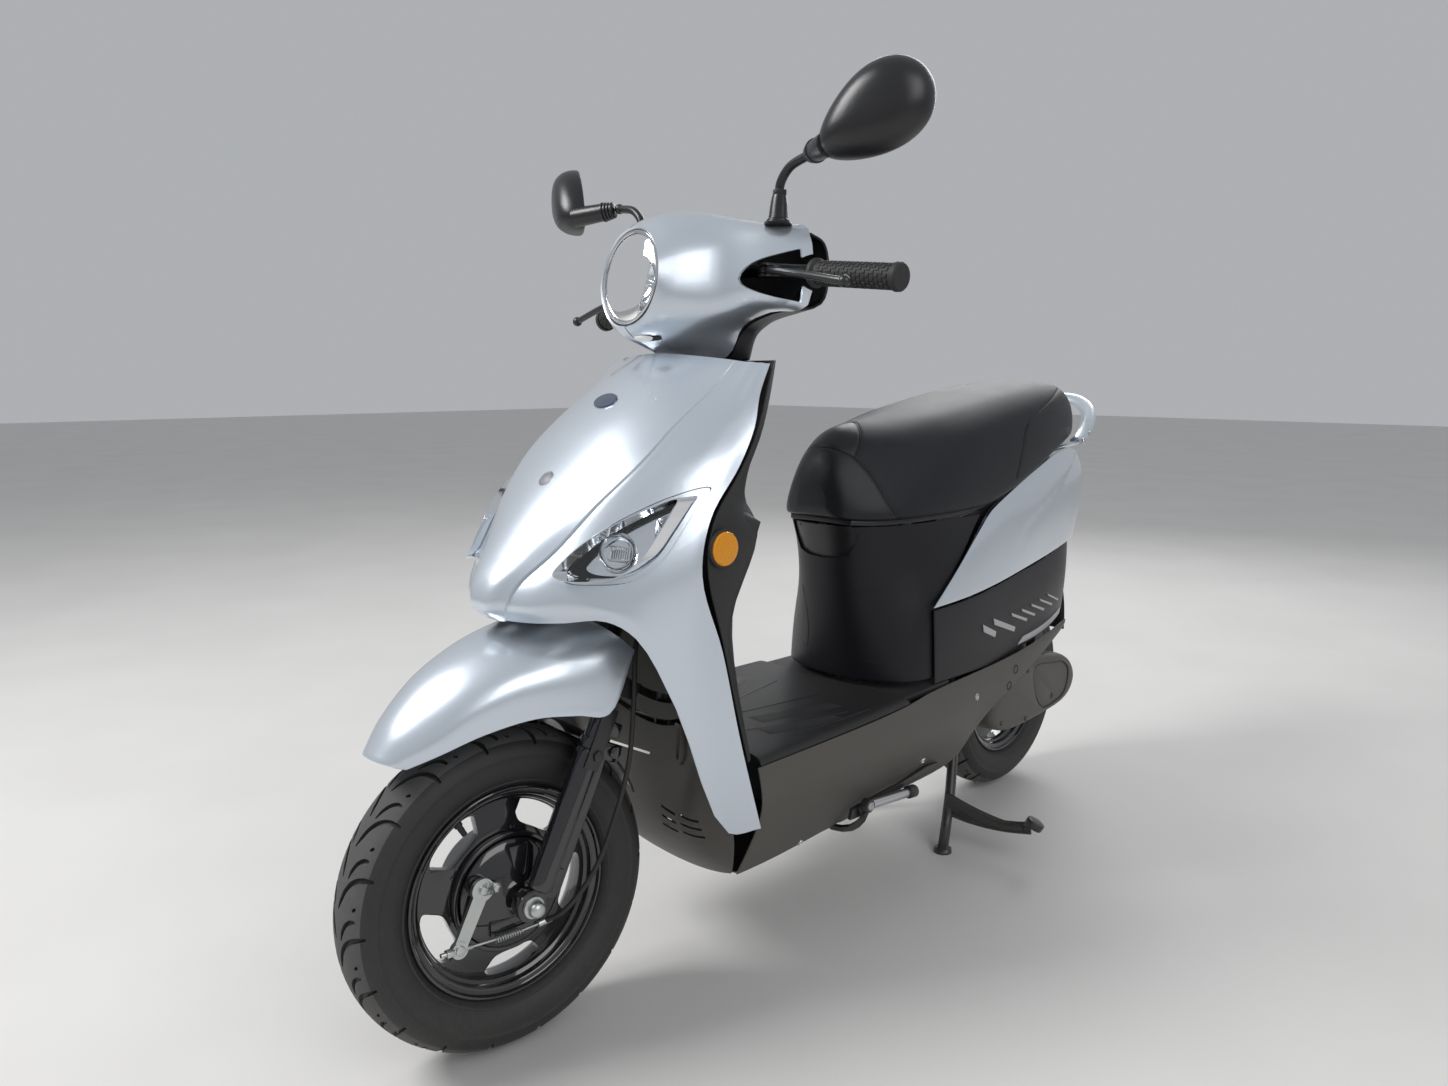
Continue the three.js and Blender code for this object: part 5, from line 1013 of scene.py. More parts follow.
def rim(centre):
    half = RIM_LOOP + [(r, -x) for r, x in RIM_LOOP[-2::-1]]
    loop = half + [(r, -x) for r, x in RIM_OUTER[::-1]] + RIM_OUTER[1:] + half[:1]
    barrel = lathe(loop, centre, X_AXIS, 120, 25)
    disc = turned(DISC_LOOP, centre, X_AXIS, 96)
    for i in range(SPOKES):
        loop = round_loop([wheel_point(centre, -0.03, radius, FIRST_OPENING + turn + i * 360 / SPOKES)
                           for radius, turn in OPENING], 44)
        fuse(disc, prism(loop, X_AXIS, 0.08), operation="DIFFERENCE")
    soften(disc, 0.0016, 42, 3)
    drum = soften(turned(DRUM_LOOP, centre, X_AXIS, 96), 0.0006, 40)
    nose = rod(centre - X_AXIS * 0.0365, centre, 0.0200)
    studs = []
    for i in range(SPOKES):
        root, top = (wheel_point(centre, x, STUD_RING, FIRST_STUD + i * 360 / SPOKES)
                     for x in (0.016, 0.0212))
        studs.append(rod(root, top, 0.0032, 20))
    return gather(barrel, disc, drum, nose, *studs)


def valve(centre):
    root = wheel_point(centre, 0.008, 0.1195, 119.3)
    top = wheel_point(centre, 0.012, 0.0985, 119.8)
    return gather(rod(root, root.lerp(top, 0.35), 0.0058, 20), rod(root, root.lerp(top, 0.72), 0.0042, 20),
                  rod(root.lerp(top, 0.66), top, 0.0038, 12, 0.0004))


for name, centre in (("front", FRONT_AXLE), ("rear", REAR_AXLE)):
    front = name == "front"
    dress(rim(centre), name + "_rim_cast", name + "_wheel", GLOSS, name + "_rim", steered=front)
    dress(valve(centre), name + "_valve", name + "_wheel", RUBBER, steered=front)

# %% [markdown]
# The front brake is a drum brake. Its domed cover plate is enamelled, and its zinc arm
# is pulled back by the cable, through a threaded end with a nut and a short spring.

# %% Front brake
PANEL_X = 30.8
PANEL_LOOP = [
    (6.6, PANEL_X), (70.5, PANEL_X), (71.8, PANEL_X + 1.5), (71.6, PANEL_X + 4.2),
    (69.5, PANEL_X + 6.2), (64, PANEL_X + 8.5), (56, PANEL_X + 11.2),
    (46, PANEL_X + 14.2), (34, PANEL_X + 17.2), (25, PANEL_X + 18.8),
    (20.5, PANEL_X + 20.5), (18.5, PANEL_X + 22), (6.6, PANEL_X + 22),
    (6.6, PANEL_X),
]
ARM_THICK = 0.0055
CAM = (-51, 28)
ARM_END = (-87, -38)


def in_wheel(x, y, z):
    """A place beside the front axle, from millimetres."""
    return FRONT_AXLE + Vector((x, y, z)) / 1000


def strap(start, end, wide_start, wide_end, thick):
    """A flat bar square to the axle, with round ends."""
    ahead = (end - start).normalized()
    side = ahead.cross(X_AXIS).normalized()
    outline = [start + side * wide_start, end + side * wide_end, end - side * wide_end,
               start - side * wide_start]
    bar = prism(outline, X_AXIS, thick)
    return fuse(bar, rod(start, start + X_AXIS * thick, wide_start, 40, edge=0),
                rod(end, end + X_AXIS * thick, wide_end, 40, edge=0))


def hexagon(centre, axis, radius, height, edge=0.0005):
    return rod(centre, centre + axis.normalized() * height, radius, 6, edge)


brake_panel = lathe(PANEL_LOOP, FRONT_AXLE, X_AXIS, 96)
cam_boss = rod(in_wheel(34, *CAM), in_wheel(52.8, *CAM), 0.0145)
rib = prism([in_wheel(33, 2, 14), in_wheel(33, -7, 68), in_wheel(33, 21, 66), in_wheel(33, 12, 14)],
            X_AXIS, 0.016)
stop_arm = strap(in_wheel(38, 14, -44), in_wheel(38, -28, -42), 0.009, 0.007, 0.013)
stop_post = hose([in_wheel(38, 20, -40), in_wheel(48, 27, -42), in_wheel(59, 29, -42)], 0.0065)
lower_box = block(in_wheel(42, -14, -34), (0.016, 0.052, 0.020), 0.003)
dress(gather(brake_panel, soften(cam_boss), soften(rib, 0.002, 40), soften(stop_arm, 0.0012),
             stop_post, lower_box), "brake_cover_plate", "fork_lower", GLOSS, "brake_panel", steered=True)

arm = strap(in_wheel(53.2, *CAM), in_wheel(53.2, *ARM_END), 0.0098, 0.0086, ARM_THICK)
fuse(arm, rod(in_wheel(53.2, *CAM), in_wheel(58.7, *CAM), 0.0148, 40, 0),
     strap(in_wheel(53.2, -46, 28), in_wheel(53.2, -32, 25), 0.0085, 0.0058, ARM_THICK),
     rod(in_wheel(52.2, *ARM_END), in_wheel(60.2, *ARM_END), 0.0108, 40, 0))
soften(arm, 0.0009, 40)
cam_pin = rod(in_wheel(40, *CAM), in_wheel(62.5, *CAM), 0.0052)
arm_bits = [cam_pin, hexagon(in_wheel(56.5, -32, 25), X_AXIS, 0.0052, 0.005),
            rod(in_wheel(50, *ARM_END), in_wheel(63, *ARM_END), 0.0062)]
for bit in arm_bits:
    soften(bit, 0.0005)
dress(gather(arm, *arm_bits), "brake_arm_plate", "cam_arm", ZINC, "brake_arm", steered=True)

# The threaded end goes through the arm's pin, with its nut in front and a spring behind.
pull_line = [in_wheel(59, 28, -42), in_wheel(59, -4, -43), in_wheel(59, -42, -41.5),
             in_wheel(58, *ARM_END), in_wheel(58, -112, -36.5)]
wing_nut = rod(in_wheel(58, -95, -37.6), in_wheel(58, -105, -37), 0.0062, 6)
thread_end = rod(in_wheel(58, -70, -39.4), pull_line[-1], 0.0030)
ferrule = rod(in_wheel(59.2, 42, -40.8), in_wheel(59, 22, -42.4), 0.0046)
inner_wire = hose(pull_line, 0.0016)
COIL_TURNS, COIL_STEPS, COIL_RADIUS, COIL_LONG = 11, 8, 4.2, 38
coil_line = []
for i in range(COIL_STEPS * COIL_TURNS + 1):
    angle = 2 * math.pi * i / COIL_STEPS
    back = COIL_LONG * i / (COIL_STEPS * COIL_TURNS)
    coil_line.append(in_wheel(59 + COIL_RADIUS * math.cos(angle), -2 - back,
                              -42.5 + COIL_RADIUS * math.sin(angle)))
coil = hose(coil_line, 0.0008, resolution=3, sides=2)
dress(gather(ferrule, inner_wire, thread_end, wing_nut, coil), "brake_pull_rod", "fork_lower", ZINC,
      steered=True)

# %% Front axle and its cap nuts
CAP_NUT = [(0, 19.5), (3, 19.3), (6.2, 18.4), (8.8, 16.6), (10.2, 14.2),
           (10.6, 11.6), (10.6, 6), (11.2, 5.2), (14, 4.4), (14.3, 3),
           (14.3, 0.4), (0, 0.4)]
LUG_X = 89
axle_bits = [rod(FRONT_AXLE - X_AXIS * 0.095, FRONT_AXLE + X_AXIS * 0.095, 0.006),
             rod(FRONT_AXLE - X_AXIS * 0.0706, FRONT_AXLE + X_AXIS * 0.030, 0.0082)]
for side in (-1, 1):
    axle_bits.append(lathe([(r, LUG_X + x) for r, x in CAP_NUT], FRONT_AXLE, X_AXIS * side))
dress(gather(*axle_bits), "axle_and_nuts", "fork_lower", ZINC, "front_axle", steered=True)
# %% [markdown]
# ## Fork and handlebar
# The telescopic fork has gloss black lower legs that slide on polished tubes. Each leg
# has a flat web down its rear side and a lug for the axle.

# %% Fork legs
LEG_X = 0.080
LEG_AHEAD = 0.015
LEG_PROFILE = [
    (0, 0), (11, 0.4), (15, 3), (16.8, 8.5), (17, 16),
    (17, 178), (16.6, 184.5), (15, 188), (14.2, 189), (14.2, 190),
    (16, 190.4), (16.6, 192.5), (16.6, 201), (16, 203), (14.2, 203.5),
    (13.9, 185), (0, 185),
]


def leg(side):
    x = side * LEG_X
    tube = lathe(LEG_PROFILE, on_fork(x, 0.2470, LEG_AHEAD), STEER_UP, 56, 32)
    lug_at = FRONT_AXLE + X_AXIS * x
    lug = rod(lug_at - X_AXIS * 0.009, lug_at + X_AXIS * 0.009, 0.0208, 56, 0.0014)
    web_middle = on_fork(x, 0.352, LEG_AHEAD - 0.0215)
    lean = Matrix.Rotation(-RAKE, 4, "X")
    web = block(web_middle, (0.0085, 0.018, 0.205), 0.0016, lean)
    skirt = block(on_fork(x, 0.262, LEG_AHEAD - 0.006), (0.0165, 0.038, 0.040), 0.004, lean)
    ear = block(on_fork(x + side * 0.004, 0.440, LEG_AHEAD - 0.030), (0.006, 0.034, 0.026), 0.0022, lean)
    knob = rod(on_fork(x + side * 0.004, 0.4405, -0.0200),
               on_fork(x + side * 0.0125, 0.4405, -0.0200), 0.0082)
    clamp = block(on_fork(x + side * 0.001, 0.468, LEG_AHEAD - 0.012), (0.040, 0.026, 0.020), 0.0025, lean)
    return gather(tube, lug, web, skirt, ear, soften(knob), clamp)


for side, name in ((1, "left"), (-1, "right")):
    dress(leg(side), "fork_leg_" + name, "fork_lower", GLOSS, "fork_slider_" + name, steered=True)
    tube = rod(on_fork(side * LEG_X, 0.352, LEG_AHEAD), on_fork(side * LEG_X, 0.540, LEG_AHEAD), 0.0135, 48)
    dress(tube, "fork_tube_" + name, "steering", GLOSS, "fork_stanchion_" + name, steered=True)
    bracket = block(on_fork(side * 0.0995, 0.452, LEG_AHEAD + 0.001), (0.004, 0.022, 0.082), 0.0012,
                    Matrix.Rotation(-RAKE, 4, "X"))
    bolt = hexagon(on_fork(side * 0.100, 0.430, LEG_AHEAD - 0.002), X_AXIS * side, 0.0078, 0.0055)
    dress(gather(bracket, bolt), "fender_bracket_" + name, "fork_lower", STEEL_BLACK, steered=True)

tie_tail = block(on_fork(0.0985, 0.4535, -0.034), (0.0012, 0.070, 0.0032), 0.0004,
                 Matrix.Rotation(-RAKE, 4, "X"))
dress(tie_tail, "cable_tie_tail", "fork_lower", HINGE_WHITE, steered=True)

# %% [markdown]
# The black inner guard behind the tyre hangs from the fork under the fender.

# %% Inner mudguard
GUARD_RADIUS = 0.2245
GUARD_TOP, GUARD_SWEEP = 66, 44
GUARD_HALF, GUARD_TAPER, GUARD_CROWN = 0.043, 0.012, 0.010
guard_rows = []
for share in (i / 12 for i in range(13)):
    half = GUARD_HALF - GUARD_TAPER * share ** 2
    across = [j / 4 - 1 for j in range(9)]
    guard_rows.append([wheel_point(FRONT_AXLE, half * u, GUARD_RADIUS - GUARD_CROWN * u ** 2,
                                   GUARD_TOP - GUARD_SWEEP * share) for u in across])
guard = soften(walled(guard_rows, 0.0025, False), 0.0006, 50)
dress(guard, "inner_guard", "fork_lower", SATIN, steered=True)

# %% [markdown]
# The grips are black rubber, with raised blocks in rows round them and a plain collar at
# each end. The levers are painted steel blades with a ball at the tip.

# %% Grips
GRIP_FROM = 0.192
GRIP_RADIUS = 15.8
GRIP_CORE = 11.6
GRIP_COLLARS = 26
GRIP_ROWS = 17
GRIP_BLOCKS = 12


def bar_turn():
    return (BAR_END - BAR_ELBOW).to_track_quat("Z", "X").to_matrix().to_4x4()


def grip():
    start = along_bar(GRIP_FROM)
    aim = (BAR_END - start).normalized()
    end = (BAR_END - start).length * 1000 + 4
    profile = [(GRIP_CORE, 0), (18.5, 0), (19.8, 1.5), (19.8, 6.5), (18.5, 8), (GRIP_RADIUS, 9.5),
               (GRIP_RADIUS, end - 10), (18.2, end - 9.5), (18.8, end - 7.5), (18.4, end - 2.5),
               (16.5, end - 0.2), (0, end), (0, end - 3), (GRIP_CORE, end - 3), (GRIP_CORE, 0)]
    body = lathe(profile, start, aim, 72, 32)
    pitch = (end - GRIP_COLLARS) / GRIP_ROWS
    first = block(Vector(), (0.0022, 0.0052, pitch * 0.72 / 1000), 0.0005)
    bits = []
    for row in range(GRIP_ROWS):
        for k in range(GRIP_BLOCKS):
            angle = 2 * math.pi * (k + 0.5 * (row % 2)) / GRIP_BLOCKS
            turn = bar_turn() @ Matrix.Rotation(angle, 4, "Z")
            away = (turn @ Vector((1, 0, 0, 0))).to_3d()
            step = aim * (13.5 + pitch * (row + 0.5)) + away * GRIP_RADIUS
            bits.append(copied(first, Matrix.Translation(start + step / 1000) @ turn))
    bpy.data.objects.remove(first)
    return gather(body, *bits)


left_grip = grip()
right_grip = copied(left_grip, FLIP)
dress(left_grip, "grip_rubber_left", "steering", RUBBER, "grip_left", steered=True)
dress(right_grip, "grip_rubber_right", "throttle", RUBBER, "throttle_grip", steered=True)

# %% Levers
LEVER_PIN = along_bar(0.133) + mm(0, -30, 0)
LEVER_STEPS = [(133, 30, 0), (150, 40, 0), (175, 47, 1), (230, 62, 4), (290, 70, 9), (304, 71, 10)]
LEVER_ROUTE = [along_bar(x / 1000) - mm(0, ahead, down) for x, ahead, down in LEVER_STEPS]


def lever_blade():
    count = 30
    line = through(LEVER_ROUTE, count)
    rings = []
    for i, point in enumerate(line):
        ahead = (line[min(i + 1, count)] - line[max(i - 1, 0)]).normalized()
        side = ahead.cross(Z_AXIS).normalized()
        wide = 0.0036 + 0.0012 * math.sin(math.pi * i / count)
        rings.append([point + side * wide * math.cos(a) + Z_AXIS * 0.0052 * math.sin(a)
                      for a in (2 * math.pi * k / 16 for k in range(16))])
    blade = soften(lofted(rings), 0.0, 40)
    eye = rod(LEVER_PIN - Z_AXIS * 0.004, LEVER_PIN + Z_AXIS * 0.004, 0.009, 40)
    return gather(blade, eye, ball(LEVER_ROUTE[-1], 0.0078))


left_lever = lever_blade()
right_lever = copied(left_lever, FLIP)
dress(left_lever, "lever_blade_left", "lever_left", STEEL_BLACK, "brake_lever_left", steered=True)
dress(right_lever, "lever_blade_right", "lever_right", STEEL_BLACK, "brake_lever_right", steered=True)

# %% [markdown]
# The headlight has a clear domed lens in a bright ring with a thin black seal, and a
# bowl with stepped, faceted walls behind it.

# %% Headlight
LAMP_CENTRE = mm(0, -373.5, 1012)
LAMP_AIM = (Vector((0, -0.384, 0.946)) - Vector((0, -0.364, 1.078))).cross(X_AXIS).normalized()
if LAMP_AIM.y > 0:
    LAMP_AIM.negate()
LENS_LOOP = [(0, 9), (12, 8.7), (25, 7.8), (38, 6.2), (49, 4),
             (57, 1.4), (60, -0.6), (60, -3), (56, -1.8), (48, 1.2),
             (38, 3.4), (25, 5), (12, 5.9), (0, 6.2)]
lens = lathe(LENS_LOOP, LAMP_CENTRE, LAMP_AIM, 96)
dress(lens, "headlight_glass", "steering", CLEAR, "headlight_lens", steered=True)
FACETS = 20
BOWL_LOOP = [(58.5, -3.6), (56, -8), (53.5, -8.6), (50, -17), (47, -17.8),
             (41.5, -27), (38, -27.8), (30, -36), (20, -42.5), (11, -46),
             (0, -46.2), (0, -48.2), (20, -45), (32, -38), (43, -29),
             (53, -17), (60, -4)]
bowl = soften(turned(BOWL_LOOP + BOWL_LOOP[:1], LAMP_CENTRE, LAMP_AIM, FACETS), 0.0004, 12)
dress(bowl, "headlight_bowl", "steering", CHROME, "headlight_reflector", steered=True)
BULB_LOOP = [(0, -12), (4.5, -13), (7, -18), (8.5, -26), (7.5, -36), (9, -46), (0, -46)]
RING_LOOP = [(60.5, -3), (64, -1.2), (65, 1), (63.6, 2.6), (61.4, 2.2), (60.4, 0.6), (60.5, -3)]
SEAL_LOOP = [(64, -3.5), (66.8, -2.2), (67.2, 0.2), (65.2, 1.2), (64.2, -0.2), (64, -3.5)]
for title, loop, steps, finish in (("bulb", BULB_LOOP, 40, CLEAR), ("ring", RING_LOOP, 96, STEEL),
                                   ("seal", SEAL_LOOP, 96, RUBBER)):
    shape = lathe(loop, LAMP_CENTRE, LAMP_AIM, steps)
    dress(shape, "headlight_" + title, "steering", finish, steered=True)

# %% [markdown]
# Each mirror stands on a rubber boot. A bent stem carries a ball joint, and the head is
# a drop-shaped shell with the glass let into its rear face.

# %% Mirrors
MIRROR_AT = mm(337, -243, 1176)
MIRROR_YAW = math.radians(27)
MIRROR_ROLL = math.radians(28)
MIRROR_LONG, MIRROR_TALL = 0.144, 0.114
MIRROR_SOCKET = mm(216, -236, 1151)
INTO_GLASS = Vector((-math.sin(MIRROR_YAW), math.cos(MIRROR_YAW), 0))
ALONG_GLASS = Matrix.Rotation(-MIRROR_ROLL, 3, INTO_GLASS) @ Vector(
    (math.cos(MIRROR_YAW), math.sin(MIRROR_YAW), 0))
UP_GLASS = ALONG_GLASS.cross(INTO_GLASS).normalized()
SHELL_RINGS = [(0.90, 8.6), (0.93, 9.2), (0.965, 9.2), (0.99, 7.6), (1.0, 4.0), (1.0, 0.0), (0.985, -6.0),
               (0.955, -12.5), (0.90, -19.0), (0.82, -25.0), (0.72, -30.0), (0.58, -34.0), (0.40, -36.6),
               (0.20, -37.8), (0.02, -38.0)]


def mirror_ring(share, depth, count=64):
    ring = []
    for i in range(count):
        angle = 2 * math.pi * i / count
        narrow = 0.5 - 0.5 * math.cos(angle)
        u = math.cos(angle) * (1 + 0.12 * narrow)
        v = math.sin(angle) * (1 - 0.36 * narrow ** 1.6)
        ring.append(MIRROR_AT + ALONG_GLASS * u * share * MIRROR_LONG / 2
                    + UP_GLASS * v * share * MIRROR_TALL / 2 + INTO_GLASS * depth / 1000)
    return ring


def mirror_head():
    shell = soften(lofted([mirror_ring(*ring) for ring in SHELL_RINGS]), 0.0, 40)
    neck_to = MIRROR_AT - ALONG_GLASS * MIRROR_LONG * 0.46 - INTO_GLASS * 0.0065
    aim = (neck_to - MIRROR_SOCKET).normalized()
    end = (neck_to - MIRROR_SOCKET).length * 1000
    ribs = [(0, 8.4), (9, 8.4), (10.8, 9.2)]
    for i in range(4):
        outer, inner, start = 12.8 + i * 0.9, 11.2 + i * 0.9, 10.5 + i * 5.2
        ribs += [(outer, start), (outer, start + 3), (inner, start + 3.6), (inner, start + 4.6)]
    ribs += [(16, end), (0, end)]
    neck = soften(turned(ribs, MIRROR_SOCKET, aim, 48), 0.0003, 30)
    return gather(shell, neck)


def mirror_glass():
    return soften(lofted([mirror_ring(0.90, depth) for depth in (6.0, 9.0)]), 0.0, 40)


STEM_FOOT = mm(157, -240, 1071.6)


BOOT = [(0, 0), (15.6, 0), (16, 1.5), (15.5, 5), (13.5, 6.5), (12.8, 12), (11.8, 24), (10.4, 34),
        (9.6, 37.5), (8, 38.2), (0, 38.2)]
WASHER = [(0, -1), (18.5, -1), (19, 0.4), (18.5, 1.6), (0, 1.6)]


def mirror_stem():
    top = STEM_FOOT + mm(0, 4, 38)
    aim = (top - STEM_FOOT).normalized()
    boot = lathe(BOOT, STEM_FOOT, aim)
    washer = lathe(WASHER, STEM_FOOT, aim)
    nut = hexagon(top - aim * 0.002, aim, 0.0098, 0.009)
    bends = [top, top + mm(2, 0, 14), top + mm(20, 0, 32), MIRROR_SOCKET]
    stem = hose(through(bends, 24), 0.0062, resolution=3, sides=6)
    return gather(boot, washer, nut, stem, ball(MIRROR_SOCKET, 0.0079, 32, 20))


for name in SIDES:
    for shape, title, body, finish, stands_for in (
            (mirror_head, "mirror_shell_", "mirror_" + name, SATIN, ["mirror_head_" + name]),
            (mirror_glass, "mirror_glass_", "mirror_" + name, MIRROR, []),
            (mirror_stem, "mirror_rod_", "steering", SATIN, ["mirror_stem_" + name])):
        dress(sided(shape(), name), title + name, body, finish, *stands_for, steered=True)

# %% [markdown]
# ## Seat
# The seat is a foam cushion under black grained vinyl. Its top is crowned, its nose
# leans back on every side, and its rim bulges softly over the pan. The cushion is a
# net of rings from nose to tail, and each ring mixes a flat-topped and a leaning shape.

# %% Cushion
SEAT_STATIONS = [
    (4, 30, 662, 700, 0.4), (8, 46, 650, 722, 0.6), (14, 62, 645, 741, 0.75), (28, 78, 642, 764, 0.9),
    (60, 103, 640, 788, 1.0), (100, 121, 640, 797, 0.8), (160, 132, 640, 805, 0.45),
    (250, 139, 640, 819, 0.12), (360, 139, 645, 836, 0.0), (470, 136, 673, 853, 0.0),
    (570, 127, 706, 865, 0.0), (650, 115, 732, 870, 0.05), (720, 100, 748, 866, 0.15),
    (770, 80, 758, 853, 0.3), (798, 55, 768, 832, 0.4), (806, 30, 785, 815, 0.4),
]
FLAT_TOP = [(0.45, 0.0), (0.90, 0.002), (0.965, 0.035), (0.992, 0.16), (0.992, 0.46), (0.90, 0.76),
            (0.67, 0.93), (0.35, 0.985), (0.0, 1.0)]
LEANING = [(0.45, 0.0), (0.90, 0.002), (0.955, 0.03), (0.965, 0.10), (0.90, 0.25), (0.73, 0.52),
           (0.53, 0.77), (0.28, 0.935), (0.0, 1.0)]
SEAT_ROUND = 56
SEAT_LONG = 60


def seat_ring(y, half, low, high, lean):
    right = [Vector((half * (a[0] + (b[0] - a[0]) * lean), y,
                     low + (high - low) * (a[1] + (b[1] - a[1]) * lean))) / 1000
             for a, b in zip(FLAT_TOP, LEANING)]
    left = [Vector((-p.x, p.y, p.z)) for p in right[-2::-1]]
    middle = Vector((0, y, low)) / 1000
    return [middle] + right + left + [middle]


seat_net = net([seat_ring(*station) for station in SEAT_STATIONS], SEAT_ROUND, SEAT_LONG)
cushion = lofted([ring[:-1] for ring in seat_net])
change(cushion, "SUBSURF", levels=2, render_levels=2)

# %% [markdown]
# The vinyl is sewn from five panels. The nose and the patch above it are a smoother,
# glossier vinyl, and a long side panel wraps the tail. The foam pulls every seam in, so
# each seam is a shallow valley with a cord in it and rows of stitches beside it.

# %% Seams
NOSE_SEAM = [(0, 26, 761), (23, 31, 759), (40, 39.5, 753.5), (53.5, 49, 745), (78, 64, 715),
             (105, 77, 670), (112, 96, 640)]
PATCH_SEAM = [(0, 113, 798), (24.5, 96, 791.5), (41, 81, 779), (51, 65, 762), (53.5, 49, 745)]
SIDE_SEAM = [(136, 443, 690), (136, 458, 740), (131, 481, 782), (126, 519, 800), (119, 566, 815.5),
             (109, 616, 830), (87, 682, 847), (56, 742, 853), (0, 776, 850)]
SEAM_DEEP = 0.0016
SEAM_HALF = 0.0030


def on_surface(obj, point, lift=0.0):
    found, place, normal, _ = obj.closest_point_on_mesh(point)
    return place + normal * lift


def seam_line(obj, points, count):
    """A seam from side to side, laid on the cushion."""
    half = [Vector(p) / 1000 for p in points]
    if half[-1].x == 0:
        half = half[::-1]
    whole = [Vector((-p.x, p.y, p.z)) for p in half[:0:-1]] + half
    return [on_surface(obj, p) for p in through(whole, count)]


def near_seams(obj, lines, deep, half):
    """Press the surface in along some lines."""
    tree = mathutils.kdtree.KDTree(sum(len(line) for line in lines))
    for i, point in enumerate(p for line in lines for p in line):
        tree.insert(point, i)
    tree.balance()
    places = [vertex.co.copy() for vertex in obj.data.vertices]
    normals = [vertex.normal.copy() for vertex in obj.data.vertices]
    for place, normal in zip(places, normals):
        _, _, away = tree.find(place)
        if away < half * 3:
            place -= normal * deep * math.exp(-(away / half) ** 2)
    write_back(obj, places)


def stitches(obj, line, shift, pitch, long, radius):
    """A row of short threads beside a line, on the surface of an object."""
    points, faces, travelled, following = [], [], 0.0, pitch
    for a, b in zip(line, line[1:]):
        travelled += (b - a).length
        if travelled < following:
            continue
        following += pitch
        ahead = (b - a).normalized()
        _, _, up, _ = obj.closest_point_on_mesh(b)
        side = ahead.cross(up).normalized()
        middle = on_surface(obj, b + side * shift, radius * 0.3)
        first = len(points)
        for step in (-1, -0.5, 0.5, 1):
            for k in range(6):
                thick = radius * (0.45 if abs(step) == 1 else 1.0)
                turn = 2 * math.pi * k / 6
                points.append(middle + ahead * step * long / 2 + side * thick * math.cos(turn)
                              + up * thick * math.sin(turn))
        faces += [(first + 6 * j + k, first + 6 * j + (k + 1) % 6, first + 6 * j + 6 + (k + 1) % 6,
                   first + 6 * j + 6 + k) for j in range(3) for k in range(6)]
        faces += [tuple(range(first, first + 6))[::-1], tuple(range(first + 18, first + 24))]
    row = tidy(from_points(points, (), faces), 1e-8)
    return soften(row, 0.0, 60)


seam_lines = [seam_line(cushion, points, 420) for points in (NOSE_SEAM, PATCH_SEAM, SIDE_SEAM)]
near_seams(cushion, seam_lines, SEAM_DEEP, SEAM_HALF)


def in_front_of(table, key, y):
    """Whether y is nearer the nose than a seam, read at a key between its points."""
    for (k1, y1), (k2, y2) in zip(table, table[1:]):
        if min(k1, k2) <= key <= max(k1, k2):
            return y < y1 + (y2 - y1) * (key - k1) / (k2 - k1)
    return False


nose_table = [(z / 1000, y / 1000) for _, y, z in NOSE_SEAM]
patch_table = [(x / 1000, y / 1000) for x, y, _ in PATCH_SEAM]
cushion.data.materials.append(VINYL)
cushion.data.materials.append(VINYL_SMOOTH)
for face in cushion.data.polygons:
    at = face.center
    smooth_vinyl = in_front_of(nose_table, at.z, at.y) or (
        in_front_of(patch_table, abs(at.x), at.y) and at.z > 0.74)
    face.material_index = 1 if smooth_vinyl else 0
only(cushion)
bpy.ops.object.shade_smooth()
cords = gather(*[hose([on_surface(cushion, p, 0.0002) for p in line[::6]], 0.0010, 2, 2)
                 for line in seam_lines])
threads = [stitches(cushion, seam_lines[line], shift, 0.0052, 0.0034, 0.00042)
           for line, shift in ((0, 0.0042), (1, 0.0040), (1, -0.0040), (2, 0.0042), (2, -0.0042))]
dress(cords, "seat_piping", "seat", VINYL_SMOOTH)
dress(gather(*threads), "seat_stitching", "seat", THREAD)
dress(cushion, "seat_vinyl_cover", "seat", VINYL, "seat_cushion")
# %% [markdown]
# ## Details laid on the panels
# Many small things follow a panel's surface: ribs, creases, slots and plates. They are
# found by dropping rays on the panel, so each one sits on the skin that it belongs to.

# %% Laying things on a surface
def drop(obj, start, direction):
    """Where a ray first meets an object, and the direction square to it there."""
    hit, place, normal, _ = obj.ray_cast(start, direction.normalized())
    return (place, normal) if hit else (start, -direction.normalized())


def from_side(y, z, side=1):
    """A start point beside the scooter, from thousandths."""
    return mm(side * 350, y, z)


def laid_line(obj, places, direction, count, lift=0.0):
    found = []
    for start in through(places, count):
        place, normal = drop(obj, start, direction)
        found.append(place + normal * lift)
    return found


def laid_patch(obj, low, high, direction, across, along, lift, wall):
    """A thin plate on the skin between a low and a high line of start points."""
    bottom, top = through(low, along), through(high, along)
    rows = []
    for a, b in zip(bottom, top):
        starts = [a.lerp(b, j / across) for j in range(across + 1)]
        if all(obj.ray_cast(start, direction)[0] for start in starts):
            rows.append([place + normal * lift for place, normal in
                         (drop(obj, start, direction) for start in starts)])
    plate = grid(rows)
    change(plate, "SOLIDIFY", thickness=wall, offset=0, use_even_offset=False)
    return soften(tidy(plate, 1e-7), min(wall * 0.3, 0.0006), 50)


def add_both_sides(make, name, body, finish, steered=False):
    """Make a piece on the left and mirror it to the right."""
    left = make()
    right = copied(left, FLIP)
    dress(left, name + "_left", body, finish, steered=steered)
    dress(right, name + "_right", body, finish, steered=steered)


INWARD = -X_AXIS

# %% [markdown]
# The lacquered side covers are pressed with two creases: a bevel that runs along the
# upper front edge, and a crisp line from the tail light that fades out forwards.

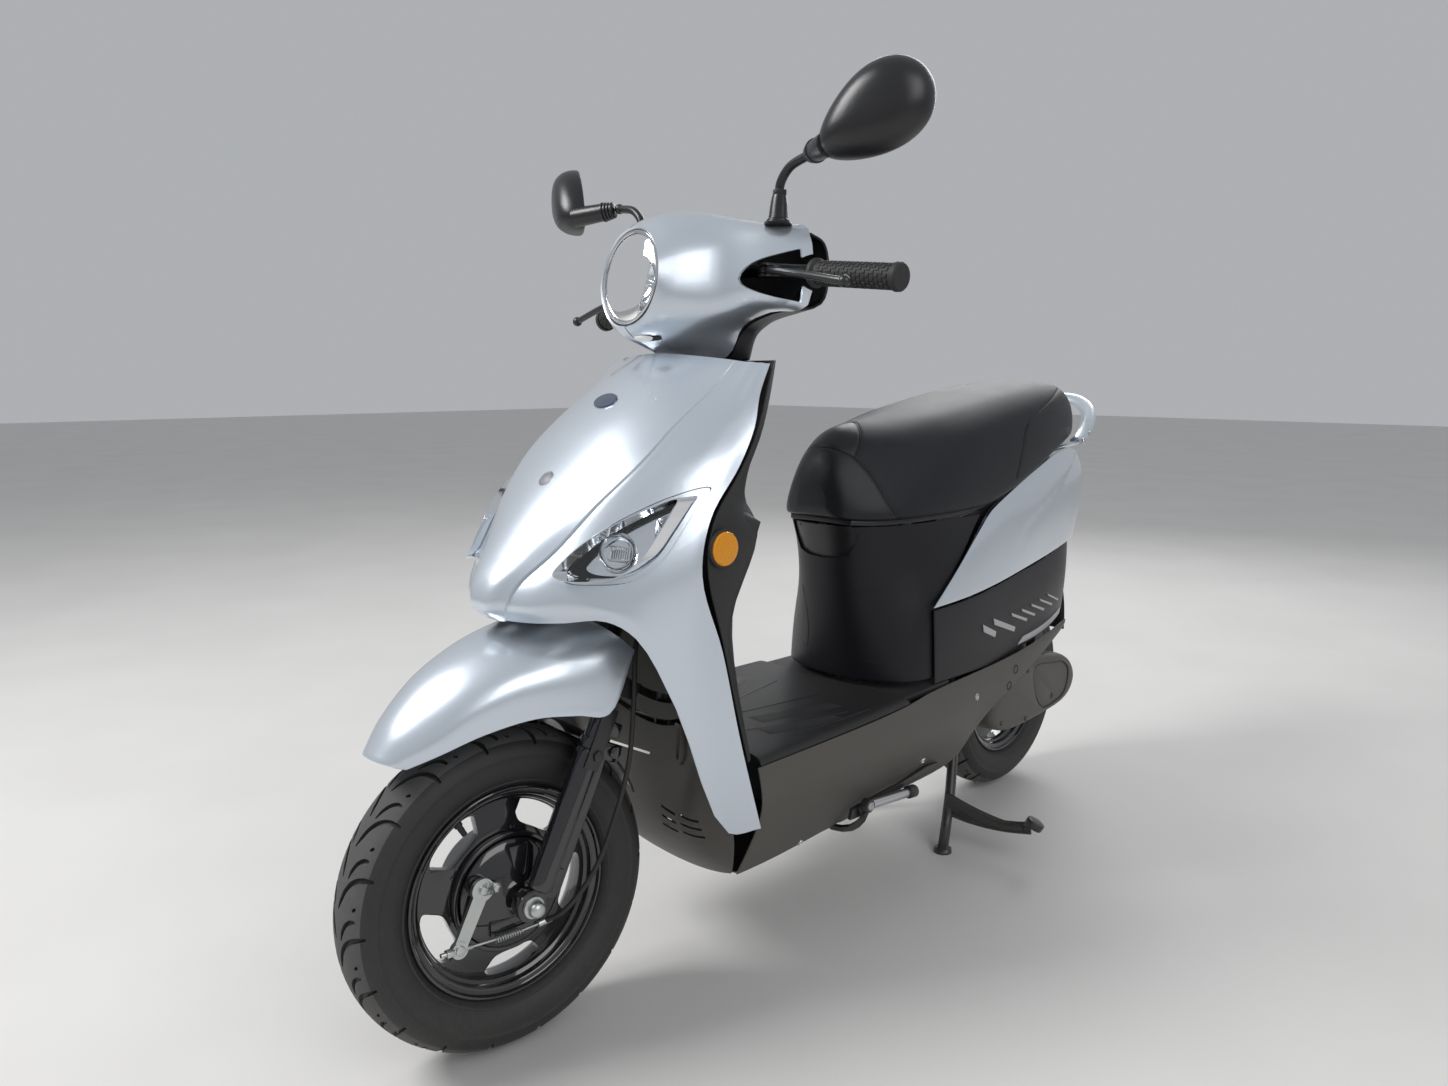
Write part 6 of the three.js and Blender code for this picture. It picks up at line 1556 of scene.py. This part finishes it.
# %% Creases of the side covers
BEVEL_LINE = [(205, 528), (262, 566), (374, 612), (482, 654), (680, 719), (790, 752)]
CREASE_LINE = [(800, 718), (775, 708), (649, 652), (503, 595), (443, 545)]
BEVEL_SLOPE, BEVEL_MOST, CREASE_DEEP = 0.26, 6.0, 3.0


def beside_line(line, y, z):
    """Distance from a line in a side view, its sign, and the share along the line."""
    best = (1e9, 0.0, 0.0)
    total = len(line) - 1
    for i, ((y1, z1), (y2, z2)) in enumerate(zip(line, line[1:])):
        dy, dz = y2 - y1, z2 - z1
        t = max(0.0, min(1.0, ((y - y1) * dy + (z - z1) * dz) / (dy * dy + dz * dz)))
        away = math.hypot(y - y1 - dy * t, z - z1 - dz * t)
        if away < best[0]:
            best = (away, dy * (z - z1) - dz * (y - y1), (i + t) / total)
    return best


def press_creases(obj):
    places = [vertex.co.copy() for vertex in obj.data.vertices]
    sideways = [abs(vertex.normal.x) >= 0.35 for vertex in obj.data.vertices]
    for place, outer in zip(places, sideways):
        if not outer:
            continue
        y, z = place.y * 1000, place.z * 1000
        away, side, _ = beside_line(BEVEL_LINE, y, z)
        inward = min(away * BEVEL_SLOPE, BEVEL_MOST) if side > 0 else 0.0
        away, side, share = beside_line(CREASE_LINE, y, z)
        if side > 0:
            inward += CREASE_DEEP * math.exp(-away / 26) * min(1.0, 2.2 * (1 - share), away / 2.5)
        place.x -= math.copysign(inward / 1000, place.x)
    write_back(obj, places)


for side in SIDES:
    press_creases(panels["side_cover_" + side])

# %% [markdown]
# Each indicator lamp in the apron has a pale flange, a clear lens and a bright foil bowl.
# The bowl holds a round cup with a ribbed window, a folded facet and an amber bulb.

# %% Apron lamps
def between(outer, inner, rows_top, wall, inward=True):
    """The part of a panel's wall between two prisms."""
    plate = walled(rows_top, wall, inward)
    fuse(plate, lamp_prism(outer), operation="INTERSECT")
    if inner is not None:
        fuse(plate, lamp_prism(inner), operation="DIFFERENCE")
    return soften(plate, 0.0, 30)


LAMP_CUP = mm(128, -520.5, 662)
LAMP_OUTWARD = Vector((0.42, -0.80, 0.42)).normalized()
BULB_AT = mm(166, -466, 680)


def lamp_cup():
    profile = [(0, -16), (11, -15), (18.5, -11), (22.5, -5), (24, 3), (25, 3), (24, -6), (19.5, -12.5),
               (12, -16.5), (0, -17.5), (0, -16)]
    cup = lathe(profile, LAMP_CUP, LAMP_OUTWARD, 40)
    across = LAMP_OUTWARD.cross(Z_AXIS).normalized()
    up = across.cross(LAMP_OUTWARD).normalized()
    turn = Matrix((across, up, LAMP_OUTWARD)).transposed()
    frame_bars = [block(LAMP_CUP + up * v - LAMP_OUTWARD * 0.004, (0.030, 0.0016, 0.003), 0.0003, turn)
                  for v in (-0.0085, 0.0085)]
    flutes = [block(LAMP_CUP + across * u - LAMP_OUTWARD * 0.005, (0.0021, 0.0165, 0.0022), 0.0007, turn)
              for u in steps_between(-0.0135, 0.0135, 9)]
    return gather(cup, *frame_bars, *flutes)


def lamp_facets():
    """Folded bright sheets between the cup and the outer corner."""
    corners = [
        [(150, -487, 700), (146, -497, 640), (156, -480, 668)],
        [(152, -486, 702), (160, -474, 668), (170, -458, 712)],
        [(160, -474, 668), (176, -446, 700), (170, -458, 712)],
        [(172, -455, 714), (182, -436, 730), (183, -430, 700)],
        [(172, -455, 714), (183, -430, 700), (174, -448, 690)],
    ]
    sheets = []
    for triangle in corners:
        sheet = from_points([Vector(p) / 1000 + Y_AXIS * 0.012 for p in triangle], (), [(0, 1, 2)])
        change(sheet, "SOLIDIFY", thickness=0.0012, offset=0)
        sheets.append(tidy(sheet, 1e-7))
    return gather(*sheets)


def lamp_bulb():
    return gather(ball(BULB_AT, 0.0075), rod(BULB_AT, BULB_AT + mm(-4, 14, -2), 0.0060, 24))


LAMP_PARTS = (
    ("lamp_flange_", lambda: between(0.06, 0.96, apron_surface(0.0018), 0.0022), SILVER),
    ("lamp_lens_", lambda: between(1.0, None, apron_surface(0.0014), 0.0016), CLEAR),
    ("lamp_bowl_", lambda: gather(between(0.98, None, apron_surface(0.0240), 0.0012),
                                  between(0.98, 1.14, apron_surface(0.0042), 0.0200)), CHROME),
    ("lamp_cup_", lamp_cup, CHROME),
    ("lamp_facets_", lamp_facets, CHROME),
    ("lamp_bulb_", lamp_bulb, AMBER_BULB),
)
for name in SIDES:
    for title, make, finish in LAMP_PARTS:
        stands_for = ["apron_lamp_" + name] if finish is CLEAR else []
        dress(sided(make(), name), title + name, "body", finish, *stands_for)

# %% Side reflectors
REFLECTOR_CUP = [(0, -1), (24.5, -1), (25.2, 1), (24.8, 4.2), (22.8, 5), (22.2, 3), (0, 3)]
REFLECTOR_FACE = [(0, 3.2), (21.8, 3.2), (22, 6), (20.6, 7.8), (17, 8.6), (0, 9)]
for name in SIDES:
    low, high = (Vector(corner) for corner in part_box("side_reflector_" + name))
    back = (low + high) / 2
    back.x = low.x if name == "left" else high.x
    aim = X_AXIS if name == "left" else -X_AXIS
    dress(lathe(REFLECTOR_CUP, back, aim, 64), "reflector_cup_" + name, "body", RUBBER)
    dress(lathe(REFLECTOR_FACE, back, aim, 64), "reflector_face_" + name, "body", AMBER,
          "side_reflector_" + name)

# %% Badge place, plug and the small lens under the cowl
APRON_SKIN = bpy.data.objects["apron_shell"]
COWL_SKIN = bpy.data.objects["cowl_shell"]


def disc_on(obj, start, direction, profile, wide=1.0, tall=1.0, angle=30):
    """A turned disc laid on a surface, drawn out to an oval."""
    place, normal = drop(obj, start, direction)
    disc = turned(profile, Vector(), Z_AXIS, 56)
    turn = normal.to_track_quat("Z", "Y").to_matrix().to_4x4()
    disc.data.transform(Matrix.Translation(place) @ turn @ Matrix.Diagonal((wide, tall, 1, 1)))
    return soften(disc, 0.0, angle)


BADGE_LOOP = [(0, -1), (20, -1), (20, 1.2), (19, 2.2), (0, 2.8)]
PLUG_LOOP = [(0, -1), (11.8, -1), (11.8, 0.6), (10.4, 1.4), (9.6, 0.4), (8.5, 1.2), (0, 2)]
MARKER_SHADE_LOOP = [(0, -1), (11, -1), (11.2, 0.6), (0, 0.8)]
MARKER_LOOP = [(0, 0), (10.5, 0), (10.2, 2.2), (8, 3.8), (0, 4.4)]
# The marker's recess is not cut: it is a flat dark disc of painted shade round the lens.
for title, skin, body, finish, place, loop, wide, tall in (
        ("badge_blank", APRON_SKIN, "body", BADGE, (0, -800, 844), BADGE_LOOP, 1.05, 0.72),
        ("apron_plug", APRON_SKIN, "body", STEEL, (0, -800, 746), PLUG_LOOP, 1.0, 1.0),
        ("marker_recess_shade", COWL_SKIN, "steering", DARK, (10, -600, 929), MARKER_SHADE_LOOP, 1.75, 0.62),
        ("marker_lens", COWL_SKIN, "steering", HINGE_WHITE, (4, -600, 930), MARKER_LOOP, 1.45, 0.62)):
    dress(disc_on(skin, mm(*place), Y_AXIS, loop, wide, tall), title, body, finish)

# %% [markdown]
# The black mat on the floor is moulded with a raised border, grooves and two fields of
# fine ribs where the feet rest. A plate closes the corner behind it.

# %% Floor mat
MAT_SKIN = bpy.data.objects["floorboard_skin"]
DOWN = -Z_AXIS


def over_floor(*places):
    return [mm(x, y, 390) for x, y in places]


RIB_FIELDS = (((48, -196), (92, -52)), ((92, -226), (134, -96)))
RIBS, RIB_SPREAD, RIB_FAN = 9, 30, 0.8


def mat_half():
    bits = []
    for start, end in RIB_FIELDS:
        for i in range(RIBS):
            share = i / (RIBS - 1)
            a = (start[0] + RIB_SPREAD * share, start[1] - 2 * share)
            b = (end[0] + RIB_SPREAD * share * RIB_FAN, end[1])
            bits.append(hose(laid_line(MAT_SKIN, over_floor(a, b), DOWN, 8, -0.0003), 0.0013, 2, 2))
    for line in (((18, -206), (52, -20)), ((86, -240), (140, -66)), ((150, -205), (156, -30))):
        bits.append(hose(laid_line(MAT_SKIN, over_floor(*line), DOWN, 10, -0.0009), 0.0020, 2, 2))
    return gather(*bits)


add_both_sides(mat_half, "mat_ribs", "body", SATIN)
corner = prism([mm(x, y, 338) for x, y in ((-158, -4), (158, -4), (150, 212), (-150, 212))],
               Z_AXIS, 0.010)
dress(soften(corner, 0.002, 40), "floor_corner_plate", "body", SHIELD)

# %% Black plates behind the gaps beside the seat, as painted shade
GAP_SHADE_OUTLINE = [(222, 470), (222, 545), (300, 628), (360, 634), (480, 660), (480, 600), (320, 520)]


# A black sheet that paints the shade seen through the gap, in place of the parts behind it.
def gap_shade_sheet():
    return soften(prism([mm(112, y, z) for y, z in GAP_SHADE_OUTLINE], X_AXIS, 0.003), 0.0006, 40)


add_both_sides(gap_shade_sheet, "seat_gap_shade_plate", "body", BLACK)

# %% [markdown]
# Under the seat's nose the base cover has a pocket for the catch. The cover's moulded lines
# are shallow grooves, painted as shade: thin dark cords let into the surface.

# %% Catch pocket and moulded lines
BASE_SKIN = panels["seat_base_cover"]


def front_start(*places):
    return [mm(x, -200, z) for x, z in places]


POCKET = [(-64, 632), (64, 632), (67, 618), (64, 600), (52, 580), (30, 573), (0, 571), (-30, 573),
          (-52, 580), (-64, 600), (-67, 618)]
pocket_loop = [mm(x, -50, z) for x, z in POCKET]
tray = copied(BASE_SKIN)
for key in list(tray.keys()):
    del tray[key]
fuse(tray, prism(pocket_loop, Y_AXIS, 0.2), operation="INTERSECT")
fuse(BASE_SKIN, prism(pocket_loop, Y_AXIS, 0.2), operation="DIFFERENCE")
tray.data.transform(Matrix.Translation((0, 0.006, 0)) @ Matrix.Diagonal((1.02, 1, 1.0, 1)))
tray.data.materials.clear()
soften(BASE_SKIN, 0.0, 38)
soften(tray, 0.0, 38)
dress(tray, "catch_pocket", "body", SATIN)
catch_bits = [block(Vector((x, 0.036, 0.626)), (wide, 0.012, tall), 0.0012)
              for x, wide, tall in ((-0.030, 0.034, 0.008), (0.004, 0.020, 0.011), (0.032, 0.022, 0.007))]
dress(gather(*catch_bits), "catch_parts", "body", DARK)

groove_lines = [
    [(-56, 512), (-50, 486), (-44, 462), (-45, 420), (-50, 402), (-62, 402)],
    [(60, 520), (84, 518), (108, 524)],
    [(72, 396), (92, 392), (112, 394)],
]
# Each groove is a thin dark cord of painted shade.
grooves = [hose(laid_line(BASE_SKIN, front_start(*line), Y_AXIS, 24, -0.0004), 0.0009, 2, 2)
           for line in groove_lines]
dress(gather(*grooves), "base_cover_groove_shade", "body", DARK)

# %% [markdown]
# The lower tail cover has a row of slanted louvres that get longer towards the front.
# A pale strip runs along its lower edge.

# %% Louvres and strip
LOUVRES = [((322, 428), (372, 405), 15), ((364, 432), (456, 398), 13), ((440, 429), (512, 404), 7),
           ((487, 429), (551, 407), 6.5), ((533, 431), (599, 409), 6), ((575, 434), (646, 411), 5.5),
           ((618, 437), (688, 413), 5)]


def louvres():
    fins = []
    for (y1, z1), (y2, z2), tall in LOUVRES:
        low = [from_side(y1 + 4, z1 - tall), from_side(y2, z2 - tall * 0.7)]
        high = [from_side(y1, z1), from_side(y2 + 4, z2)]
        fins.append(laid_patch(TAIL_LEFT, low, high, INWARD, 3, 8, 0.0006, 0.0024))
    return gather(*fins)


def tail_strip():
    low = [from_side(y, z) for y, z in ((478, 359), (560, 360), (640, 367), (712, 378))]
    high = [from_side(y, z) for y, z in ((502, 371), (570, 373), (650, 380), (716, 389))]
    return laid_patch(TAIL_LEFT, low, high, INWARD, 4, 20, 0.0008, 0.0030)


TAIL_LEFT = bpy.data.objects["tail_lower_cover_skin"]
PALE = opaque("pale_grey_plastic", (0.42, 0.41, 0.43), 0.4, dust=0.15, grain_size=1200, depth=0.2)
add_both_sides(louvres, "tail_louvres", "body", PALE)
add_both_sides(tail_strip, "tail_strip", "body", PALE)

# %% Bolts on the skirts, and discs of painted shade for their holes
SKIRT_BOLTS = [(295, 299, 7.0), (127, 222, 6.5), (-148, 151, 6.0)]


SKIRT_HOLES = [(451, 317), (428, 289)]
HOLE_LOOP = [(0, -1), (8.2, -1), (8.6, 0.5), (7.2, 0.5), (6.6, -0.6), (0, -0.6)]


def bolt(obj, start, direction, radius):
    """A round bolt head with a socket, laid on a surface."""
    return disc_on(obj, start, direction,
                   [(0, -3), (radius, -3), (radius, 0.6), (radius * 0.93, 1.6),
                    (radius * 0.62, 2.1), (radius * 0.5, 0.6), (0, 0.6)])


def skirt_bolts():
    return gather(*[bolt(SKIRT_LEFT, from_side(y, z), INWARD, r) for y, z, r in SKIRT_BOLTS])


# The skirts are not cut here: each hole is a flat dark disc of painted shade.
def skirt_hole_shades():
    return gather(*[disc_on(SKIRT_LEFT, from_side(y, z), INWARD, HOLE_LOOP) for y, z in SKIRT_HOLES])


SKIRT_LEFT = bpy.data.objects["side_skirt_left_skin"]
add_both_sides(skirt_bolts, "skirt_bolts", "body", ZINC)
add_both_sides(skirt_hole_shades, "skirt_hole_shades", "body", DARK)

# %% [markdown]
# The inner cover behind the front wheel is open above, where the fork turns. Two wide
# slots show as dark bands, and a row of narrow slots lets air through lower down.

# %% Slots of the inner cover
INNER_SKIN = panels["front_inner_cover"]


def front_slot(places, tall):
    """A curved slot cut from the front through the inner cover."""
    line = [mm(x, -550, z) for x, z in places]
    upper = through(line, 16)
    lower = [p - Z_AXIS * tall for p in upper]
    return prism(upper + lower[::-1], Y_AXIS, 0.30)


SLOTS = [
    ([(-98, 412), (-60, 392), (-20, 381), (20, 381), (60, 392), (98, 412)], 0.0085),
    ([(-98, 446), (-60, 428), (-20, 418), (20, 418), (60, 428), (98, 446)], 0.0130),
]
LOW_SLOTS = [([(x - 16, z), (x, z - 2), (x + 16, z - 3)], 0.0040)
             for x in (-100, -58, 58, 100) for z in (262, 248, 234)]
for places, tall in SLOTS + LOW_SLOTS:
    fuse(INNER_SKIN, front_slot(places, tall), operation="DIFFERENCE")
soften(INNER_SKIN, 0.0, 38)


BUMP_LOOP = [(0, -2), (14, -2), (15, 3), (13.8, 6.2), (11.2, 6.4), (9.6, 3), (0, 1.8)]


def inner_bump():
    return disc_on(INNER_SKIN, mm(86, -600, 365), Y_AXIS, BUMP_LOOP, 0.95, 2.1, 40)


add_both_sides(inner_bump, "inner_cover_bump", "body", CHARCOAL)

# %% [markdown]
# ## Drive unit
# The drive cover is moulded plastic with a bordered panel, whose plate is let in. Its
# outline is lofted outwards in shrinking steps, and the panel is cut out of the end.

# %% Drive unit
CASE_LINE = [(390, 215), (400, 262), (440, 296), (500, 316), (600, 314), (680, 300), (718, 276),
             (732, 246), (722, 220), (688, 200), (600, 186), (500, 184), (430, 192)]
COVER_STEPS = [(0.1004, 0.0), (0.1180, -0.0004), (0.1265, -0.0020), (0.1325, -0.0058),
               (0.1365, -0.0110), (0.1380, -0.0180)]


def drive_loop(x, grow, count=72):
    loop = round_loop([Vector((x, y / 1000, z / 1000)) for y, z in CASE_LINE], count)
    middle = sum(loop, Vector()) / count
    return [p + (p - middle).normalized() * grow for p in loop]


drive_cover = soften(lofted([drive_loop(x, grow) for x, grow in COVER_STEPS]), 0.0, 40)
PANEL_CORNERS = [(546, 297), (620, 297), (668, 288), (694, 268), (696, 244), (680, 216), (640, 205),
                 (588, 205), (560, 232)]
panel_edge = [mm(134.5, y, z) for y, z in PANEL_CORNERS]
panel_cut = soften(prism(round_loop(panel_edge, 64), X_AXIS, 0.02), 0.0, 40)
inset_middle = sum(panel_edge, Vector()) / len(panel_edge)
plate_loop = [p + (inset_middle - p).normalized() * 0.0045 for p in round_loop(panel_edge, 64)]
fuse(drive_cover, panel_cut, operation="DIFFERENCE")
plate = prism([Vector((0.1335, p.y, p.z)) for p in plate_loop], X_AXIS, 0.0030)
fuse(plate, rod(mm(130, 626, 222), mm(145, 626, 222), 0.0062, 24, 0), operation="DIFFERENCE")
soften(plate, 0.0006, 40)
dress(soften(drive_cover, 0.0008, 38), "drive_cover_shell", "swing_unit", CHARCOAL, "drive_cover")
dress(plate, "drive_cover_panel", "swing_unit", CHARCOAL)
DRIVE_BOLTS = [(432, 276), (424, 212), (520, 298), (520, 198)]
DRIVE_SKIN = bpy.data.objects["drive_cover_shell"]
drive_bolts = [disc_on(DRIVE_SKIN, mm(300, y, z), INWARD, [(0, -2), (5, -2), (5, 1), (4.2, 1.8), (0, 1.8)])
               for y, z in DRIVE_BOLTS]
dress(gather(*drive_bolts), "drive_cover_bolts", "swing_unit", STEEL_BLACK)

# %% [markdown]
# The centre stand is bent black tube. Its left leg carries a flat foot lever with a
# round rubber pad, and each leg stands on a disc.

# %% Stand, pegs, rail and lamps
TANG_TOP = [(100, 296, 99), (112, 298, 97), (150, 306, 84), (210, 318, 71), (262, 328, 69)]
TANG_LOW = [(104, 293, 62), (116, 296, 58), (150, 306, 51), (210, 318, 51), (262, 328, 59)]


def tang():
    top = through([Vector(p) / 1000 for p in TANG_TOP], 14)
    low = through([Vector(p) / 1000 for p in TANG_LOW], 14)
    blade = prism(top + low[::-1], Vector((0.10, -1, 0)).normalized(), 0.0045)
    lip = hose([p + mm(0, -2, 0) for p in low], 0.0034, 2, 3)
    pad = rod(mm(264, 326, 70), mm(270, 330, 83), 0.0165, 40, 0.003)
    return gather(soften(blade, 0.0014, 40), lip, pad)


stand = taken("centre_stand", quads=False)
fuse(stand, block(mm(268, 330, 77), (0.036, 0.038, 0.046), 0), operation="DIFFERENCE")
soften(stand, 0.0, 35)
dress(stand, "stand_tubes", "stand", STEEL_BLACK, "centre_stand")
dress(tang(), "stand_foot_lever", "stand", STEEL_BLACK)
PEG_PIVOT = mm(166, -42, 196)
PEG_TIP = mm(166, 90, 182)


def peg_bar():
    aim = (PEG_TIP - PEG_PIVOT).normalized()
    return rod(PEG_PIVOT + aim * 0.010, PEG_TIP - aim * 0.014, 0.0079, 40)


def peg_eye():
    aim = (PEG_TIP - PEG_PIVOT).normalized()
    tip = rod(PEG_TIP - aim * 0.020, PEG_TIP, 0.0108, 40, 0.0022)
    eye = rod(PEG_PIVOT - X_AXIS * 0.0068, PEG_PIVOT + X_AXIS * 0.0068, 0.0110, 48, 0.0012)
    return gather(tip, eye)


def peg_bolt():
    return bolt(bpy.data.objects["peg_eye_left"], PEG_PIVOT + X_AXIS * 0.1, INWARD, 7.2)


PEG_PLATE = [(-66, 172), (-60, 190), (-10, 193), (60, 195), (150, 204), (186, 202), (176, 195),
             (110, 188), (30, 182), (-28, 170)]


def peg_plate():
    return soften(prism([mm(144, y, z) for y, z in PEG_PLATE], X_AXIS, 0.007), 0.0018, 40)


add_both_sides(peg_plate, "peg_plate", "body", STEEL_BLACK)
for name in SIDES:
    dress(sided(peg_bar(), name), "peg_bar_" + name, "peg_" + name, STEEL, "footpeg_" + name)
    dress(sided(peg_eye(), name), "peg_eye_" + name, "peg_" + name, STEEL_BLACK)
    dress(sided(peg_bolt(), name), "peg_bolt_" + name, "peg_" + name, ZINC)

dress(smooth_panel("grab_rail", 2, 0.0006), "grab_rail_cast", "body", SILVER, "grab_rail")
dress(smooth_panel("tail_lamp", 1, 0.0015), "tail_lamp_lens", "body", RED, "tail_lamp")
RAIL_SKIN = bpy.data.objects["grab_rail_cast"]
RAIL_BOLT = [(0, -2), (5.8, -2), (5.8, 0.8), (4.8, 1.8), (3, 1.8), (2.6, 0.4), (0, 0.4)]
rail_bolts = [disc_on(RAIL_SKIN, from_side(y, z, side), -X_AXIS * side, RAIL_BOLT)
              for side in (1, -1) for y, z in ((754, 743), (781, 756))]
dress(gather(*rail_bolts), "grab_rail_bolts", "body", STEEL)

# %% [markdown]
# The other pieces keep the frame's own shape: the frame tubes, the battery, the shock
# absorber, the cast case, the yoke and the small knobs. Each only gets its rounded edges
# and its finish, so they are one table.

# %% Pieces that keep the frame's shape
CAD_SHAPES = [ # node, piece, body, finish, rounding, angle, segments
    ("steering_stem", "steering_stem_steel", "steering", STEEL_BLACK, 0.0, 30, 2),
    ("handlebar", "handlebar_steel", "steering", STEEL_BLACK, 0.0, 30, 2),
    ("horn_button", "horn_push", "horn", SATIN, 0.0012, 40, 3),
    ("turn_switch", "indicator_slider", "indicator_switch", CHARCOAL, 0.0015, 40, 3),
    ("ignition_lock", "lock_barrel", "ignition", STEEL, 0.0010, 40, 2),
    ("seat_pan", "seat_tray", "seat", SATIN, 0.0012, 40, 2),
    ("drive_case", "drive_case_cast", "swing_unit", ALLOY, 0.0020, 30, 3),
    ("shock_body", "shock_body_finish", "shock_upper", STEEL_BLACK, 0.0008, 40, 2),
    ("shock_rod", "shock_rod_finish", "shock_lower", STEEL, 0.0008, 40, 2),
    ("shock_spring", "shock_spring_finish", "shock_upper", GLOSS, 0.0, 40, 2),
    ("main_frame", "frame_tubes", "body", STEEL_BLACK, 0.0, 35, 2),
    ("battery_pack", "battery_shell", "body", CASE, 0.0, 35, 2),
]
for cad_name, title, body, finish, rounding, angle, segments in CAD_SHAPES:
    shape = soften(taken(cad_name, quads=False), rounding, angle, segments)
    dress(shape, title, body, finish, cad_name)
left_over = [name for name, obj in NODES.items() if obj.visible_get() and not obj.hide_render]
print("nodes still shown:", left_over)
# %% [markdown]
# The scooter stands on a pale floor under two large soft lamps and an even sky, at a
# level where a colour renders about as it is written.

# %% Floor and lights
FLOOR_SIZE = 40
bpy.ops.mesh.primitive_plane_add(size=FLOOR_SIZE)
floor = bpy.context.object
floor.name = "studio_floor"
settle(floor)
paper, paper_tree, paper_shader = new_material("studio_paper")
paper_shader.inputs["Roughness"].default_value = 0.6
speckle = node(paper_tree, "TexNoise", Scale=2.2, Detail=8.0)
shade = paper_tree.nodes.new("ShaderNodeMix")
shade.data_type = "RGBA"
shade.inputs[6].default_value = (0.6, 0.59, 0.575, 1)
shade.inputs[7].default_value = (0.7, 0.69, 0.675, 1)
where = node(paper_tree, "TexCoord")
wire(paper_tree, (where.outputs["Object"], speckle.inputs["Vector"]),
     (speckle.outputs["Fac"], shade.inputs[0]),
     (shade.outputs[2], paper_shader.inputs["Base Color"]))
floor.data.materials.append(paper)


def soft_lamp(name, place, target, size, power):
    data = bpy.data.lights.new(name, "AREA")
    data.shape, data.size, data.size_y, data.energy = "RECTANGLE", size[0], size[1], power
    lamp = bpy.data.objects.new(name, data)
    bpy.context.scene.collection.objects.link(lamp)
    lamp.location = place
    lamp.rotation_euler = (Vector(target) - Vector(place)).to_track_quat("-Z", "Y").to_euler()
    return lamp


soft_lamp("key", (-1.6, -2.6, 3.4), (0, 0, 0.5), (1.6, 1.6), 125)
soft_lamp("fill", (3.4, -0.6, 2.6), (0, 0, 0.5), (2.4, 2.4), 42)
soft_lamp("rim", (-1.2, 3.2, 2.6), (0, 0, 0.6), (2.4, 1.6), 50)

world = bpy.data.worlds.new("even_sky")
bpy.context.scene.world = world
world.use_nodes = True
sky = world.node_tree
sky.nodes["Background"].inputs["Color"].default_value = (0.78, 0.8, 0.83, 1)
sky.nodes["Background"].inputs["Strength"].default_value = 0.54
bpy.context.scene.view_settings.view_transform = "Standard"
